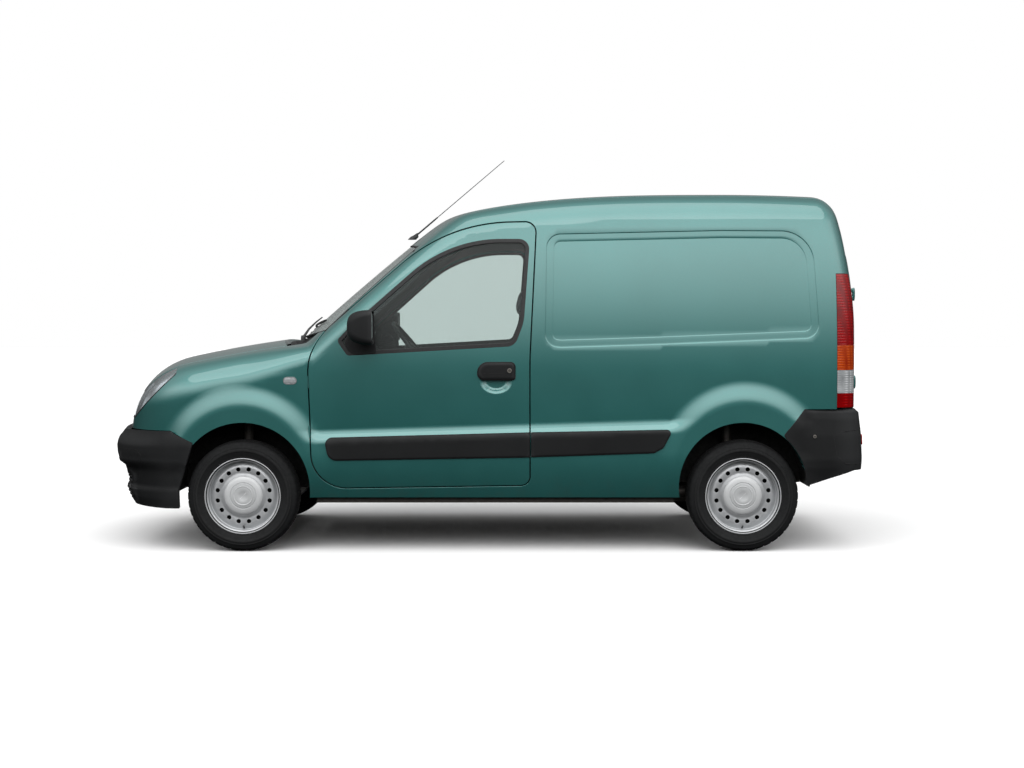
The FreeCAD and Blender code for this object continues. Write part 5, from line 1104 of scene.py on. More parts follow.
def body_side_sheet():
    """The whole flank behind the door: sill, quarter, pillar and the side of the tail."""
    lamp_x = TAIL_LAMP_X - HEM
    lamp_top_z = TAIL_LAMP_HIGH_Z + HEM
    top_line = level_line(CABIN, lamp_top_z, lamp_x, TAIL_TURN_X + TAIL_LAMP_REACH)
    top_line = top_line[top_line[:, 1] <= -TAIL_LAMP_INNER_Y + 12 * MM]
    lamp_inner = rows(np.full(48, -TAIL_LAMP_INNER_Y + HEM), np.linspace(0.74, lamp_top_z, 48))
    bumper_line = level_line(CABIN, REAR_BUMPER_TOP_Z, REAR_BUMPER_FRONT_X, TAIL_TURN_X + BUMPER_LINE_REACH)
    curves = [
        (door_gap_skin, True),
        (from_side(arch_points(1, HEM)), True),
        (upright(CABIN, WING_FOOT_X + HEM, 0.27, 0.60), False),
        (upright(CABIN, WING_TOP_REAR_X + HEM, 1.00, 1.17), False),
        (screen_gap_skin[screen_gap_skin[:, 1] < -0.45], False),
        (roof_seam_line(roof_line_y), False),
        (rear_door_gap_skin[rear_door_gap_skin[:, 1] < -0.3], False),
        (upright(CABIN, lamp_x, 0.74, lamp_top_z), False),
        (top_line, False),
        (from_end(lamp_inner, REAR_AXLE_X, 1.0), False),
        (bumper_line, False),
        (upright(CABIN, REAR_BUMPER_FRONT_X, 0.5, REAR_BUMPER_TOP_Z), False),
        (level_line(CABIN, SILL_BOTTOM_Z, WING_FOOT_X - OVERRUN, REAR_AXLE_X), False),
    ]
    curves += flare_rings(1) + crease_lines(WING_FOOT_X - 0.03, REAR_BUMPER_FRONT_X + CREASE_OVERRUN)
    for share in QUARTER_SHARES:
        ring = outline(QUARTER_CORNERS, -share * QUARTER_SLOPE)
        curves.append((from_side(ring), True))

    def keep(p):
        x, y, z = p.T
        result = ~inside(side_of(p), door_gap)
        result &= ~inside(side_of(p), arch_points(1, HEM))
        result &= (x > WING_FOOT_X + HEM) | (z > DOOR_MIDDLE_Z)
        result &= x > WING_TOP_REAR_X + HEM
        result &= ~inside(plan_of(p), screen_gap)
        result &= ~((y > roof_line_y) & (x > HEADER_X + 40 * MM) & (z > ROOF_SIDE_LOW_Z))
        result &= ~((y > -SCREEN_SIDE_Y) & (x < HEADER_X + 60 * MM))
        result &= ~(inside(end_of(p), rear_door_gap) & (x > TAIL_START_X))
        result &= ~((x > lamp_x) & (z < lamp_top_z) & (y < -TAIL_LAMP_INNER_Y + HEM)
                    & (z > REAR_BUMPER_TOP_Z))
        result &= ~((x > REAR_BUMPER_FRONT_X) & (z < REAR_BUMPER_TOP_Z))
        result &= ~((y > -FLANK_INNER_Y) & (z < FLANK_INNER_TOP_Z))
        return result & (z > SILL_BOTTOM_Z)

    return panel(CABIN, curves, keep, SIDE_WALL, relief=quarter_relief)


def wing_sheet():
    bumper = outline(FRONT_BUMPER_CORNERS, HEM)
    lamp = outline(HEADLAMP_CORNERS, HEM)
    bonnet_front = outline(BONNET_FRONT, OUTSIDE)
    line = np.array([(x, z) for x, z in bumper if x > AHEAD_X + 20 * MM and z > 0.25])
    lamp_line = np.array([(x, z) for x, z in lamp if x > AHEAD_X + 100 * MM and z < LAMP_LINE_TOP_Z])
    lamp_line = lamp_line[np.argsort(lamp_line[:, 1] + 1e-3 * lamp_line[:, 0])]
    low = lamp_line[lamp_line[:, 1] <= LAMP_BOTTOM_Z - HEM + 1e-6]
    curves = [
        (door_gap_skin, True),
        (from_side(arch_points(0, HEM)), True),
        (bonnet_seam(OUTSIDE), False),
        (from_side(line), False),
        (from_side(lamp_line[len(low):]), False),
        (level_line(WING, LAMP_BOTTOM_Z - HEM, NOSE_TURN_X - NOSE_LINE_REACH,
                    LAMP_FOOT_X + LAMP_FOOT_REACH), False),
        (screen_gap_skin[screen_gap_skin[:, 1] < -0.55], False),
        (upright(WING, WING_FOOT_X - HEM, 0.27, 0.60), False),
        (upright(WING, WING_TOP_REAR_X - HEM, 0.98, 1.17), False),
        (level_line(WING, SILL_BOTTOM_Z, FRONT_AXLE_X, WING_FOOT_X + OVERRUN), False),
    ]
    curves += flare_rings(0) + crease_lines(NOSE_X + 0.20, WING_FOOT_X + OVERRUN)

    def keep(p):
        x, y, z = p.T
        result = ~inside(side_of(p), door_gap)
        result &= ~inside(side_of(p), arch_points(0, HEM))
        result &= ~inside(end_of(p), bonnet_front)
        result &= ~inside(side_of(p), lamp)
        result &= ~inside(side_of(p), bumper)
        result &= ~inside(plan_of(p), screen_gap)
        result &= (x < WING_FOOT_X - HEM) | (z > DOOR_MIDDLE_Z)
        result &= (x < WING_TOP_REAR_X - HEM) | (z < DOOR_MIDDLE_Z)
        result &= (y < -BONNET_SEAM_Y) | (x < NOSE_TURN_X)
        result &= ((z > LAMP_BOTTOM_Z - 12 * MM) | (z > BUMPER_TOP_Z)
                   | (x > FRONT_BUMPER_REAR_X - WING_NOSE_REACH))
        return result & (z > SILL_BOTTOM_Z) & (y < -WING_INNER_Y)

    return panel(WING, curves, keep, WING_WALL)


def bonnet_sheet():
    chart = TopChart(NOSE_TURN_X, 3.0, BONNET_DROP)
    front = outline(BONNET_FRONT, -HEM)
    low = front[front[:, 1] < BONNET_SIDE_START_Z]
    low = low[np.argsort(low[:, 0])]
    ys = np.linspace(-BONNET_SEAM_Y + HEM, BONNET_SEAM_Y - HEM, 81)
    rear = rows(BONNET_REAR_X - HEM + arc_drop(ys, PLAN_BOW_RADIUS), ys)
    nose = from_end(low, NOSE_TURN_X, -1.0)
    curves = [(nose, False), (from_screen(rear), False)]
    for side in (-1, 1):
        start = nose[0 if side < 0 else -1][0]
        xs = np.arange(start + 10 * MM, BONNET_REAR_X + BONNET_ROWS_REACH, 15 * MM)
        line = rows(xs, np.full(len(xs), side * (BONNET_SEAM_Y - HEM)))
        curves.append((from_screen(line), False))

    def keep(p):
        behind = p[:, 0] > BONNET_REAR_X - HEM + arc_drop(p[:, 1], PLAN_BOW_RADIUS)
        return inside(end_of(p), front) & ~behind

    return panel(chart, curves, keep, BONNET_WALL)


def roof_sheet():
    chart = TopChart(-3.0, TAIL_TURN_X, TOP_DROP)
    edge_y = ROOF_SEAM_Y - ROOF_GROOVE - HEM
    ys = np.linspace(-edge_y, edge_y, 61)
    head = from_screen(rows(HEADER_X + OUTSIDE + arc_drop(ys, PLAN_BOW_RADIUS), ys))
    upper = rear_door_gap_skin[rear_door_gap_skin[:, 2] > ROOF_LOWEST_Z]
    curves = [(head, False), (upper[np.argsort(upper[:, 1])], False)]
    curves += both_ways(roof_seam_line(-edge_y))

    def keep(p):
        x, y, z = p.T
        result = (np.abs(y) < edge_y) & ~(inside(end_of(p), rear_door_gap) & (x > TAIL_START_X))
        result &= x > HEADER_X + OUTSIDE + arc_drop(y, PLAN_BOW_RADIUS)
        return result & (z > ROOF_LOWEST_Z)

    return panel(chart, curves, keep, ROOF_WALL)


def door_sheets():
    """Outer skin, and the inner frame that stands in from it all round."""
    skin_edge = outline(DOOR_CORNERS, -HEM)
    window = outline(WINDOW_CORNERS, HEM)
    frame_edge = outline(DOOR_CORNERS, -DOOR_STEP - HEM)

    def maker(edge, depth, wall, relief):
        def keep(p):
            return inside(side_of(p), edge) & ~inside(side_of(p), window)

        curves = [(from_side(edge, depth=depth), True), (from_side(window, depth=depth), True)]
        curves += crease_lines(DOOR_FRONT_X - CREASE_OVERRUN, DOOR_FRONT_X + DOOR_LENGTH + CREASE_OVERRUN)
        if relief:
            for share in BOWL_SHARES:
                turns = np.linspace(0, 2 * math.pi, 60, endpoint=False)
                ring = rows(BOWL_CENTRE[0] + share * BOWL_RADII[0] * np.cos(turns),
                            BOWL_CENTRE[1] + share * BOWL_RADII[1] * np.sin(turns))
                curves.append((from_side(ring), True))
        return panel(DOOR, curves, keep, wall, relief=relief, depth=depth)

    outer = maker(skin_edge, 0.0, DOOR_SKIN, bowl_relief)
    inner = maker(frame_edge, DOOR_SKIN, DOOR_WALL - DOOR_SKIN, None)
    return outer, inner


def rear_window(side, offset=0.0):
    inner = REAR_SPLIT_Y + side * REAR_WINDOW_INSET
    return outline([
        (inner, 1160 * MM, 50 * MM),
        (side * (655 * MM - REAR_WINDOW_INSET), 1160 * MM, 50 * MM),
        (side * (600 * MM - REAR_WINDOW_INSET), 1642 * MM, 50 * MM),
        (inner, 1642 * MM, 50 * MM),
    ], offset)


TAIL = EndChart(REAR_AXLE_X, 1.0)
PRESS_LOW_Z = 0.83
PRESS_HIGH_Z = 1.09
PRESS_OUTER_Y = (0.585, 0.575)
PRESS_CORNER = 0.04
PRESS_SPLIT_INSET = 70 * MM
PRESS_DEPTH = 5 * MM
PRESS_SLOPE = 22 * MM
PRESS_RINGS = (0, 7, 15, 22)


def from_tail(points, level=skin):
    return from_end(points, REAR_AXLE_X, 1.0, level)


def rear_press(side, offset=0.0):
    """Outline of the pressed plate low on a rear door."""
    inner = REAR_SPLIT_Y + side * PRESS_SPLIT_INSET
    low_y, high_y = PRESS_OUTER_Y
    return outline([
        (inner, PRESS_LOW_Z, PRESS_CORNER),
        (side * low_y, PRESS_LOW_Z, PRESS_CORNER),
        (side * high_y, PRESS_HIGH_Z, PRESS_CORNER),
        (inner, PRESS_HIGH_Z, PRESS_CORNER),
    ], offset)


def rear_door_sheet(side):
    edge = outline(REAR_DOOR_CORNERS, -HEM)
    window = rear_window(side, HEM)
    split = REAR_SPLIT_Y + side * (SHUT_GAP / 2 + HEM)
    zs = np.linspace(0.70, 1.80, 80)
    plate = rear_press(side)

    def press(p):
        flat = end_of(p)
        share = np.where(inside(flat, plate), edge_distance(flat, plate) / PRESS_SLOPE, 0.0)
        return PRESS_DEPTH * step(share)

    curves = [(from_tail(rear_press(side, -shrink * MM)), True) for shrink in PRESS_RINGS]
    curves += [(from_tail(edge), True), (from_tail(window), True),
               (from_tail(rows(np.full(len(zs), split), zs)), False)]

    def keep(p):
        flat = end_of(p)
        beyond = (p[:, 1] - split) * side > 0
        return inside(flat, edge) & ~inside(flat, window) & beyond

    return panel(TAIL, curves, keep, REAR_DOOR_WALL, relief=press)


place_pair(body_side_sheet(), "side_panel", "van", "paint", replaces="body_side_{}")
place_pair(wing_sheet(), "wing_panel", "van", "paint", replaces="wings")
place(made("bonnet_panel", bonnet_sheet()), "bonnet", "paint", replaces=("bonnet",))
place(made("roof_panel", roof_sheet()), "van", "paint", replaces=("roof",))
door_outer, door_inner = door_sheets()
place_pair(door_outer, "door_panel", "door_{}", "paint", replaces="door_{}")
# The inner frame of each door takes a darker copy of the body paint, as painted shade.
place_pair(door_inner, "door_frame", "door_{}", "paint", "inner_door")
for word, side in SIDES:
    place(made(f"rear_door_panel_{word}", rear_door_sheet(side)), f"rear_door_{word}", "paint",
          replaces=(f"rear_door_{word}",))
for piece, _ in PIECES:
    print(piece.name, triangle_count(piece), "triangles")

# %% [markdown]
# ## 8. Glass and rubber
#
# Each pane is a thin panel a few millimetres under the paint. Its rubber lies in the gap, and the
# windscreen has a dark printed border on its inner side.

# %%
SEAL_DEPTH = 3 * MM
SEAL_RADIUS = 4.6 * MM
STRIP_WIDTH = 17 * MM
STRIP_WALL = 12 * MM
STRIP_PROUD = 0.8 * MM
FRIT_WIDTH = 38 * MM
FRIT_FOOT_WIDTH = 62 * MM
FRIT_WALL = 1 * MM
DOOR_SEAL_RADIUS = 6 * MM
DOOR_SEAL_DEPTH = 29 * MM
BONNET_SEAL_DEPTH = 12 * MM
BONNET_SEAL_RADIUS = 2.8 * MM
SCREEN_CHART = TopChart(-3.0, 3.0, SCREEN_DROP)
GLASS_HEM = 0.6 * MM


def ring_panel(chart, outer, inner, to_skin, flat_of, wall, depth, hem=HEM_RADIUS, pitch=PITCH):
    """A flat ring between two closed outlines, or a filled one when inner is None."""
    curves = [(to_skin(outer), True)]
    if inner is not None:
        curves.append((to_skin(inner), True))

    def keep(p):
        result = inside(flat_of(p), outer)
        return result if inner is None else result & ~inside(flat_of(p), inner)

    return panel(chart, curves, keep, wall, depth=depth, hem=hem, pitch=pitch)


def screen_inner():
    """Edge of the clear glass: the border is wider along the foot."""
    ys = np.linspace(-1, 1, 61)
    foot_y = ys * (SCREEN_FOOT_Y - FRIT_WIDTH)
    head_y = -ys * (SCREEN_HEAD_Y - FRIT_WIDTH)
    foot = rows(SCREEN_FOOT_X + FRIT_FOOT_WIDTH + arc_drop(foot_y, SCREEN_FOOT_BOW_RADIUS), foot_y)
    head = rows(HEADER_X - FRIT_WIDTH + arc_drop(head_y, PLAN_BOW_RADIUS), head_y)
    return filled([tuple(p) for p in np.concatenate([foot, head])], 20 * MM, closed=True)


glass = ring_panel(SCREEN_CHART, screen_outline(-GLASS_HEM), None, from_screen, plan_of, GLASS_WALL,
                   GLASS_SINK, GLASS_HEM)
place(made("windscreen_glass", glass), "van", "glass", replaces=("windscreen",))
frit = ring_panel(SCREEN_CHART, screen_outline(-3 * MM), screen_inner(), from_screen, plan_of, FRIT_WALL,
                  GLASS_SINK + GLASS_WALL + 0.3 * MM, 0.0)
place(made("windscreen_border", frit), "van", "trim", "frit")
seal_line = from_screen(screen_outline(0.5 * SHUT_GAP))
place(skin_tube("windscreen_rubber", seal_line, SEAL_RADIUS, True, SEAL_DEPTH), "van", "trim", "rubber")

window_edge = outline(WINDOW_CORNERS, -0.5 * MM)
strip = ring_panel(DOOR, window_edge, outline(WINDOW_CORNERS, -STRIP_WIDTH), from_side, side_of, STRIP_WALL,
                   -STRIP_PROUD, 2.4 * MM)
place_pair(strip, "window_strip", "door_{}", "trim", "rubber")
pane = ring_panel(DOOR, outline(WINDOW_CORNERS, -3 * MM), None, from_side, side_of, GLASS_WALL, GLASS_SINK,
                  GLASS_HEM)
place_pair(pane, "door_pane", "door_{}", "glass", replaces="door_glass_{}")
for word, side in SIDES:
    body = f"rear_door_{word}"
    edge, clear = rear_window(side, -0.5 * MM), rear_window(side, -STRIP_WIDTH)
    ring = ring_panel(TAIL, edge, clear, from_tail, end_of, STRIP_WALL, -STRIP_PROUD, 2.4 * MM)
    place(made(f"rear_window_strip_{word}", ring), body, "trim", "rubber")
    pane = ring_panel(TAIL, rear_window(side, -3 * MM), None, from_tail, end_of, GLASS_WALL, GLASS_SINK,
                      GLASS_HEM)
    place(made(f"rear_pane_{word}", pane), body, "glass", replaces=(f"rear_door_glass_{word}",))

door_line = from_side(outline(DOOR_CORNERS, -3 * MM))
place_twice(skin_tube("door_seal", door_line, DOOR_SEAL_RADIUS, True, DOOR_SEAL_DEPTH), "door_seal", "van",
            "trim", "rubber")
seam = bonnet_seam(0.5 * SHUT_GAP)
place_twice(skin_tube("bonnet_seal", seam[4:], BONNET_SEAL_RADIUS, False, BONNET_SEAL_DEPTH), "bonnet_seal",
            "van", "trim", "rubber")
tail_line = from_tail(outline(REAR_DOOR_CORNERS, -2 * MM))
place(skin_tube("rear_door_seal", tail_line, DOOR_SEAL_RADIUS, True, REAR_DOOR_WALL + 8 * MM), "van", "trim",
      "rubber")
seam_line = roof_seam_line(-ROOF_SEAM_Y)
roof_seam = skin_tube("roof_seam", seam_line, ROOF_GROOVE + HEM, False, 5.5 * MM)
place_twice(roof_seam, "roof_seam", "van", "trim", "rubber")

# %% [markdown]
# ## 9. Bumpers and grille
#
# A bumper has its own formula: the plan of the van's end, pushed inwards by a section that changes with
# height. Its chart runs across the end and round both corners.

# %%
BUMPER_PROUD = 6 * MM
HORN_PROUD = 4 * MM
HORN_FADE_FRONT_X = 1.66
HORN_FADE_REAR_X = 1.72
FLANK_START = 90 * MM
FLANK_SPAN = 160 * MM
BUMPER_FAN_Y = 450 * MM
BUMPER_FAN_SCALE = 0.25
BUMPER_WALL = 26 * MM
SECTION_BLUR = 5 * MM
FRONT_BUMPER = dict(
    flank_share=0.75, end_x=NOSE_X, bow=2.27, corner=300 * MM, origin_x=FRONT_BUMPER_REAR_X + BUMPER_HORN,
    heights=(228, 280, 319, 340, 400, 435, 456, 500, 550, 583, 630),
    insets=(97, 63, 50, 63, 54, 45, 12, 3, 0, 12, 51),
)
REAR_BUMPER = dict(
    flank_share=0.0, end_x=TAIL_X, bow=11.1, corner=130 * MM, origin_x=REAR_BUMPER_FRONT_X - 0.14,
    heights=(320, 345, 440, 477, 602, 730, 745),
    insets=(50, 20, 3, 0, 5, 21, 47),
)


def blurred(value, knots, heights, blur):
    """A line through knots, with its corners rounded off."""
    shifts = (-1, -0.5, 0, 0.5, 1)
    return sum(np.interp(value + shift * blur, knots, heights) for shift in shifts) / 5


def bumper_level(shape):
    heights = np.array(shape["heights"]) * MM
    insets = np.array(shape["insets"]) * MM

    def level(p):
        x, y, z = p[:, 0], np.abs(p[:, 1]), p[:, 2]
        side = y - side_width(x, np.full_like(x, TUCK_Z)) - BUMPER_PROUD
        end = np.abs(x) - abs(shape["end_x"]) + arc_drop(y, shape["bow"])
        inset = blurred(z, heights, insets, SECTION_BLUR)
        along_flank = step((-end - FLANK_START) / FLANK_SPAN)
        return corner(side, end, shape["corner"]) + inset * (1 - shape["flank_share"] * along_flank)

    return level


class BumperChart:
    """s runs across the end and round both corners, t runs up."""

    def __init__(self, shape, way_x):
        self.origin_x = shape["origin_x"]
        self.way_x = way_x
        self.level = bumper_level(shape)

    def rays(self, flat):
        s, t = flat[:, 0], flat[:, 1]
        y = np.clip(s, -BUMPER_FAN_Y, BUMPER_FAN_Y)
        turn = (s - y) / BUMPER_FAN_SCALE
        return rows(np.full(len(s), self.origin_x), y, t), rows(self.way_x * np.cos(turn), np.sin(turn), 0.0)

    def flat(self, p):
        y = np.clip(p[:, 1], -BUMPER_FAN_Y, BUMPER_FAN_Y)
        turn = np.arctan2(p[:, 1] - y, self.way_x * (p[:, 0] - self.origin_x))
        return rows(y + turn * BUMPER_FAN_SCALE, p[:, 2])


def over_flank(level):
    """Ahead of the corner the rear bumper lies on the flank, a little proud of it."""
    def both(p):
        share = step((HORN_FADE_REAR_X - p[:, 0]) / (HORN_FADE_REAR_X - HORN_FADE_FRONT_X))
        proud = np.minimum(level(p), skin(p) - HORN_PROUD)
        return level(p) * (1 - share) + proud * share

    return both


FRONT = BumperChart(FRONT_BUMPER, -1.0)
REAR = BumperChart(REAR_BUMPER, 1.0)
REAR.level = over_flank(REAR.level)
FAN_HALF = BUMPER_FAN_Y + BUMPER_FAN_SCALE * math.radians(96)


def end_line(chart, z, s0=-FAN_HALF, s1=FAN_HALF, pitch=15 * MM):
    s = np.linspace(s0, s1, max(3, int((s1 - s0) / pitch)))
    return along(chart, rows(s, np.full(len(s), z)))


INTAKE_CORNERS = [(-560 * MM, 468 * MM, 10 * MM), (560 * MM, 468 * MM, 10 * MM),
                  (560 * MM, 496 * MM, 10 * MM), (-560 * MM, 496 * MM, 10 * MM)]
INTAKE_DEPTH = 16 * MM
LOWER_CORNERS = [(-620 * MM, 262 * MM, 20 * MM), (620 * MM, 262 * MM, 20 * MM),
                 (620 * MM, 388 * MM, 20 * MM), (-620 * MM, 388 * MM, 20 * MM)]


def front_bumper_sheet():
    corners = outline(FRONT_BUMPER_CORNERS, -HEM)
    behind = corners[:, 0] > FRONT_BUMPER_REAR_X - 0.07
    rear_edge = corners[behind & (corners[:, 1] < BUMPER_TOP_Z - 2 * MM)]
    rear_edge = rear_edge[np.argsort(rear_edge[:, 1])]
    rear_edge[0, 1] -= 10 * MM
    intake = outline(INTAKE_CORNERS)
    lower = outline(LOWER_CORNERS)
    curves = both_ways(from_side(rear_edge, FRONT.level))
    curves += [(end_line(FRONT, BUMPER_TOP_Z - HEM), False), (end_line(FRONT, BUMPER_BOTTOM_Z + HEM), False)]
    for shape in (intake, outline(INTAKE_CORNERS, -5 * MM), lower, outline(LOWER_CORNERS, -6 * MM)):
        curves.append((from_end(shape, FRONT.origin_x, -1.0, FRONT.level), True))

    def relief(p):
        flat = end_of(p)
        result = np.zeros(len(p))
        for shape, depth, slope in ((intake, INTAKE_DEPTH, 5 * MM), (lower, 12 * MM, 6 * MM)):
            share = np.where(inside(flat, shape), edge_distance(flat, shape) / slope, 0.0)
            result = result + depth * step(share)
        return result

    def keep(p):
        z = p[:, 2]
        return inside(side_of(p), corners) & (z < BUMPER_TOP_Z - HEM) & (z > BUMPER_BOTTOM_Z + HEM)

    return panel(FRONT, curves, keep, BUMPER_WALL, relief=relief)


REAR_BUMPER_FOOT_Z = 428 * MM
REAR_HORN = [(1.676, 0.7455, 0.008), (1.563, 0.610, 0.012)]


def rear_bumper_sheet():
    """The bumper with a horn that runs forwards over the flank, down to the arch."""
    corners = outline([(TAIL_X + PAST_TAIL, REAR_BUMPER_TOP_Z - 2 * MM, 0.0), *REAR_HORN,
                       (1.600, 0.560, 0.0), (1.640, 0.490, 0.0), (1.668, 0.430, 0.0), (1.672, 0.344, 0.0),
                       (1.935, REAR_BUMPER_FOOT_Z, 0.0), (TAIL_X + PAST_TAIL, REAR_BUMPER_FOOT_Z, 0.0)])
    arch = arch_points(1, HEM + 1 * MM)
    curves = [(from_side(corners[corners[:, 0] < 1.95], REAR.level), False),
              (from_side(arch[(arch[:, 0] > REAR_AXLE_X) & (arch[:, 1] > 0.36)], REAR.level), False),
              (end_line(REAR, REAR_BUMPER_TOP_Z - 2 * MM), False),
              (end_line(REAR, REAR_BUMPER_FOOT_Z), False)]
    curves += [(curve * (1, -1, 1), closed) for curve, closed in curves[:2]]

    def keep(p):
        return inside(side_of(p), corners) & ~inside(side_of(p), arch)

    return panel(REAR, curves, keep, BUMPER_WALL)


place(made("front_bumper_skin", front_bumper_sheet()), "van", "trim", "bumper", replaces=("front_bumper",))
place(made("rear_bumper_skin", rear_bumper_sheet()), "van", "trim", "bumper", replaces=("rear_bumper",))

# Lower grille bars, and the lines of the corner panels
RIB_RADIUS = 5.5 * MM
ribs = []
for index in range(6):
    line = end_line(FRONT, (275 + 20 * index) * MM, -600 * MM, 600 * MM)
    ribs.append(skin_tube("rib", line, RIB_RADIUS, False, 7 * MM, FRONT.level))
place(joined("lower_grille_bars", ribs), "van", "trim", "bumper")

PANEL_LINE = 1.7 * MM


def side_groove(name, points, chart):
    """A dark joint line between two panels of a bumper."""
    line = from_side(filled(points, 12 * MM), chart.level)
    return skin_tube(name, line, PANEL_LINE, False, 0.8 * PANEL_LINE, chart.level, sides=6)


PANEL_LINES = (
    ("front_panel_line", FRONT, [(-1.99, 0.536), (-1.80, 0.530), (-1.772, 0.50), (-1.80, 0.375),
                                 (-1.83, 0.352), (-1.98, 0.348)]),
    ("rear_panel_line", REAR, [(1.985, 0.640), (1.86, 0.628), (1.822, 0.605), (1.838, 0.505),
                               (1.885, 0.462), (1.985, 0.458)]),
)
for name, chart, points in PANEL_LINES:
    place_twice(side_groove(name, points, chart), name, "van", "trim", "seam")
BAND_Z = 327 * MM
band = end_line(FRONT, BAND_Z)
band = band[band[:, 0] < FRONT_BUMPER_REAR_X - 20 * MM]
band_line = skin_tube("front_bumper_line", band, PANEL_LINE, False, PANEL_LINE, FRONT.level, sides=6)
place(band_line, "van", "trim", "seam")

# Fixing screw and reflector of the rear bumper
SCREW = (1.722, 0.604)
SCREW_PROFILE_MM = ((0.1, 2.5), (5, 2.5), (6, 3.4), (8.4, 3), (9, 1), (9, -4))
screw_at = from_side([SCREW], REAR.level)[0]
screw = lathe("bumper_screw", in_metres(SCREW_PROFILE_MM), screw_at, 32, "y", -1.0, closed=False)
place_twice(screw, "bumper_screw", "van", "iron", "iron")
REFLECTOR_CORNERS = [(610 * MM, 556 * MM, 6 * MM), (715 * MM, 556 * MM, 6 * MM),
                     (715 * MM, 606 * MM, 6 * MM), (610 * MM, 606 * MM, 6 * MM)]


def from_rear_bumper(points):
    return from_end(points, REAR.origin_x, 1.0, REAR.level)


reflector = ring_panel(REAR, outline(REFLECTOR_CORNERS), None, from_rear_bumper, end_of, 8 * MM, -3 * MM,
                       1.5 * MM, 8 * MM)
for word, side in SIDES:
    place(made(f"rear_reflector_{word}", reflector, -side), "van", "lamp_red", "reflector")
TOW_CORNERS = [(-330 * MM, 575 * MM, 12 * MM), (-255 * MM, 575 * MM, 12 * MM),
               (-255 * MM, 640 * MM, 12 * MM), (-330 * MM, 640 * MM, 12 * MM)]
cover_line = from_rear_bumper(outline(TOW_CORNERS))
tow_line = skin_tube("tow_cover_line", cover_line, PANEL_LINE, True, PANEL_LINE, REAR.level, sides=6)
place(tow_line, "van", "trim", "seam")

# Grille between the headlamps, and the dark radiator core behind it, with painted shade between its fins
GRILLE_DEPTH = 5 * MM
GRILLE_WALL = 18 * MM
GRILLE_SLOTS = 4
GRILLE_SLOT_Z = 672 * MM
GRILLE_SLOT_PITCH = 31 * MM
GRILLE_SLOT_HEIGHT = 17 * MM
NOSE = EndChart(NOSE_TURN_X, -1.0)


def from_nose(points, level=skin):
    return from_end(points, NOSE_TURN_X, -1.0, level)


def grille_slots(half):
    """Outlines of the slots, on both sides of the middle bar."""
    slots = []
    for index in range(GRILLE_SLOTS):
        z = GRILLE_SLOT_Z + index * GRILLE_SLOT_PITCH
        top_z = z + GRILLE_SLOT_HEIGHT
        wide = 0.87 * half - index * 12 * MM
        for side in (-1, 1):
            slots.append(outline([(side * 12 * MM, z, 6 * MM), (side * wide, z, 8 * MM),
                                  (side * (wide - 6 * MM), top_z, 8 * MM), (side * 12 * MM, top_z, 6 * MM)]))
    return slots


def grille_sheet():
    half = LAMP_INNER_Y - HEM
    front = outline(BONNET_FRONT, OUTSIDE)
    top = front[front[:, 1] < 0.95]
    top = top[np.argsort(top[:, 0])]
    low_z = BUMPER_TOP_Z + 4 * MM
    slots = grille_slots(half)
    ys = np.linspace(-half - OVERRUN, half + OVERRUN, 70)
    curves = [(from_nose(top), False), (from_nose(rows(ys, np.full(len(ys), low_z))), False)]
    for side in (-1, 1):
        zs = np.linspace(low_z - OVERRUN, NOSE_ROWS_TOP_Z, 20)
        curves.append((from_nose(rows(np.full(len(zs), side * half), zs)), False))
    curves += [(from_nose(slot), True) for slot in slots]

    def keep(p):
        flat = end_of(p)
        result = (np.abs(flat[:, 0]) < half) & (flat[:, 1] > low_z) & ~inside(flat, front)
        for slot in slots:
            result &= ~inside(flat, slot)
        return result & (flat[:, 1] < 0.87)

    return panel(NOSE, curves, keep, GRILLE_WALL, depth=GRILLE_DEPTH)


place(made("grille_panel", grille_sheet()), "van", "trim", "bumper", replaces=("grille",))
CORE_CORNERS = [(-0.43, 0.45, 0.02), (0.43, 0.45, 0.02), (0.43, 0.80, 0.02), (-0.43, 0.80, 0.02)]
core_sheet = ring_panel(NOSE, outline(CORE_CORNERS), None, from_nose, end_of, 20 * MM, 120 * MM)
place(made("radiator_core", core_sheet), "van", "underbody", "radiator")

# %% [markdown]
# ## 10. Lamps
#
# A clear lens on the skin covers a silver bowl, with a slanted divider towards the side lamp. The tail
# lamps are four stacked lenses.

# %%
LENS_WALL = 3 * MM
REFLECTOR_DEPTH = 24 * MM
BOWL = dict(y=-600 * MM, z=775 * MM, radius=74 * MM, depth=42 * MM)
SIDE_BOWL = dict(y=-700 * MM, z=862 * MM, radius=42 * MM, depth=20 * MM)


def lamp_curves(shrink, depth):
    """Edges of the headlamp: the slanted rear, the foot, the inner end and the bonnet's seam."""
    lamp = outline(HEADLAMP_CORNERS, -shrink)
    line = np.array([(x, z) for x, z in lamp if x > AHEAD_X + 100 * MM and z < LAMP_LINE_TOP_Z])
    line = line[np.argsort(line[:, 1] + 1e-3 * line[:, 0])]
    low_z = LAMP_BOTTOM_Z + shrink
    rising = line[line[:, 1] > low_z + 1e-6]
    zs = np.linspace(low_z - OVERRUN, NOSE_ROWS_TOP_Z, 20)
    inner = rows(np.full(len(zs), -LAMP_INNER_Y - shrink), zs)
    foot_s = np.linspace(NOSE_TURN_X - 0.36, LAMP_FOOT_X + LAMP_FOOT_REACH, 60)
    foot = rows(foot_s, low_z - WING.shoulder(np.clip(foot_s, NOSE_TURN_X, None)))

    def level(p):
        return skin(p) + depth

    return [
        (from_side(rising, level), False),
        (along(SideChart(NOSE_TURN_X, FRONT_AXLE_X, 0.0, level), foot), False),
        (from_nose(inner, level), False),
        (bonnet_seam(OUTSIDE + shrink), False),
    ]


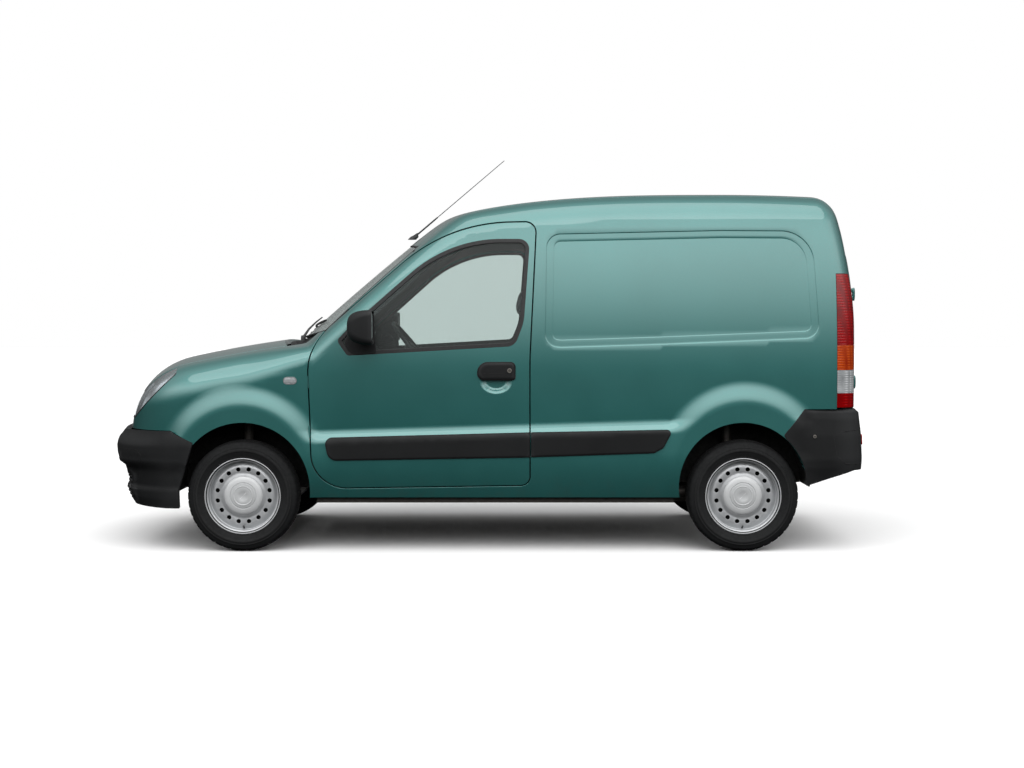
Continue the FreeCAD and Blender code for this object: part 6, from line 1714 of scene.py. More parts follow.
def lamp_sheet(shrink, depth, wall, relief=None, pitch=PITCH, hem=HEM_RADIUS):
    lamp = outline(HEADLAMP_CORNERS, -shrink)
    front = outline(BONNET_FRONT, OUTSIDE + shrink)
    chart = SideChart(NOSE_TURN_X, FRONT_AXLE_X + 560 * MM, 0.0)

    def keep(p):
        x, y, z = p.T
        result = inside(side_of(p), lamp) & ~inside(end_of(p), front) & (y < -LAMP_INNER_Y - shrink)
        result &= (z > LAMP_BOTTOM_Z + shrink) & (z < LAMP_CUT_Z)
        return result & ((y < -BONNET_SEAM_Y) | (z < LAMP_NOSE_CUT_Z))

    edges = lamp_curves(shrink, depth)
    return panel(chart, edges, keep, wall, relief=relief, depth=depth, pitch=pitch, hem=hem)


def bowls(p):
    result = np.zeros(len(p))
    for bowl in (BOWL, SIDE_BOWL):
        reach = np.hypot(p[:, 1] - bowl["y"], p[:, 2] - bowl["z"]) / bowl["radius"]
        result = result + bowl["depth"] * (1 - np.clip(reach, 0, 1) ** 2)
    return result


lens_sheet = lamp_sheet(HEM, 0.0, LENS_WALL)
place_pair(lens_sheet, "headlamp_lens", "van", "lamp_clear", "lens", replaces="headlamps")
bowl_sheet = lamp_sheet(4 * MM, REFLECTOR_DEPTH, 2 * MM, bowls, 7 * MM, 1 * MM)
place_pair(bowl_sheet, "headlamp_bowl", "van", "lamp_clear", "silver")
lens_edge = outline(HEADLAMP_CORNERS, 0.0)
lens_edge = np.array([(x, z) for x, z in lens_edge if x > NOSE_X + 0.13 and z < LAMP_TAIL_Z + 2 * MM])
lens_edge = lens_edge[np.argsort(lens_edge[:, 1] + 0.2 * lens_edge[:, 0])]
gasket = skin_tube("headlamp_gasket", from_side(filled(lens_edge, 8 * MM)), 3.6 * MM, False, 1.2 * MM)
place_twice(gasket, "headlamp_gasket", "van", "trim", "rubber")
DIVIDER = [(-1.905, 0.700), (-1.85, 0.765), (-1.79, 0.84), (-1.735, 0.905)]
divider = skin_tube("headlamp_divider", from_side(filled(DIVIDER, 10 * MM)), 5 * MM, False, 13 * MM)
place_twice(divider, "headlamp_divider", "van", "lamp_clear", "grey_trim")
bulb_at = hit(np.array([[NOSE_TURN_X, BOWL["y"], BOWL["z"]]]), np.array([[-1.0, 0.0, 0.0]]), skin,
              REFLECTOR_DEPTH + BOWL["depth"] - 6 * MM)[0]
bulb = tube("headlamp_bulb", [bulb_at + Vector((8 * MM, 0, 0)), bulb_at, bulb_at - Vector((16 * MM, 0, 0)),
                              bulb_at - Vector((26 * MM, 0, 0)), bulb_at - Vector((30 * MM, 0, 0))],
            np.array([11, 10, 9, 8, 3]) * MM, sides=24, up=(0, 1, 0))
place_twice(bulb, "headlamp_bulb", "van", "lamp_clear", "bulb")

TAIL_SECTIONS = (
    ("foot", 752, 826, "lamp_red", "red"),
    ("reverse", 826, 946, "lamp_clear", "clear"),
    ("turn", 946, 1076, "lamp_red", "amber"),
    ("stop", 1076, 1446, "lamp_red", "red"),
)
TAIL_LAMP_PROUD = 3 * MM
TAIL_LAMP_WALL = 26 * MM


def tail_lens(low, high):
    grow = 0.4 * MM
    lamp_x = TAIL_LAMP_X + HEM
    inner_y = -TAIL_LAMP_INNER_Y - HEM
    zs = np.linspace(low - OVERRUN, high + OVERRUN, 30)

    def level(p):
        return skin(p) - TAIL_LAMP_PROUD

    chart = SideChart(CABIN.start_x, CABIN.end_x, 0.0, level)
    curves = [(upright(chart, lamp_x, low - OVERRUN, high + OVERRUN, 10 * MM), False),
              (level_line(chart, low + grow + HEM, lamp_x - OVERRUN, TAIL_TURN_X + TAIL_LAMP_REACH), False),
              (level_line(chart, high - grow - HEM, lamp_x - OVERRUN, TAIL_TURN_X + TAIL_LAMP_REACH), False),
              (from_tail(rows(np.full(len(zs), inner_y), zs), level), False)]

    def keep(p):
        x, y, z = p.T
        return (x > lamp_x) & (y < inner_y) & (z > low + grow + HEM) & (z < high - grow - HEM)

    return panel(chart, curves, keep, TAIL_LAMP_WALL, pitch=14 * MM)


for index, (word, low, high, slot, finish) in enumerate(TAIL_SECTIONS):
    lens = tail_lens(low * MM, high * MM)
    place_pair(lens, f"tail_lens_{word}", "van", slot, finish, replaces="" if index else "tail_lamps")
rim_line = [(TAIL_LAMP_X, z) for z in np.linspace(0.755, TAIL_LAMP_HIGH_Z, 60)]
rim = skin_tube("tail_lamp_rim", from_side(rim_line), 2.6 * MM, False, 1.5 * MM)
place_twice(rim, "tail_lamp_rim", "van", "trim", "rubber")
print("glass, bumpers and lamps", len(PIECES), "pieces")

# %% [markdown]
# ## 11. Wheels
#
# A tyre is a turned profile with round grooves; its tread blocks and sipes come from a second small
# change of radius round the wheel. The pressed wheel is a flat ring with sixteen round holes, bent along
# its radius, with a turned cap over the hub.

# %%
TYRE_RADIUS = 290 * MM
BEAD_RADIUS = 183 * MM
TYRE_STEPS = 240
BLOCK_STEPS = 6
SIPE_DEPTH = 3 * MM
DISC_OUTER = 184 * MM
DISC_INNER = 58 * MM
DISC_BLUR = 2.5 * MM
HOLE_COUNT = 16
HOLE_RADIUS = 13 * MM
HOLE_RING = 138 * MM
CAP_BASE = 47.6 * MM
# Half profile of the tyre: radius and distance from its middle, from the bead to the tread
TYRE_PROFILE_MM = (
    (186, 60), (188, 67.5), (193, 70.5), (199, 71.5), (200.5, 73.5), (204, 74.4), (205.5, 73.2),
    (216, 76.5), (226, 79.4), (233, 81), (234, 82), (241, 82.4), (242, 81.6), (250, 80.6), (251, 81.4),
    (254, 81.2), (255, 80.0), (266, 75.8), (270, 74.6), (277, 71), (281, 67.5), (284.5, 62.5), (287, 58),
)
TREAD_MM = (
    (288, 52), (288.4, 46.5), (281.6, 45.5), (281.6, 39), (288.8, 38), (289.4, 25), (289.6, 19),
    (281.8, 18), (281.8, 11), (290, 10), (290, 0.01),
)
HUBS = (
    ("wheel_front_left", "front_left", FRONT_AXLE_X, -1),
    ("wheel_front_right", "front_right", FRONT_AXLE_X, 1),
    ("wheel_rear_left", "rear_left", REAR_AXLE_X, -1),
    ("wheel_rear_right", "rear_right", REAR_AXLE_X, 1),
)


def tyre_mesh(name, centre, out):
    half = in_metres(TYRE_PROFILE_MM + TREAD_MM)
    lining = [(BEAD_RADIUS + 8 * MM, 50 * MM), (270 * MM, 62 * MM), (275 * MM, 40 * MM)]
    profile = half + [(r, -a) for r, a in half[::-1][1:]] + [(r, -a) for r, a in lining] + lining[::-1]
    rings = []
    for index in range(TYRE_STEPS):
        turn = 2 * math.pi * index / TYRE_STEPS
        ring = []
        for radius, along_axis in profile:
            shift = BLOCK_STEPS // 2 if abs(along_axis) > 30 * MM else 0
            sipe = (index + shift) % BLOCK_STEPS == 0
            outer = radius > 286 * MM and abs(along_axis) > 19.5 * MM
            reach = radius - SIPE_DEPTH if sipe and outer else radius
            if 276 * MM < radius < 286 * MM and sipe and abs(along_axis) > 60 * MM:
                reach = radius - 0.6 * SIPE_DEPTH
            ring.append((centre[0] + reach * math.cos(turn), centre[1] + out * along_axis,
                         centre[2] + reach * math.sin(turn)))
        rings.append(ring)
    return loft(name, rings, closed=True, caps=False)


def disc_face(reach):
    """How far out the pressed face stands, along the axle."""
    knots = np.array([58, 96, 106, 118, 128, 150, 160, 172, 180, 190]) * MM
    heights = np.array([47, 47, 45, 39, 41, 41, 37, 29, 28, 28]) * MM
    return blurred(reach, knots, heights, DISC_BLUR)


# Turned pieces of a wheel: name, profile, shift along the axle, steps, closed, slot and finish
RIM_LIP_MM = (
    (180, 27), (184.5, 28), (186, 32), (187, 50), (186.5, 57), (190, 60.5), (194, 62), (196, 65.5),
    (198, 69.5), (197.5, 72.5), (194.5, 73), (192.5, 70.5), (190.5, 66.5), (186, 64.5), (182, 62),
    (180.5, 50), (180, 36), (178, 31),
)
RIM_WELL_MM = (
    (180, 30), (178, 0), (168, -10), (168, -40), (182, -50), (184, -60), (197, -64), (197, -68),
    (188, -68), (180, -58), (164, -48), (164, -6), (174, 4), (176, 30),
)
HUB_CAP_MM = (
    (0.1, 11.6), (22, 11.4), (24, 12.2), (43, 11.8), (45, 11.6), (47, 12.8), (50, 12.8), (52, 11.0),
    (63.5, 9.8), (65.5, 7.4), (68, 7.2), (70, 9.0), (82, 7.6), (92, 5.0), (97, 2.2), (99.5, -1.0), (100, -5),
)
BRAKE_PLATE_MM = (
    (0.1, -4), (60, -4), (62, -8), (116, -8), (118, -10), (156, -10), (158, -13), (158, -17), (0.1, -17),
)
TURNED = (
    ("rim_lip", RIM_LIP_MM, 0.0, 160, True, "wheel", "wheel"),
    ("rim_well", RIM_WELL_MM, 0.0, 96, True, "wheel", "wheel"),
    ("hub_cap", HUB_CAP_MM, CAP_BASE, 128, False, "wheel", "cap"),
    ("brake_plate", BRAKE_PLATE_MM, 0.0, 96, True, "iron", "seam"),
)
VALVE_SHARES = (0, 0.5, 0.52, 0.85, 0.87, 1.0)
VALVE_RADII_MM = (4.6, 4.0, 3.2, 3.2, 4.2, 3.6)


def disc_holes():
    holes = []
    for index in range(HOLE_COUNT):
        turn = 2 * math.pi * (index + 0.5) / HOLE_COUNT
        spot = (HOLE_RING * math.cos(turn), HOLE_RING * math.sin(turn))
        holes.append(circle(spot, HOLE_RADIUS, 3 * MM))
    return holes


def disc_sheet(centre_x, centre_z):
    """The pressed disc of a right-hand wheel, cut flat and bent along its radius."""
    holes = disc_holes()
    curves = [(circle((0, 0), radius, 10 * MM), True) for radius in (DISC_OUTER, DISC_INNER)]
    curves += [(hole, True) for hole in holes]
    far_corner = np.array([DISC_ROWS_HALF, DISC_ROWS_HALF])
    flat, triangles = flat_triangles(curves, -far_corner, far_corner, 8 * MM)
    middle = flat[triangles].mean(axis=1)
    reach = np.hypot(middle[:, 0], middle[:, 1])
    keep = (reach < DISC_OUTER) & (reach > DISC_INNER)
    for hole in holes:
        keep &= ~inside(middle, hole)
    used, triangles = np.unique(triangles[keep], return_inverse=True)
    triangles = triangles.reshape(-1, 3)
    flat = flat[used]
    reach = np.hypot(flat[:, 0], flat[:, 1])
    slope = (disc_face(reach + 1 * MM) - disc_face(reach - 1 * MM)) / (2 * MM)
    points = rows(flat[:, 0], disc_face(reach), flat[:, 1])
    normals = unit(rows(-slope * flat[:, 0] / reach, np.ones(len(flat)), -slope * flat[:, 1] / reach))
    first, second, third = (points[triangles[:, corner_index]] for corner_index in range(3))
    if np.cross(second - first, third - first)[:, 1].sum() < 0:
        triangles = triangles[:, ::-1]
    all_points, faces, shades = thick_sheet(points, normals, triangles, 4 * MM, 1.2 * MM)
    return all_points + np.array([centre_x, HALF_TRACK, centre_z]), faces, shades


def wheel_pieces(body, word, axle_x, side):
    centre = np.array([axle_x, side * HALF_TRACK, TYRE_RADIUS])
    tyre = place(tyre_mesh(f"tyre_{word}_tread", centre, side), body, "tyre", replaces=(f"tyre_{word}",))
    disc = made(f"wheel_disc_{word}", disc_sheet(centre[0], centre[2]), -side)
    place(disc, body, "wheel", replaces=(f"rim_{word}",))
    carrier = f"knuckle_{'left' if side < 0 else 'right'}" if axle_x < 0 else "van"
    for name, profile, shift, steps, closed, slot, finish in TURNED:
        turned = lathe(f"{name}_{word}", in_metres(profile, shift), centre, steps, out=side, closed=closed)
        place(turned, carrier if name == "brake_plate" else body, slot, finish)
    down = np.array([0.0, 0.0, -1.0])
    base = centre + down * 171 * MM + np.array([0, side * 30 * MM, 0])
    tip = centre + down * 158 * MM + np.array([0, side * 58 * MM, 0])
    line = [base + (tip - base) * share for share in VALVE_SHARES]
    place(tube(f"valve_{word}", line, np.array(VALVE_RADII_MM) * MM, sides=14), body, "tyre", "rubber")
    return tyre


for hub in HUBS:
    tyre = wheel_pieces(*hub)
print("wheels", triangle_count(tyre), "triangles in one tyre")

# %% [markdown]
# ## 12. Outside trim
#
# Mirrors, door handles, rubbing strips, side lamps, wipers, hinges, the aerial and the tray under the
# windscreen.

# %%
MIRROR_X = DOOR_FRONT_X + 285 * MM
MIRROR_Z = 1168 * MM
MIRROR_LENGTH = 130 * MM
MIRROR_HEIGHT = 175 * MM
MIRROR_INNER_Y = 845 * MM
MIRROR_OUTER_Y = 985 * MM
MIRROR_MIDDLE_Y = -(MIRROR_INNER_Y + MIRROR_OUTER_Y) / 2
MIRROR_HALF_Y = (MIRROR_OUTER_Y - MIRROR_INNER_Y) / 2
MIRROR_STATIONS = ((0.0, 0.30), (0.03, 0.50), (0.10, 0.68), (0.22, 0.82), (0.40, 0.92), (0.60, 0.98),
                   (0.80, 1.0), (0.97, 1.0), (1.0, 0.975))
MIRROR_REAR_STATIONS = ((1.0, 0.93), (0.94, 0.92), (0.93, 0.02))
MIRROR_GLASS_STATIONS = ((0.945, 0.84), (0.962, 0.87), (0.968, 0.85), (0.972, 0.4), (0.973, 0.02))


def rounded_ring(half_u, half_v, radius, count=10):
    """Corners of a rounded rectangle round the origin."""
    ring = []
    for index, (su, sv) in enumerate(((1, 1), (-1, 1), (-1, -1), (1, -1))):
        for piece in range(count + 1):
            turn = math.radians(90 * index + 90 * piece / count)
            ring.append((su * (half_u - radius) + radius * math.cos(turn),
                         sv * (half_v - radius) + radius * math.sin(turn)))
    return ring


def mirror_ring(share, grow, radius):
    """A rounded outline of the mirror at a share of its length."""
    x = MIRROR_X - MIRROR_LENGTH / 2 + share * MIRROR_LENGTH
    ring = rounded_ring(MIRROR_HALF_Y * grow, MIRROR_HEIGHT / 2 * grow, radius)
    return [(x, MIRROR_MIDDLE_Y + u, MIRROR_Z + v) for u, v in ring]


def mirror_head():
    """A rounded shell that narrows towards its nose; the glass sits in its rear face."""
    rings = []
    for share, grow in MIRROR_STATIONS:
        smaller = min(MIRROR_HALF_Y, MIRROR_HEIGHT / 2 * grow)
        rings.append(mirror_ring(share, grow, smaller * (0.75 - 0.35 * share)))
    for share, grow in MIRROR_REAR_STATIONS:
        rings.append(mirror_ring(share, grow, min(MIRROR_HALF_Y, MIRROR_HEIGHT / 2 * grow) * 0.4))
    return loft("mirror_head", rings)


def mirror_glass():
    rings = [mirror_ring(share, grow, MIRROR_HALF_Y * grow * 0.45) for share, grow in MIRROR_GLASS_STATIONS]
    return loft("mirror_glass", rings)


place_twice(mirror_head(), "mirror_head", "door_{}", "trim", "bumper")
place_twice(mirror_glass(), "mirror_glass", "door_{}", "wheel", "mirror")
arm_line = [(MIRROR_X + 0.012, -0.870, MIRROR_Z - 0.055), (MIRROR_X + 0.012, -0.840, MIRROR_Z - 0.058),
            (MIRROR_X + 0.010, -0.800, MIRROR_Z - 0.066), (MIRROR_X + 0.006, -0.765, MIRROR_Z - 0.078)]
arm = tube("mirror_arm", arm_line, np.array([20, 22, 26, 32]) * MM, sides=20, flat=0.8)
place_twice(arm, "mirror_arm", "door_{}", "trim", "bumper")
SAIL = [(-0.745, 1.020, 0.060), (-0.545, 1.036, 0.012), (-0.560, 1.245, 0.02), (-0.645, 1.205, 0.03)]
sail = ring_panel(DOOR, outline(SAIL), None, from_side, side_of, 6 * MM, -4 * MM, 3 * MM, 12 * MM)
place_pair(sail, "mirror_sail", "door_{}", "trim", "bumper", replaces="door_trim_{}")

# Door handle: a half-moon flap over the pressed bowl, and a lock
HANDLE = [(-0.020, 0.896, 0.034), (0.176, 0.896, 0.014), (0.176, 0.988, 0.026), (-0.020, 0.988, 0.056)]


def domed_sheet(corners, height, slope, wall, depth, pitch, rings=(), hem=HEM_RADIUS, offset=0.0,
                edge_pitch=15 * MM):
    """A piece on the flank whose face rises from its edge in a quarter circle."""
    edge = outline(corners, offset, edge_pitch)

    def dome(p):
        share = np.clip(edge_distance(side_of(p), edge) / slope, 0, 1)
        return -height * np.sqrt(1 - (1 - share) ** 2)

    def keep(p):
        return inside(side_of(p), edge)

    curves = [(from_side(edge), True)] + [(from_side(outline(corners, -ring * MM)), True) for ring in rings]
    return panel(DOOR, curves, keep, wall, pitch=pitch, relief=dome, depth=depth, hem=hem)


handle = domed_sheet(HANDLE, 9 * MM, 16 * MM, 9 * MM, -5 * MM, 8 * MM, (5, 10))
place_pair(handle, "handle_flap", "door_{}", "trim", "bumper")
HANDLE_SLOT = [(0.005, 0.915, 0.01), (0.120, 0.915, 0.01), (0.120, 0.930, 0.006), (0.015, 0.930, 0.006)]
slot_tube = skin_tube("handle_slot", from_side(outline(HANDLE_SLOT)), 1.6 * MM, True, -13.2 * MM, sides=6)
place_twice(slot_tube, "handle_slot", "door_{}", "trim", "seam")
LOCK = (0.146, 0.944)
LOCK_PROFILE_MM = ((0.1, 15), (4, 15), (5, 14), (6, 16), (9.5, 16.6), (11.5, 15.5), (12, 8))
lock = lathe("door_lock", in_metres(LOCK_PROFILE_MM), from_side([LOCK])[0], 40, "y", -1.0, closed=False)
place_twice(lock, "door_lock", "door_{}", "iron", "iron")

# Rubbing strips
DOOR_STRIP = [(-0.812, 0.597, 0.035), (0.250, 0.625, 0.004), (0.250, 0.497, 0.004), (-0.788, 0.480, 0.05)]
REAR_STRIP = [(0.2585, 0.6255, 0.004), (0.989, 0.639, 0.018), (0.940, 0.545, 0.04), (0.893, 0.519, 0.03),
              (0.2585, 0.4985, 0.004)]
STRIPS = ((DOOR_STRIP, "door_strip", "door_{}", ""), (REAR_STRIP, "rear_strip", "van", "side_mouldings"))
for corners, name, body, stood_for in STRIPS:
    rubbing_strip = domed_sheet(corners, 6 * MM, 12 * MM, 10 * MM, -4.5 * MM, 16 * MM, (4, 8, 12))
    place_pair(rubbing_strip, name, body, "trim", "bumper", replaces=stood_for)

# Side lamp of the wing: a clear oval on a grey rim
REPEATER = [(-1.023, 0.873, 0.019), (-0.954, 0.873, 0.019), (-0.954, 0.911, 0.019), (-1.023, 0.911, 0.019)]
OVAL = dict(pitch=5 * MM, hem=0.8 * MM, edge_pitch=4 * MM)
oval_rim = domed_sheet(REPEATER, 2 * MM, 6 * MM, 6 * MM, -1.5 * MM, **OVAL)
place_pair(oval_rim, "side_lamp_rim", "van", "lamp_clear", "grey_trim")
oval_lens = domed_sheet(REPEATER, 4 * MM, 9 * MM, 5 * MM, -3 * MM, offset=-4.5 * MM, **OVAL)
place_pair(oval_lens, "side_lamp", "van", "lamp_clear", "clear")

# Door hinges of the rear, in paint, and the tail's handle
for word, side in SIDES:
    rear_hinges = []
    for z in (0.880, 1.340):
        base = from_end([(-0.655 - 12 * MM, z)], REAR_AXLE_X, 1.0)[0]
        turns = np.linspace(-0.034, 0.034, 7)
        line = [(base[0] + 10 * MM, base[1], z + t) for t in turns]
        rear_hinges.append(tube("pin", line, np.array([5, 7.5, 8, 8, 8, 7.5, 5]) * MM, sides=16))
        for shift in (-0.020, 0.020):
            leaf_z = z + shift
            rear_hinges.append(block("leaf", (base[0] - 4 * MM, base[1] - 6 * MM, leaf_z - 11 * MM),
                                     (base[0] + 12 * MM, base[1] + 26 * MM, leaf_z + 11 * MM), 3 * MM))
    piece = joined(f"rear_hinge_knuckles_{word}", rear_hinges)
    if side > 0:
        piece.data.transform(Matrix.Scale(-1, 4, (0, 1, 0)))
        piece.data.flip_normals()
    place(finish_mesh(piece), f"rear_door_{word}", "paint")
tail_handle = from_tail([(REAR_SPLIT_Y - 0.06, 1.03)])[0]
handle_parts = [block("grip", (tail_handle[0] - 2 * MM, tail_handle[1] - 52 * MM, 1.008),
                      (tail_handle[0] + 14 * MM, tail_handle[1] + 40 * MM, 1.052), 9 * MM, 4),
                block("foot", (tail_handle[0] - 6 * MM, tail_handle[1] - 60 * MM, 0.998),
                      (tail_handle[0] + 4 * MM, tail_handle[1] + 48 * MM, 1.062), 4 * MM)]
place(joined("tail_handle", handle_parts), "rear_door_left", "trim", "bumper")

# Wipers and the tray under the windscreen
SCUTTLE_DEPTH = 14 * MM
# The bonnet's rear edge dips as it opens, so the tray starts this far behind it
SCUTTLE_FRONT_INSET = 24 * MM


def scuttle_sheet():
    half = BONNET_SEAM_Y - 6 * MM
    ys = np.linspace(-half - OVERRUN, half + OVERRUN, 90)
    front_x = BONNET_REAR_X + OUTSIDE + SCUTTLE_FRONT_INSET

    def level(p):
        return skin(p) + SCUTTLE_DEPTH

    front = from_screen(rows(front_x + arc_drop(ys, PLAN_BOW_RADIUS), ys), level)
    foot = from_screen(rows(SCREEN_FOOT_X + 10 * MM + arc_drop(ys, SCREEN_FOOT_BOW_RADIUS), ys), level)
    curves = [(front, False), (foot, False)]
    xs = np.linspace(BONNET_REAR_X - 0.05, SCREEN_FOOT_X + 0.25, 30)
    for side in (-1, 1):
        curves.append((from_screen(rows(xs, np.full(len(xs), side * half)), level), False))
    slots = []
    for index in range(14):
        y = -0.39 + 0.06 * index
        x = BONNET_REAR_X + 52 * MM + arc_drop(y, 1.9)
        slots.append(outline([(x, y - VENT_HALF, VENT_CORNER), (x + 22 * MM, y - VENT_HALF, VENT_CORNER),
                              (x + 22 * MM, y + VENT_HALF, VENT_CORNER), (x, y + VENT_HALF, VENT_CORNER)]))
    curves += [(from_screen(slot, level), True) for slot in slots]

    def keep(p):
        x, y, _ = p.T
        result = (np.abs(y) < half) & (x > front_x + arc_drop(y, PLAN_BOW_RADIUS))
        result &= x < SCREEN_FOOT_X + 10 * MM + arc_drop(y, SCREEN_FOOT_BOW_RADIUS)
        for slot in slots:
            result &= ~inside(plan_of(p), slot)
        return result

    return panel(SCREEN_CHART, curves, keep, 5 * MM, depth=SCUTTLE_DEPTH)


place(made("scuttle_panel", scuttle_sheet()), "van", "trim", "bumper", replaces=("scuttle",))


def on_screen(x, y, proud):
    point = from_screen([(x, y)])
    return (point + normals_of(skin, point) * proud)[0]


def wiper(name, spindle, tip, start):
    """An arm from its spindle, and a blade that lies along the foot of the glass."""
    pivot = on_screen(*spindle, 6 * MM)
    middle = on_screen((start[0] + tip[0]) / 2, (start[1] + tip[1]) / 2, 16 * MM)
    arm_line = [pivot, pivot + (middle - pivot) * 0.3 + Vector((0, 0, 14 * MM)),
                pivot + (middle - pivot) * 0.7 + Vector((0, 0, 11 * MM)), middle + Vector((0, 0, 3 * MM))]
    pieces = [tube("arm", arm_line, np.array([9, 6.5, 5, 4]) * MM, sides=10, flat=0.8)]
    count = 15
    start_drop = arc_drop(start[1], SCREEN_FOOT_BOW_RADIUS)
    tip_drop = arc_drop(tip[1], SCREEN_FOOT_BOW_RADIUS)
    blade = []
    for index in range(count):
        share = index / (count - 1)
        x = start[0] + (tip[0] - start[0]) * share
        y = start[1] + (tip[1] - start[1]) * share
        x += arc_drop(y, SCREEN_FOOT_BOW_RADIUS) - (start_drop * (1 - share) + tip_drop * share)
        blade.append(on_screen(x, y, 6 * MM))
    pieces.append(tube("blade", blade, np.array([3] + [4.2] * (count - 2) + [3]) * MM, sides=8, flat=1.7))
    hub = lathe("hub", [(0.1 * MM, 12 * MM), (10 * MM, 11 * MM), (13 * MM, 7 * MM), (14 * MM, -14 * MM)],
                pivot, 28, "z", closed=False)
    place(joined(name, pieces + [hub]), "van", "trim", "rubber")


# Name, then spindle, tip and start of the blade: millimetres behind the foot of the glass, and Y
WIPERS = (
    ("wiper_left", (26, -0.36), (58, 0.14), (170, -0.50)),
    ("wiper_right", (16, 0.12), (150, 0.46), (40, 0.02)),
)
for name, *places in WIPERS:
    wiper(name, *[(SCREEN_FOOT_X + behind * MM, y) for behind, y in places])

# Aerial: a foot, a thick spring part and a thin rod
AERIAL_BASE = Vector((HEADER_X + 15.5 * MM, 0.0, ROOF_Z - 219 * MM))
AERIAL_TIP = Vector((HEADER_X + 528.5 * MM, 0.0, ROOF_Z + 215 * MM))
foot_rings = []
for radius, rise in ((19, -12), (19, 2), (17, 6), (11, 12), (7, 20), (4.5, 26)):
    lean = rise * MM * 0.9
    foot_rings.append([(AERIAL_BASE.x + lean + radius * MM * 1.25 * math.cos(t), radius * MM * math.sin(t),
                        AERIAL_BASE.z + rise * MM) for t in np.linspace(0, 2 * math.pi, 28, endpoint=False)])
foot = loft("aerial_foot", foot_rings)
way = AERIAL_TIP - AERIAL_BASE
line = [AERIAL_BASE + way * share for share in (0.02, 0.05, 0.24, 0.26, 0.262, 0.6, 1.0)]
rod = tube("aerial_rod", line, np.array([4.8, 4.6, 4.2, 4.0, 2.3, 2.2, 1.9]) * MM, sides=12, up=(0, 1, 0))
COIL_POINTS = 240
COIL_TURN = 0.55
COIL_RADIUS = 4.6
square_on = Vector((-way.z, 0, way.x)).normalized()
coil_line = []
for i in range(COIL_POINTS + 1):
    round_it = Vector((0, math.cos(i * COIL_TURN), 0)) + square_on * math.sin(i * COIL_TURN)
    coil_line.append(AERIAL_BASE + way * (0.05 + 0.19 * i / COIL_POINTS) + round_it * COIL_RADIUS * MM)
coil = tube("aerial_coil", coil_line, 0.8 * MM, sides=5)
place(joined("aerial_mast", [foot, rod, coil]), "van", "trim", "rubber", replaces=("aerial",))
print("outside trim", len(PIECES), "pieces")

# %% [markdown]
# ## 13. The cab
#
# Seats are cushions swollen by a short cloth simulation, with sewn channels pressed in afterwards. The
# dashboard, steering wheel, door cards and roof lining are what shows through the windows.

# %%
SEAT_X = -90 * MM
SEAT_Y = 370 * MM
SEAT_LENGTH = 530 * MM
SEAT_BACK_HEIGHT = 620 * MM
SEAT_CUSHION_Z = 640 * MM
SEAT_HALF_WIDTH = 228 * MM
HEADREST_HALF_WIDTH = 124 * MM
CUSHION_SHARES = ((-0.556, -0.225, 0.10), (0.424, -0.225, 0.10), (0.424, -0.075, 0.09),
                  (-0.556, -0.012, 0.12))
BACK_SHARES = ((0.293, -0.085, 0.09), (0.500, -0.112, 0.09), (0.745, 0.862, 0.10), (0.576, 0.892, 0.10))
HEADREST_SHARES = ((0.510, 0.968, 0.06), (0.680, 0.938, 0.06), (0.716, 1.170, 0.075), (0.557, 1.194, 0.075))
CUSHION_RING = 60
CUSHION_ENDS = ((-1.0, -34), (-0.985, -20), (-0.94, -8), (-0.85, -2), (-0.6, 0), (-0.3, 0), (0.0, 0),
                (0.3, 0), (0.6, 0), (0.85, -2), (0.94, -8), (0.985, -20), (1.0, -34))
VOXEL = 9 * MM
PRESSURE = 4.0
SWELL_FRAMES = 16
SWELL_CAP = 8 * MM
CHANNEL_DEPTH = 7 * MM
CHANNEL_WIDTH = 8 * MM


def seat_corners(shares):
    return [(SEAT_X + u * SEAT_LENGTH, SEAT_CUSHION_Z + v * SEAT_BACK_HEIGHT, r * SEAT_LENGTH)
            for u, v, r in shares]


def resampled(points, count):
    closed = np.concatenate([points, points[:1]])
    lengths = np.concatenate([[0], np.cumsum(np.linalg.norm(np.diff(closed, axis=0), axis=1))])
    stops = np.linspace(0, lengths[-1], count, endpoint=False)
    return rows(np.interp(stops, lengths, closed[:, 0]), np.interp(stops, lengths, closed[:, 1]))


def cushion(name, shares, half_width):
    """A crowned block across the van, remeshed and swollen by pressure."""
    corners = seat_corners(shares)
    rings = []
    for share, offset in CUSHION_ENDS:
        flat = resampled(outline(corners, offset * MM), CUSHION_RING)
        rings.append(rows(flat[:, 0], np.full(len(flat), share * half_width), flat[:, 1]))
    piece = loft(name, rings)
    remesh = piece.modifiers.new("remesh", "REMESH")
    remesh.mode = "VOXEL"
    remesh.voxel_size = VOXEL
    settle(piece)
    start = np.array([v.co for v in piece.data.vertices])
    cloth = piece.modifiers.new("cloth", "CLOTH")
    cloth.settings.use_pressure = True
    cloth.settings.uniform_pressure_force = PRESSURE
    cloth.settings.effector_weights.gravity = 0.0
    for frame_number in range(1, SWELL_FRAMES + 1):
        bpy.context.scene.frame_set(frame_number)
    settle(piece)
    points = np.array([v.co for v in piece.data.vertices])
    moved = points - start
    size = np.linalg.norm(moved, axis=1, keepdims=True)
    points = start + moved * np.minimum(1.0, SWELL_CAP / np.maximum(size, 1e-9))
    write_points(piece, points)
    return piece


def settle(piece):
    """Applies what its modifiers make of a piece."""
    graph = bpy.context.evaluated_depsgraph_get()
    mesh = bpy.data.meshes.new_from_object(piece.evaluated_get(graph))
    piece.modifiers.clear()
    piece.data = mesh


def write_points(piece, points):
    piece.data.vertices.foreach_set("co", np.asarray(points, float).ravel())
    piece.data.polygons.foreach_set("use_smooth", [True] * len(piece.data.polygons))
    piece.data.update()


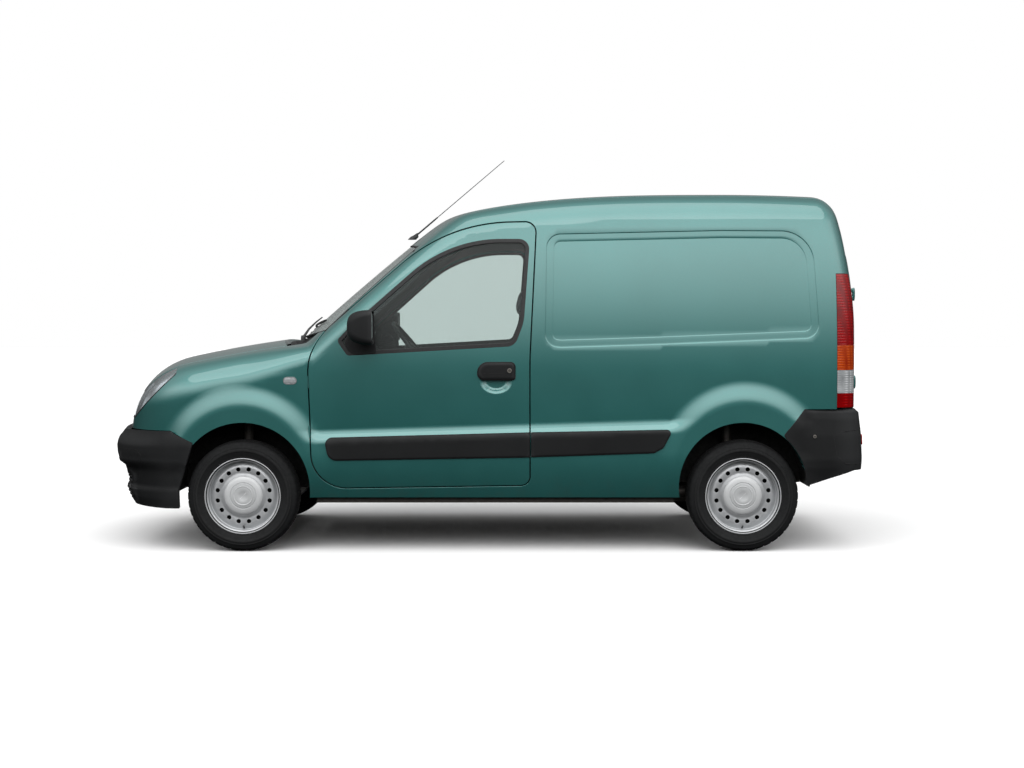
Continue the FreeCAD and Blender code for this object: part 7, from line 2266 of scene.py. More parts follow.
def sew(piece, across, lengthwise=None):
    """Presses sewn channels: some at fixed places across the seat, some along a side-view line."""
    points = np.array([v.co for v in piece.data.vertices])
    normals = np.array([v.normal for v in piece.data.vertices])
    push = np.zeros(len(points))
    for y in across:
        push = np.maximum(push, np.exp(-((points[:, 1] - y) / CHANNEL_WIDTH) ** 2))
    if lengthwise is not None:
        between = np.abs(points[:, 1]) < abs(across[0])
        for start, stop in lengthwise:
            way = np.array(stop) - np.array(start)
            side = np.array([way[1], -way[0]]) / np.linalg.norm(way)
            distance = (points[:, [0, 2]] - np.array(start)) @ side
            push = np.maximum(push, np.where(between, np.exp(-(distance / CHANNEL_WIDTH) ** 2), 0))
    facing = np.clip(1.4 * (1 - np.abs(normals[:, 1])), 0, 1)
    write_points(piece, points - normals * (CHANNEL_DEPTH * push * facing)[:, None])


def piping(name, shares, half_width, radius=3.2 * MM):
    """The welts sewn round both ends of a cushion."""
    cords = []
    for side in (-1, 1):
        flat = resampled(outline(seat_corners(shares), -6 * MM), 80)
        line = rows(flat[:, 0], np.full(len(flat), side * (half_width - 6 * MM)), flat[:, 1])
        cords.append(tube("welt", line, radius, closed=True, sides=8, up=(0, 1, 0)))
    return joined(name, cords)


pad = cushion("seat_cushion", CUSHION_SHARES, SEAT_HALF_WIDTH)
sew(pad, (-140 * MM, 140 * MM), [((SEAT_X + u * SEAT_LENGTH, 0.5), (SEAT_X + (u + 0.01) * SEAT_LENGTH, 0.8))
                                for u in (-0.30, -0.10, 0.10)])
back = cushion("seat_back", BACK_SHARES, SEAT_HALF_WIDTH)
sew(back, (-135 * MM, 135 * MM), [((0.0, 0.70 + 0.11 * i), (0.4, 0.655 + 0.11 * i)) for i in range(5)])
rest = cushion("headrest", HEADREST_SHARES, HEADREST_HALF_WIDTH)
sew(rest, (-85 * MM, 85 * MM))
welts = [piping("cushion_welt", CUSHION_SHARES, SEAT_HALF_WIDTH),
         piping("back_welt", BACK_SHARES, SEAT_HALF_WIDTH)]
PIN_POINTS = ((0.2200, 1.135), (0.2270, 1.18), (0.2330, 1.215), (0.2400, 1.25))
pins = []
for side in (-1, 1):
    line = [(x, side * 60 * MM, z) for x, z in PIN_POINTS]
    pins.append(tube("pin", line, 6 * MM, sides=14))
pins = joined("headrest_pins", pins)
base = block("seat_base", (SEAT_X - 0.415 * SEAT_LENGTH, -185 * MM, 341 * MM),
             (SEAT_X + 0.377 * SEAT_LENGTH, 185 * MM, 497 * MM), 16 * MM)
rails = [block("rail", (SEAT_X - 0.46 * SEAT_LENGTH, side * 165 * MM - 14 * MM, 341 * MM),
               (SEAT_X + 0.42 * SEAT_LENGTH, side * 165 * MM + 14 * MM, 366 * MM), 4 * MM)
         for side in (-1, 1)]
base = joined("seat_base", [base] + rails)
# Source, slot, finish and, for a padded piece, how full it is
SEAT_PARTS = (
    (pad, "seat_cloth", "cloth", 0.75),
    (back, "seat_cloth", "cloth", 0.75),
    (rest, "seat_cloth", "cloth", 0.85),
    (welts[0], "seat_cloth", "welt", None),
    (welts[1], "seat_cloth", "welt", None),
    (pins, "iron", "steel", None),
    (base, "inner_trim", "inner_trim", None),
)
for word, side in SIDES:
    shift = Matrix.Translation((0, side * SEAT_Y, 0))
    for source, slot, finish, soft in SEAT_PARTS:
        mesh = source.data.copy()
        mesh.transform(shift)
        piece = linked(f"{source.name.split('.')[0]}_{word}", mesh)
        place(piece, "van", slot, finish, ("seats",))
for source, *_ in SEAT_PARTS:
    bpy.data.objects.remove(source)

# Dashboard: a lofted body, a hood over the dials, vents and the column
DASH_X = FRONT_AXLE_X + 320 * MM
DASH_LENGTH = 382.5 * MM
DASH_HEIGHT = 415 * MM
DASH_LOW_Z = 620 * MM
DASH_HALF_WIDTH = 655 * MM
DASH_SHARES = ((0.0, 0.53, 0.02), (0.739, 0.0, 0.105), (0.948, 0.193, 0.105), (1.0, 0.747, 0.157),
               (0.739, 0.988, 0.157), (0.0, 1.0, 0.02))
DASH_STATIONS = ((-1, -30), (-0.985, -14), (-0.95, -4), (-0.9, -1), (-0.45, 0), (0, 0), (0.45, 0), (0.9, -1),
                 (0.95, -4), (0.985, -14), (1, -30))
dash_corners = [(DASH_X + u * DASH_LENGTH, DASH_LOW_Z + v * DASH_HEIGHT, r * DASH_LENGTH)
                for u, v, r in DASH_SHARES]
rings = []
for y, offset in DASH_STATIONS:
    flat = resampled(outline(dash_corners, offset * MM), 90)
    rings.append(rows(flat[:, 0], np.full(len(flat), y * DASH_HALF_WIDTH), flat[:, 1]))
place(loft("dashboard_body", rings), "van", "inner_trim", replaces=("dashboard",))
WHEEL_CENTRE = Vector((-368 * MM, -SEAT_Y, 1043 * MM))
COLUMN_WAY = Vector((0.78, 0.0, 0.625)).normalized()
ACROSS = Vector((0.0, 1.0, 0.0))
DOWN = Vector((COLUMN_WAY.z, 0.0, -COLUMN_WAY.x))
hood_rings = []
HOOD_STATIONS = ((0, 0.80, 0.55), (0.15, 0.95, 0.85), (0.5, 1.0, 1.0), (0.85, 1.0, 1.0), (1.0, 0.96, 0.92))
for share, wide, tall in HOOD_STATIONS:
    x = DASH_X + (0.35 + 0.55 * share) * DASH_LENGTH
    hood_rings.append([(x, -SEAT_Y + 190 * MM * wide * math.cos(t), 1.000 + 72 * MM * tall * math.sin(t))
                       for t in np.linspace(0, math.pi, 20)])
place(loft("dial_hood", hood_rings), "van", "inner_trim")
COLUMN_STATIONS = (0.300, 0.26, 0.10, 0.02, 0.0)
column_line = [WHEEL_CENTRE - COLUMN_WAY * (40 * MM + behind) for behind in COLUMN_STATIONS]
column = tube("steering_column", column_line, np.array([30, 40, 40, 36, 30]) * MM, sides=28)
place(column, "van", "inner_trim")
VENT_X = DASH_X + DASH_LENGTH * 0.985
VENT_Z = 0.905
VENT_STATIONS = ((-25, 1.0), (3, 1.0), (6, 0.96), (6, 0.88), (-2, 0.86))
SLAT_Z = 0.887
vents = []
for y in (-0.58, -0.13, 0.08, 0.55):
    corners = rounded_ring(48 * MM, 30 * MM, 12 * MM, 5)
    vents.append(loft("vent", [[(VENT_X + push * MM, y + u * grow, VENT_Z + v * grow) for u, v in corners]
                               for push, grow in VENT_STATIONS]))
    for index in range(4):
        z = SLAT_Z + index * 12 * MM
        vents.append(block("slat", (VENT_X - 4 * MM, y - 40 * MM, z - 1.5 * MM),
                           (VENT_X + 5 * MM, y + 40 * MM, z + 1.5 * MM), 1 * MM, 1))
place(joined("dashboard_vents", vents), "van", "inner_trim", "dark_trim")
console = block("centre_console", (DASH_X + 0.70 * DASH_LENGTH, -95 * MM, 0.60),
                (DASH_X + 0.995 * DASH_LENGTH + 12 * MM, 95 * MM, 0.86), 12 * MM)
KNOB_Z = 0.70
knobs = []
for y in (-0.055, 0.0, 0.055):
    line = [(DASH_X + DASH_LENGTH + behind * MM, y, KNOB_Z) for behind in (8, 26, 29)]
    knobs.append(tube("knob", line, np.array([17, 15, 10]) * MM, sides=24))
place(joined("dashboard_console", [console] + knobs), "van", "inner_trim", "dark_trim")
GEAR_POINTS = ((-0.47, 0.60), (-0.42, 0.66), (-0.38, 0.74), (-0.365, 0.77), (-0.36, 0.80), (-0.358, 0.815))
gear = [(x, 0.0, z) for x, z in GEAR_POINTS]
GEAR_RADII_MM = (12, 9, 9, 16, 22, 12)
lever = tube("gear_lever", gear, np.array(GEAR_RADII_MM) * MM, sides=20)
place(lever, "van", "inner_trim", "dark_trim")

STEERING_RADIUS = 183 * MM
turns = np.linspace(0, 2 * math.pi, 96, endpoint=False)
rim_points = [WHEEL_CENTRE + DOWN * (STEERING_RADIUS * math.cos(turn))
              + ACROSS * (STEERING_RADIUS * math.sin(turn)) for turn in turns]
grips = 12 * MM + 1.6 * MM * np.clip(np.sin(turns * 2 + math.pi / 2) * -1, 0, 1) ** 2
parts = [tube("rim", rim_points, grips, closed=True, sides=16, up=COLUMN_WAY)]
for way in (ACROSS, -ACROSS, DOWN):
    line = [WHEEL_CENTRE + way * reach - COLUMN_WAY * lower for reach, lower in
            ((0.045, 0.012), (0.09, 0.014), (0.14, 0.008), (STEERING_RADIUS, 0.0))]
    parts.append(tube("spoke", line, np.array([26, 20, 15, 12]) * MM, sides=14, flat=0.35, up=COLUMN_WAY))
pad_rings = []
for radius, lift in ((60, -36), (66, -20), (68, -4), (62, 6), (40, 12), (6, 13)):
    middle = WHEEL_CENTRE + COLUMN_WAY * (lift * MM)
    pad_rings.append([middle + (DOWN * math.cos(t) * 0.85 + ACROSS * math.sin(t)) * radius * MM
                      for t in np.linspace(0, 2 * math.pi, 40, endpoint=False)])
parts.append(loft("pad", pad_rings))
place(joined("steering_wheel_rim", parts), "steering_wheel", "inner_trim", "dark_trim",
      replaces=("steering_wheel",))

# Linings: door cards, roof lining, windscreen pillars
CARD_DEPTH = DOOR_WALL + 1 * MM
CARD_WALL = 8 * MM


def card_sheet():
    edge = outline(DOOR_CORNERS, -DOOR_STEP - 10 * MM)
    window = outline(WINDOW_CORNERS, 6 * MM)
    pocket = outline([(-0.70, 0.40, 0.05), (0.15, 0.40, 0.05), (0.15, 0.56, 0.05), (-0.66, 0.60, 0.06)])
    rest_area = outline([(-0.52, 0.80, 0.05), (0.17, 0.82, 0.05), (0.17, 0.90, 0.04), (-0.40, 0.90, 0.06)])

    def relief(p):
        flat = side_of(p)
        lower = step(np.where(inside(flat, pocket), edge_distance(flat, pocket) / 0.03, 0.0))
        arm = step(np.where(inside(flat, rest_area), edge_distance(flat, rest_area) / 0.02, 0.0))
        return 14 * MM * lower + 30 * MM * arm

    def keep(p):
        return inside(side_of(p), edge) & ~inside(side_of(p), window)

    curves = [(from_side(edge, depth=CARD_DEPTH), True), (from_side(window, depth=CARD_DEPTH), True)]
    return panel(DOOR, curves, keep, CARD_WALL, relief=relief, depth=CARD_DEPTH)


place_pair(card_sheet(), "door_card", "door_{}", "inner_trim")


LINING_HALF_WIDTH = 560 * MM
LINING_DEPTH = 52 * MM
LINING_FRONT_INSET = 45 * MM
LINING_REAR_X = 0.36
LINING_SIDE_END_X = 0.40
LINING_DROP = 0.40


def lining_sheet():
    half = LINING_HALF_WIDTH
    chart = TopChart(-3.0, 3.0, LINING_DROP)

    def level(p):
        return skin(p) + LINING_DEPTH

    ys = np.linspace(-half, half, 60)
    front = rows(HEADER_X + LINING_FRONT_INSET + arc_drop(ys, PLAN_BOW_RADIUS), ys)
    rear = rows(np.full(len(ys), LINING_REAR_X), ys)
    xs = np.linspace(HEADER_X, LINING_SIDE_END_X, 40)
    sides = [rows(xs, np.full(len(xs), side * half)) for side in (-1, 1)]
    curves = [(from_top(line, LINING_DROP, level), False) for line in (front, rear, *sides)]

    def keep(p):
        x, y, _ = p.T
        behind = x > HEADER_X + LINING_FRONT_INSET + arc_drop(y, PLAN_BOW_RADIUS)
        return (np.abs(y) < half) & behind & (x < LINING_REAR_X)

    return panel(chart, curves, keep, 8 * MM, depth=LINING_DEPTH, pitch=30 * MM)


place(made("roof_lining", lining_sheet()), "van", "inner_trim", "lining")
PILLAR_INSET = 0.025
foot_drop = arc_drop(SCREEN_FOOT_Y, SCREEN_FOOT_BOW_RADIUS)
head_drop = arc_drop(SCREEN_HEAD_Y, PLAN_BOW_RADIUS)
pillar = []
for share in np.linspace(0.02, 0.98, 14):
    x = SCREEN_FOOT_X + foot_drop + share * (HEADER_X + head_drop - SCREEN_FOOT_X - foot_drop)
    pillar.append((x, -(SCREEN_FOOT_Y - PILLAR_INSET + share * (SCREEN_HEAD_Y - SCREEN_FOOT_Y))))
pillar_trim = skin_tube("pillar_trim", from_screen(pillar), 24 * MM, False, 46 * MM, sides=12)
place_twice(pillar_trim, "pillar_trim", "van", "inner_trim", "lining")
inside_mirror = block("rear_view_mirror", (-0.395, -0.105, 1.475), (-0.372, 0.105, 1.530), 11 * MM, 3)
place(inside_mirror, "van", "inner_trim", "dark_trim")
stalk = from_screen([(-0.43, 0.0)])[0]
stalk_line = [tuple(stalk - np.array([0, 0, 0.012])), (-0.40, 0.0, stalk[2] - 0.04), (-0.385, 0.0, 1.515)]
place(tube("mirror_stalk", stalk_line, 6 * MM, sides=10), "van", "inner_trim", "dark_trim")
print("cab", len(PIECES), "pieces")

# %% [markdown]
# ## 14. Finishes
#
# Every finish is built from nodes: a base colour that drifts a little over a large noise, roughness that
# drifts with it, fine grain as bump, and paler worn edges on hard plastics and metal.

# %%
class Finish:
    """A small helper that builds one principled material, node by node."""

    def __init__(self, name):
        self.material = bpy.data.materials.new(name)
        self.material.use_nodes = True
        self.tree = self.material.node_tree
        self.shader = self.tree.nodes["Principled BSDF"]
        self.place = self.tree.nodes.new("ShaderNodeTexCoord").outputs["Object"]

    def node(self, kind, **values):
        made_node = self.tree.nodes.new(kind)
        for key, value in values.items():
            if hasattr(made_node, key):
                setattr(made_node, key, value)
            else:
                made_node.inputs[key.replace("_", " ")].default_value = value
        return made_node

    def link(self, source, target):
        self.tree.links.new(source, target)

    def noise(self, scale, detail=3.0, rough=0.55):
        made_node = self.node("ShaderNodeTexNoise", Scale=scale, Detail=detail, Roughness=rough)
        self.link(self.place, made_node.inputs["Vector"])
        return made_node.outputs["Fac"]

    def wave(self, scale, direction, distortion=0.0):
        made_node = self.node("ShaderNodeTexWave", Scale=scale, Distortion=distortion,
                              bands_direction=direction)
        self.link(self.place, made_node.inputs["Vector"])
        return made_node

    def between(self, factor, low, high, start=0.3, stop=0.7):
        """A number that runs from low to high as the factor runs from start to stop."""
        made_node = self.node("ShaderNodeMapRange")
        for index, value in enumerate((start, stop, low, high)):
            made_node.inputs[index + 1].default_value = value
        self.link(factor, made_node.inputs[0])
        return made_node.outputs[0]

    def mixed(self, factor, first, second):
        """A colour between two others; either may be a socket."""
        made_node = self.tree.nodes.new("ShaderNodeMix")
        made_node.data_type = "RGBA"
        self.link(factor, made_node.inputs[0])
        for socket, value in ((6, first), (7, second)):
            if isinstance(value, tuple):
                made_node.inputs[socket].default_value = (*value, 1)
            else:
                self.link(value, made_node.inputs[socket])
        return made_node.outputs[2]

    def edges(self, start=0.505, stop=0.56):
        sharpness = self.node("ShaderNodeNewGeometry").outputs["Pointiness"]
        return self.between(sharpness, 0.0, 1.0, start, stop)

    def color(self, socket):
        self.link(socket, self.shader.inputs["Base Color"])

    def rough(self, socket):
        self.link(socket, self.shader.inputs["Roughness"])

    def bump(self, height, strength, distance, before=None):
        made_node = self.node("ShaderNodeBump", Strength=strength, Distance=distance)
        self.link(height, made_node.inputs["Height"])
        if before is not None:
            self.link(before, made_node.inputs["Normal"])
        return made_node.outputs["Normal"]

    def normal(self, socket):
        self.link(socket, self.shader.inputs["Normal"])

    def set(self, **values):
        for key, value in values.items():
            self.shader.inputs[key.replace("_", " ")].default_value = value


def tone(red, green, blue):
    """A colour as seen on a screen, 0 to 255, as the light that it stands for."""
    colours = (red, green, blue)
    return tuple(((c / 255 + 0.055) / 1.055) ** 2.4 if c > 10 else c / 255 / 12.92 for c in colours)


def plain(name, dark, light, rough, metallic=0.0, patch=6.0, grain=900.0, depth=0.05 * MM, strength=0.35,
          worn=None, coat=0.0, edge_start=0.505, edge_stop=0.56, shine=0.5):
    """Patches of two near colours, grain as bump and optional worn edges."""
    finish = Finish(name)
    patches = finish.noise(patch, 4.0)
    color = finish.mixed(finish.between(patches, 0.0, 1.0), dark, light)
    if worn:
        color = finish.mixed(finish.edges(edge_start, edge_stop), color, worn)
    finish.color(color)
    finish.rough(finish.between(finish.noise(patch * 7, 5.0), rough[0], rough[1]))
    finish.normal(finish.bump(finish.noise(grain, 2.0), strength, depth))
    finish.set(Metallic=metallic, Coat_Weight=coat, Specular_IOR_Level=shine)
    return finish


PAINT_DEEP = tone(40, 104, 101)
PAINT_LIGHT = tone(46, 112, 109)


def paint_finish():
    """Metallic paint: fine flakes tilt the shine, under a clear smooth coat."""
    finish = Finish("paint")
    drift = finish.noise(0.8, 2.0)
    base = finish.mixed(finish.between(drift, 0.0, 1.0, 0.35, 0.65), PAINT_DEEP, PAINT_LIGHT)
    flakes = finish.node("ShaderNodeTexVoronoi", Scale=1400.0)
    finish.link(finish.place, flakes.inputs["Vector"])
    sparkle = finish.between(flakes.outputs["Color"], 0.0, 0.10, 0.2, 1.0)
    base = finish.mixed(sparkle, base, tone(106, 176, 168))
    low_dust = finish.node("ShaderNodeSeparateXYZ")
    finish.link(finish.place, low_dust.inputs[0])
    height = finish.between(low_dust.outputs["Z"], 1.0, 0.0, 0.24, 0.42)
    speckle = finish.node("ShaderNodeMath", operation="MULTIPLY")
    finish.link(height, speckle.inputs[0])
    finish.link(finish.between(finish.noise(22, 6.0), 0.0, 0.25, 0.45, 0.75), speckle.inputs[1])
    finish.color(finish.mixed(speckle.outputs[0], base, tone(88, 92, 86)))
    finish.rough(finish.between(finish.noise(5, 3.0), 0.36, 0.42))
    wobble = finish.bump(finish.noise(420, 1.0), 0.03, 0.02 * MM)
    finish.normal(finish.bump(flakes.outputs["Distance"], 0.06, 0.05 * MM, wobble))
    finish.set(Metallic=0.55, Coat_Weight=1.0, Coat_Roughness=0.05, Coat_IOR=1.65)
    return finish


def glass_finish(name, tint, clear, rough=0.02, edge=0.75):
    """Thin glass: mostly clear, a little tinted, with a clean reflection that grows at grazing angles."""
    finish = Finish(name)
    tree = finish.tree
    output = tree.nodes["Material Output"]
    clear_node = tree.nodes.new("ShaderNodeBsdfTransparent")
    haze = finish.mixed(finish.between(finish.noise(9, 4.0), 0.0, 1.0), tint, tuple(c * 0.995 for c in tint))
    finish.link(haze, clear_node.inputs["Color"])
    layer = finish.node("ShaderNodeLayerWeight", Blend=0.25)
    share = finish.between(layer.outputs["Fresnel"], 1 - clear, edge, 0.0, 1.0)
    mix = tree.nodes.new("ShaderNodeMixShader")
    finish.link(share, mix.inputs[0])
    finish.link(clear_node.outputs[0], mix.inputs[1])
    finish.link(finish.shader.outputs[0], mix.inputs[2])
    finish.link(mix.outputs[0], output.inputs["Surface"])
    drift = finish.between(finish.noise(9, 4.0), 0.0, 1.0)
    finish.color(finish.mixed(drift, tuple(c * 0.5 for c in tint), tuple(c * 0.55 for c in tint)))
    finish.rough(finish.between(finish.noise(30, 5.0), rough, rough + 0.02))
    finish.normal(finish.bump(finish.noise(3.0, 2.0), 0.01, 0.3 * MM))
    return finish


def lens_finish(name, dark, light, ribs, depth=1.2 * MM):
    """Coloured lamp plastic over its reflector: vertical and level prisms under a glossy face."""
    finish = Finish(name)
    wave = finish.wave(ribs, "Z")
    cross = finish.wave(ribs * 0.7, "Y")
    both = finish.node("ShaderNodeMath", operation="MULTIPLY")
    finish.link(wave.outputs["Fac"], both.inputs[0])
    finish.link(cross.outputs["Fac"], both.inputs[1])
    patches = finish.between(finish.noise(14, 3.0), 0.0, 0.5)
    color = finish.mixed(patches, dark, light)
    finish.color(finish.mixed(both.outputs[0], color, light))
    finish.rough(finish.between(finish.noise(40, 4.0), 0.08, 0.16))
    finish.normal(finish.bump(both.outputs[0], 0.5, depth))
    finish.set(Coat_Weight=0.35, Coat_Roughness=0.03, Specular_IOR_Level=0.25, Transmission_Weight=0.0)
    return finish


def weave_finish(name, dark, light, scale, strength=0.6):
    """Woven cloth: two crossed waves for the threads, with sheen."""
    finish = Finish(name)
    threads = []
    for direction in ("X", "Z"):
        wave = finish.wave(scale, direction, 0.6)
        wave.inputs["Detail Scale"].default_value = 2.0
        threads.append(wave.outputs["Fac"])
    both = finish.node("ShaderNodeMath", operation="MAXIMUM")
    finish.link(threads[0], both.inputs[0])
    finish.link(threads[1], both.inputs[1])
    drift = finish.mixed(finish.between(finish.noise(7, 5.0), 0.0, 1.0), dark, light)
    finish.color(finish.mixed(finish.between(both.outputs[0], 0.0, 0.4, 0.2, 1.0), drift, light))
    finish.rough(finish.between(finish.noise(60, 4.0), 0.8, 0.95))
    finish.normal(finish.bump(both.outputs[0], strength, 0.5 * MM))
    finish.set(Sheen_Weight=0.35, Sheen_Roughness=0.5)
    return finish


def radiator_finish():
    """Level fins, with painted shade in the gaps between them."""
    finish = Finish("radiator")
    wave = finish.wave(95.0, "Z")
    # The darker bands of the wave are painted shade between the fins; the bump gives the fins their relief.
    finish.color(finish.mixed(wave.outputs["Fac"], tone(14, 14, 15), tone(44, 45, 47)))
    finish.rough(finish.between(finish.noise(50, 4.0), 0.4, 0.6))
    finish.normal(finish.bump(wave.outputs["Fac"], 0.8, 1.5 * MM))
    finish.set(Metallic=0.4)
    return finish


FINISHES = {
    "paint": paint_finish(),
    # A darker, duller copy of the body paint for the doors' inner frames: painted shade.
    "inner_door": plain("inner_door", tone(22, 84, 80), tone(28, 94, 89), (0.35, 0.45), 0.3, 3, 500,
                        0.03 * MM, 0.2, coat=0.6),
    "trim": plain("trim", tone(20, 21, 22), tone(26, 27, 28), (0.5, 0.62), patch=4, grain=1300,
                  depth=0.08 * MM, strength=0.5, worn=tone(46, 47, 48), shine=0.25),
    "bumper": plain("bumper", tone(19, 20, 21), tone(25, 26, 27), (0.52, 0.64), patch=3, grain=1500,
                    depth=0.08 * MM, strength=0.55, worn=tone(46, 47, 48), shine=0.2),
    "seam": plain("seam", tone(8, 8, 9), tone(14, 14, 15), (0.7, 0.85), grain=500),
    "frit": plain("frit", tone(12, 12, 13), tone(18, 18, 19), (0.25, 0.35), grain=1200),
    "rubber": plain("rubber", tone(18, 19, 20), tone(28, 29, 30), (0.55, 0.75), patch=12, grain=800,
                    depth=0.06 * MM, strength=0.4, worn=tone(46, 46, 47)),
    "glass": glass_finish("glass", (0.86, 0.905, 0.895), 0.95),
    "lens": glass_finish("lens", (0.93, 0.95, 0.96), 0.97, edge=0.3),
    "bulb": glass_finish("bulb", (0.88, 0.9, 0.93), 0.7),
    "mirror": plain("mirror", tone(205, 208, 212), tone(214, 217, 220), (0.02, 0.05), 1.0, 2, 200,
                    0.001 * MM, 0.02),
    "silver": plain("silver", tone(188, 190, 194), tone(220, 222, 225), (0.10, 0.24), 0.9, 8, 160, 0.1 * MM,
                    0.15),
    "grey_trim": plain("grey_trim", tone(120, 123, 125), tone(140, 143, 146), (0.35, 0.5), 0.2, 9, 900,
                       0.03 * MM, 0.3),
    "clear": lens_finish("clear", tone(120, 123, 125), tone(205, 208, 210), 26.0),
    "red": lens_finish("red", tone(96, 0, 2), tone(160, 2, 5), 22.0),
    "reflector": lens_finish("reflector", tone(120, 0, 3), tone(215, 12, 12), 60.0, 0.6 * MM),
    "amber": lens_finish("amber", tone(140, 34, 3), tone(196, 76, 12), 24.0),
    "tyre": plain("tyre", tone(16, 17, 18), tone(24, 25, 26), (0.62, 0.82), patch=9, grain=700,
                  depth=0.10 * MM, strength=0.3, worn=tone(50, 50, 50), edge_start=0.52, edge_stop=0.60,
                  shine=0.25),
    "wheel": plain("wheel", tone(158, 160, 162), tone(176, 178, 180), (0.34, 0.46), 0.35, 14, 1400,
                   0.04 * MM, 0.35, worn=tone(206, 208, 210), coat=0.3),
    "cap": plain("cap", tone(184, 186, 187), tone(196, 198, 199), (0.36, 0.48), 0.15, 10, 1200,
                 0.03 * MM, 0.3, worn=tone(216, 217, 218)),
    "iron": plain("iron", tone(60, 58, 56), tone(92, 88, 84), (0.5, 0.75), 0.7, 18, 300, 0.2 * MM, 0.5,
                  worn=tone(126, 122, 116)),
    "steel": plain("steel", tone(150, 152, 155), tone(180, 182, 186), (0.18, 0.3), 1.0, 12, 400, 0.05 * MM,
                   0.2),
    "underbody": plain("underbody", tone(20, 21, 21), tone(36, 36, 35), (0.7, 0.95), 0.1, 7, 160,
                       0.8 * MM, 0.7, worn=tone(58, 56, 52)),
    "inner_trim": plain("inner_trim", tone(50, 52, 54), tone(62, 64, 66), (0.6, 0.78), patch=5, grain=850,
                        depth=0.12 * MM, strength=0.6, worn=tone(82, 84, 86)),
    "dark_trim": plain("dark_trim", tone(26, 27, 28), tone(34, 35, 36), (0.5, 0.68), patch=6, grain=1100,
                       depth=0.08 * MM, strength=0.5, worn=tone(56, 57, 58)),
    "lining": weave_finish("lining", tone(58, 60, 62), tone(76, 78, 80), 260.0, 0.3),
    "cloth": weave_finish("cloth", tone(38, 42, 46), tone(62, 67, 72), 150.0),
    "welt": weave_finish("welt", tone(26, 28, 30), tone(40, 42, 44), 300.0, 0.4),
    "radiator": radiator_finish(),
}
for piece, finish in PIECES:
    piece.data.materials.clear()
    piece.data.materials.append(FINISHES[finish].material)

# Carried-over CAD nodes take the finish of what they are
NODE_FINISHES = {
    "floor_pan": "underbody", "front_rails": "underbody", "wheel_arches": "underbody", "subframe": "iron",
    "rear_axle": "iron", "exhaust": "iron", "fuel_tank": "underbody", "spare_wheel": "tyre",
    "engine": "iron", "knuckle_left": "iron", "knuckle_right": "iron", "bulkhead": "inner_trim",
    "door_hinges": "paint",
}
for name, finish in NODE_FINISHES.items():
    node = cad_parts[name]
    node = node["object"] if isinstance(node, dict) else node
    for slot in node.material_slots:
        slot.material = FINISHES[finish].material
    if not node.material_slots:
        node.data.materials.append(FINISHES[finish].material)

# %% [markdown]
# ## 15. Floor and light
#
# One wide, soft light stands high over the van and a little towards the camera. The room grows brighter
# upwards, as under a big ceiling light, and that slow change is what the upright panels mirror: pale
# below the roof, dark at the sills. The backdrop is white wherever the camera looks, and the paint
# mirrors it more dimly.

# %%
FLOOR_HALF = 60.0
SUN_STRENGTH = 1.5
SUN_ANGLE = math.radians(60)
SUN_TILT = math.radians(26)
MIRRORED_WALL = 0.28
ROOM_TOP = 1.05
ROOM_DIM = 0.07
FAR_SIDE_SHARE = 0.35
CEILING_PANEL = 1.7

# Ranges of one part of the direction, over which the light changes
BACKDROP_RANGE = (0.86, 0.92)
ROOM_RANGE = (-0.02, 0.55)
PANEL_LOW_RANGE = (0.0, 0.52)
PANEL_HIGH_RANGE = (0.42, 0.85)
PANEL_NEAR_RANGE = (-0.55, -0.05)
FAR_SIDE_RANGE = (-0.1, 0.6)
BELOW_RANGE = (-0.12, -0.03)
BELOW_SHARE = 0.12

FLOOR_CORNERS = [(-FLOOR_HALF, -FLOOR_HALF, 0), (FLOOR_HALF, -FLOOR_HALF, 0), (FLOOR_HALF, FLOOR_HALF, 0),
                 (-FLOOR_HALF, FLOOR_HALF, 0)]
floor = mesh_object("floor", FLOOR_CORNERS, [(0, 1, 2, 3)])
floor_finish = plain("floor", (0.90, 0.90, 0.90), (0.93, 0.93, 0.93), (0.85, 0.95), patch=0.4, grain=40,
                     strength=0.02)
floor.data.materials.append(floor_finish.material)
floor.visible_diffuse = False
floor.visible_glossy = False

sun_data = bpy.data.lights.new("overhead", "SUN")
sun_data.energy = SUN_STRENGTH
sun_data.angle = SUN_ANGLE
sun = bpy.data.objects.new("overhead", sun_data)
sun.rotation_euler = (SUN_TILT, 0.0, 0.0)
bpy.context.scene.collection.objects.link(sun)

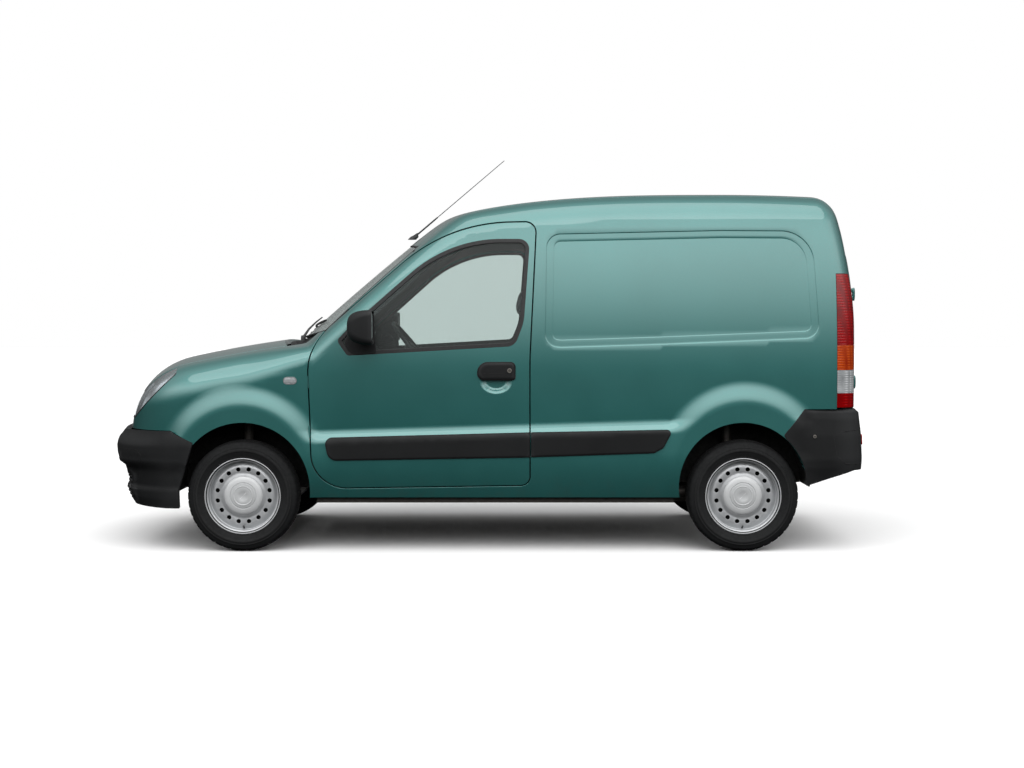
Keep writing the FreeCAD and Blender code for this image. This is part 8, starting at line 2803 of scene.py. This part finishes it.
world = bpy.data.worlds.new("studio")
bpy.context.scene.world = world
world.use_nodes = True
tree = world.node_tree
background = tree.nodes["Background"]
direction = tree.nodes.new("ShaderNodeTexCoord")
split = tree.nodes.new("ShaderNodeSeparateXYZ")
tree.links.new(direction.outputs["Generated"], split.inputs[0])


def shaded(source, span, at_low, at_high):
    """Light that changes smoothly with one part of the direction."""
    ramp = tree.nodes.new("ShaderNodeMapRange")
    ramp.interpolation_type = "SMOOTHSTEP"
    for index, value in enumerate((*span, at_low, at_high)):
        ramp.inputs[index + 1].default_value = value
    tree.links.new(source, ramp.inputs["Value"])
    return ramp.outputs["Result"]


def combined(operation, first, second):
    made_node = tree.nodes.new("ShaderNodeMath")
    made_node.operation = operation
    tree.links.new(first, made_node.inputs[0])
    tree.links.new(second, made_node.inputs[1])
    return made_node.outputs[0]


rays = tree.nodes.new("ShaderNodeLightPath")
wall = shaded(split.outputs["Y"], BACKDROP_RANGE, 0.0, MIRRORED_WALL)
seen_wall = combined("MAXIMUM", rays.outputs["Is Camera Ray"], rays.outputs["Is Transmission Ray"])
seen_wall = combined("MAXIMUM", seen_wall, combined("MULTIPLY", rays.outputs["Is Glossy Ray"], wall))
above = shaded(split.outputs["Z"], ROOM_RANGE, ROOM_DIM, ROOM_TOP)
panel_low = shaded(split.outputs["Z"], PANEL_LOW_RANGE, 0.0, CEILING_PANEL)
panel_high = shaded(split.outputs["Z"], PANEL_HIGH_RANGE, 1.0, 0.0)
panel_near = shaded(split.outputs["Y"], PANEL_NEAR_RANGE, 1.0, 0.0)
ceiling_panel = combined("MULTIPLY", combined("MULTIPLY", panel_low, panel_high), panel_near)
far_side = shaded(split.outputs["Y"], FAR_SIDE_RANGE, 1.0, FAR_SIDE_SHARE)
not_below = shaded(split.outputs["Z"], BELOW_RANGE, BELOW_SHARE, 1.0)
room = combined("ADD", combined("MULTIPLY", above, far_side), ceiling_panel)
room = combined("MULTIPLY", room, not_below)
tree.links.new(combined("MAXIMUM", seen_wall, room), background.inputs["Strength"])
background.inputs["Color"].default_value = (1.0, 1.0, 1.0, 1.0)
bpy.context.scene.view_settings.view_transform = "Standard"
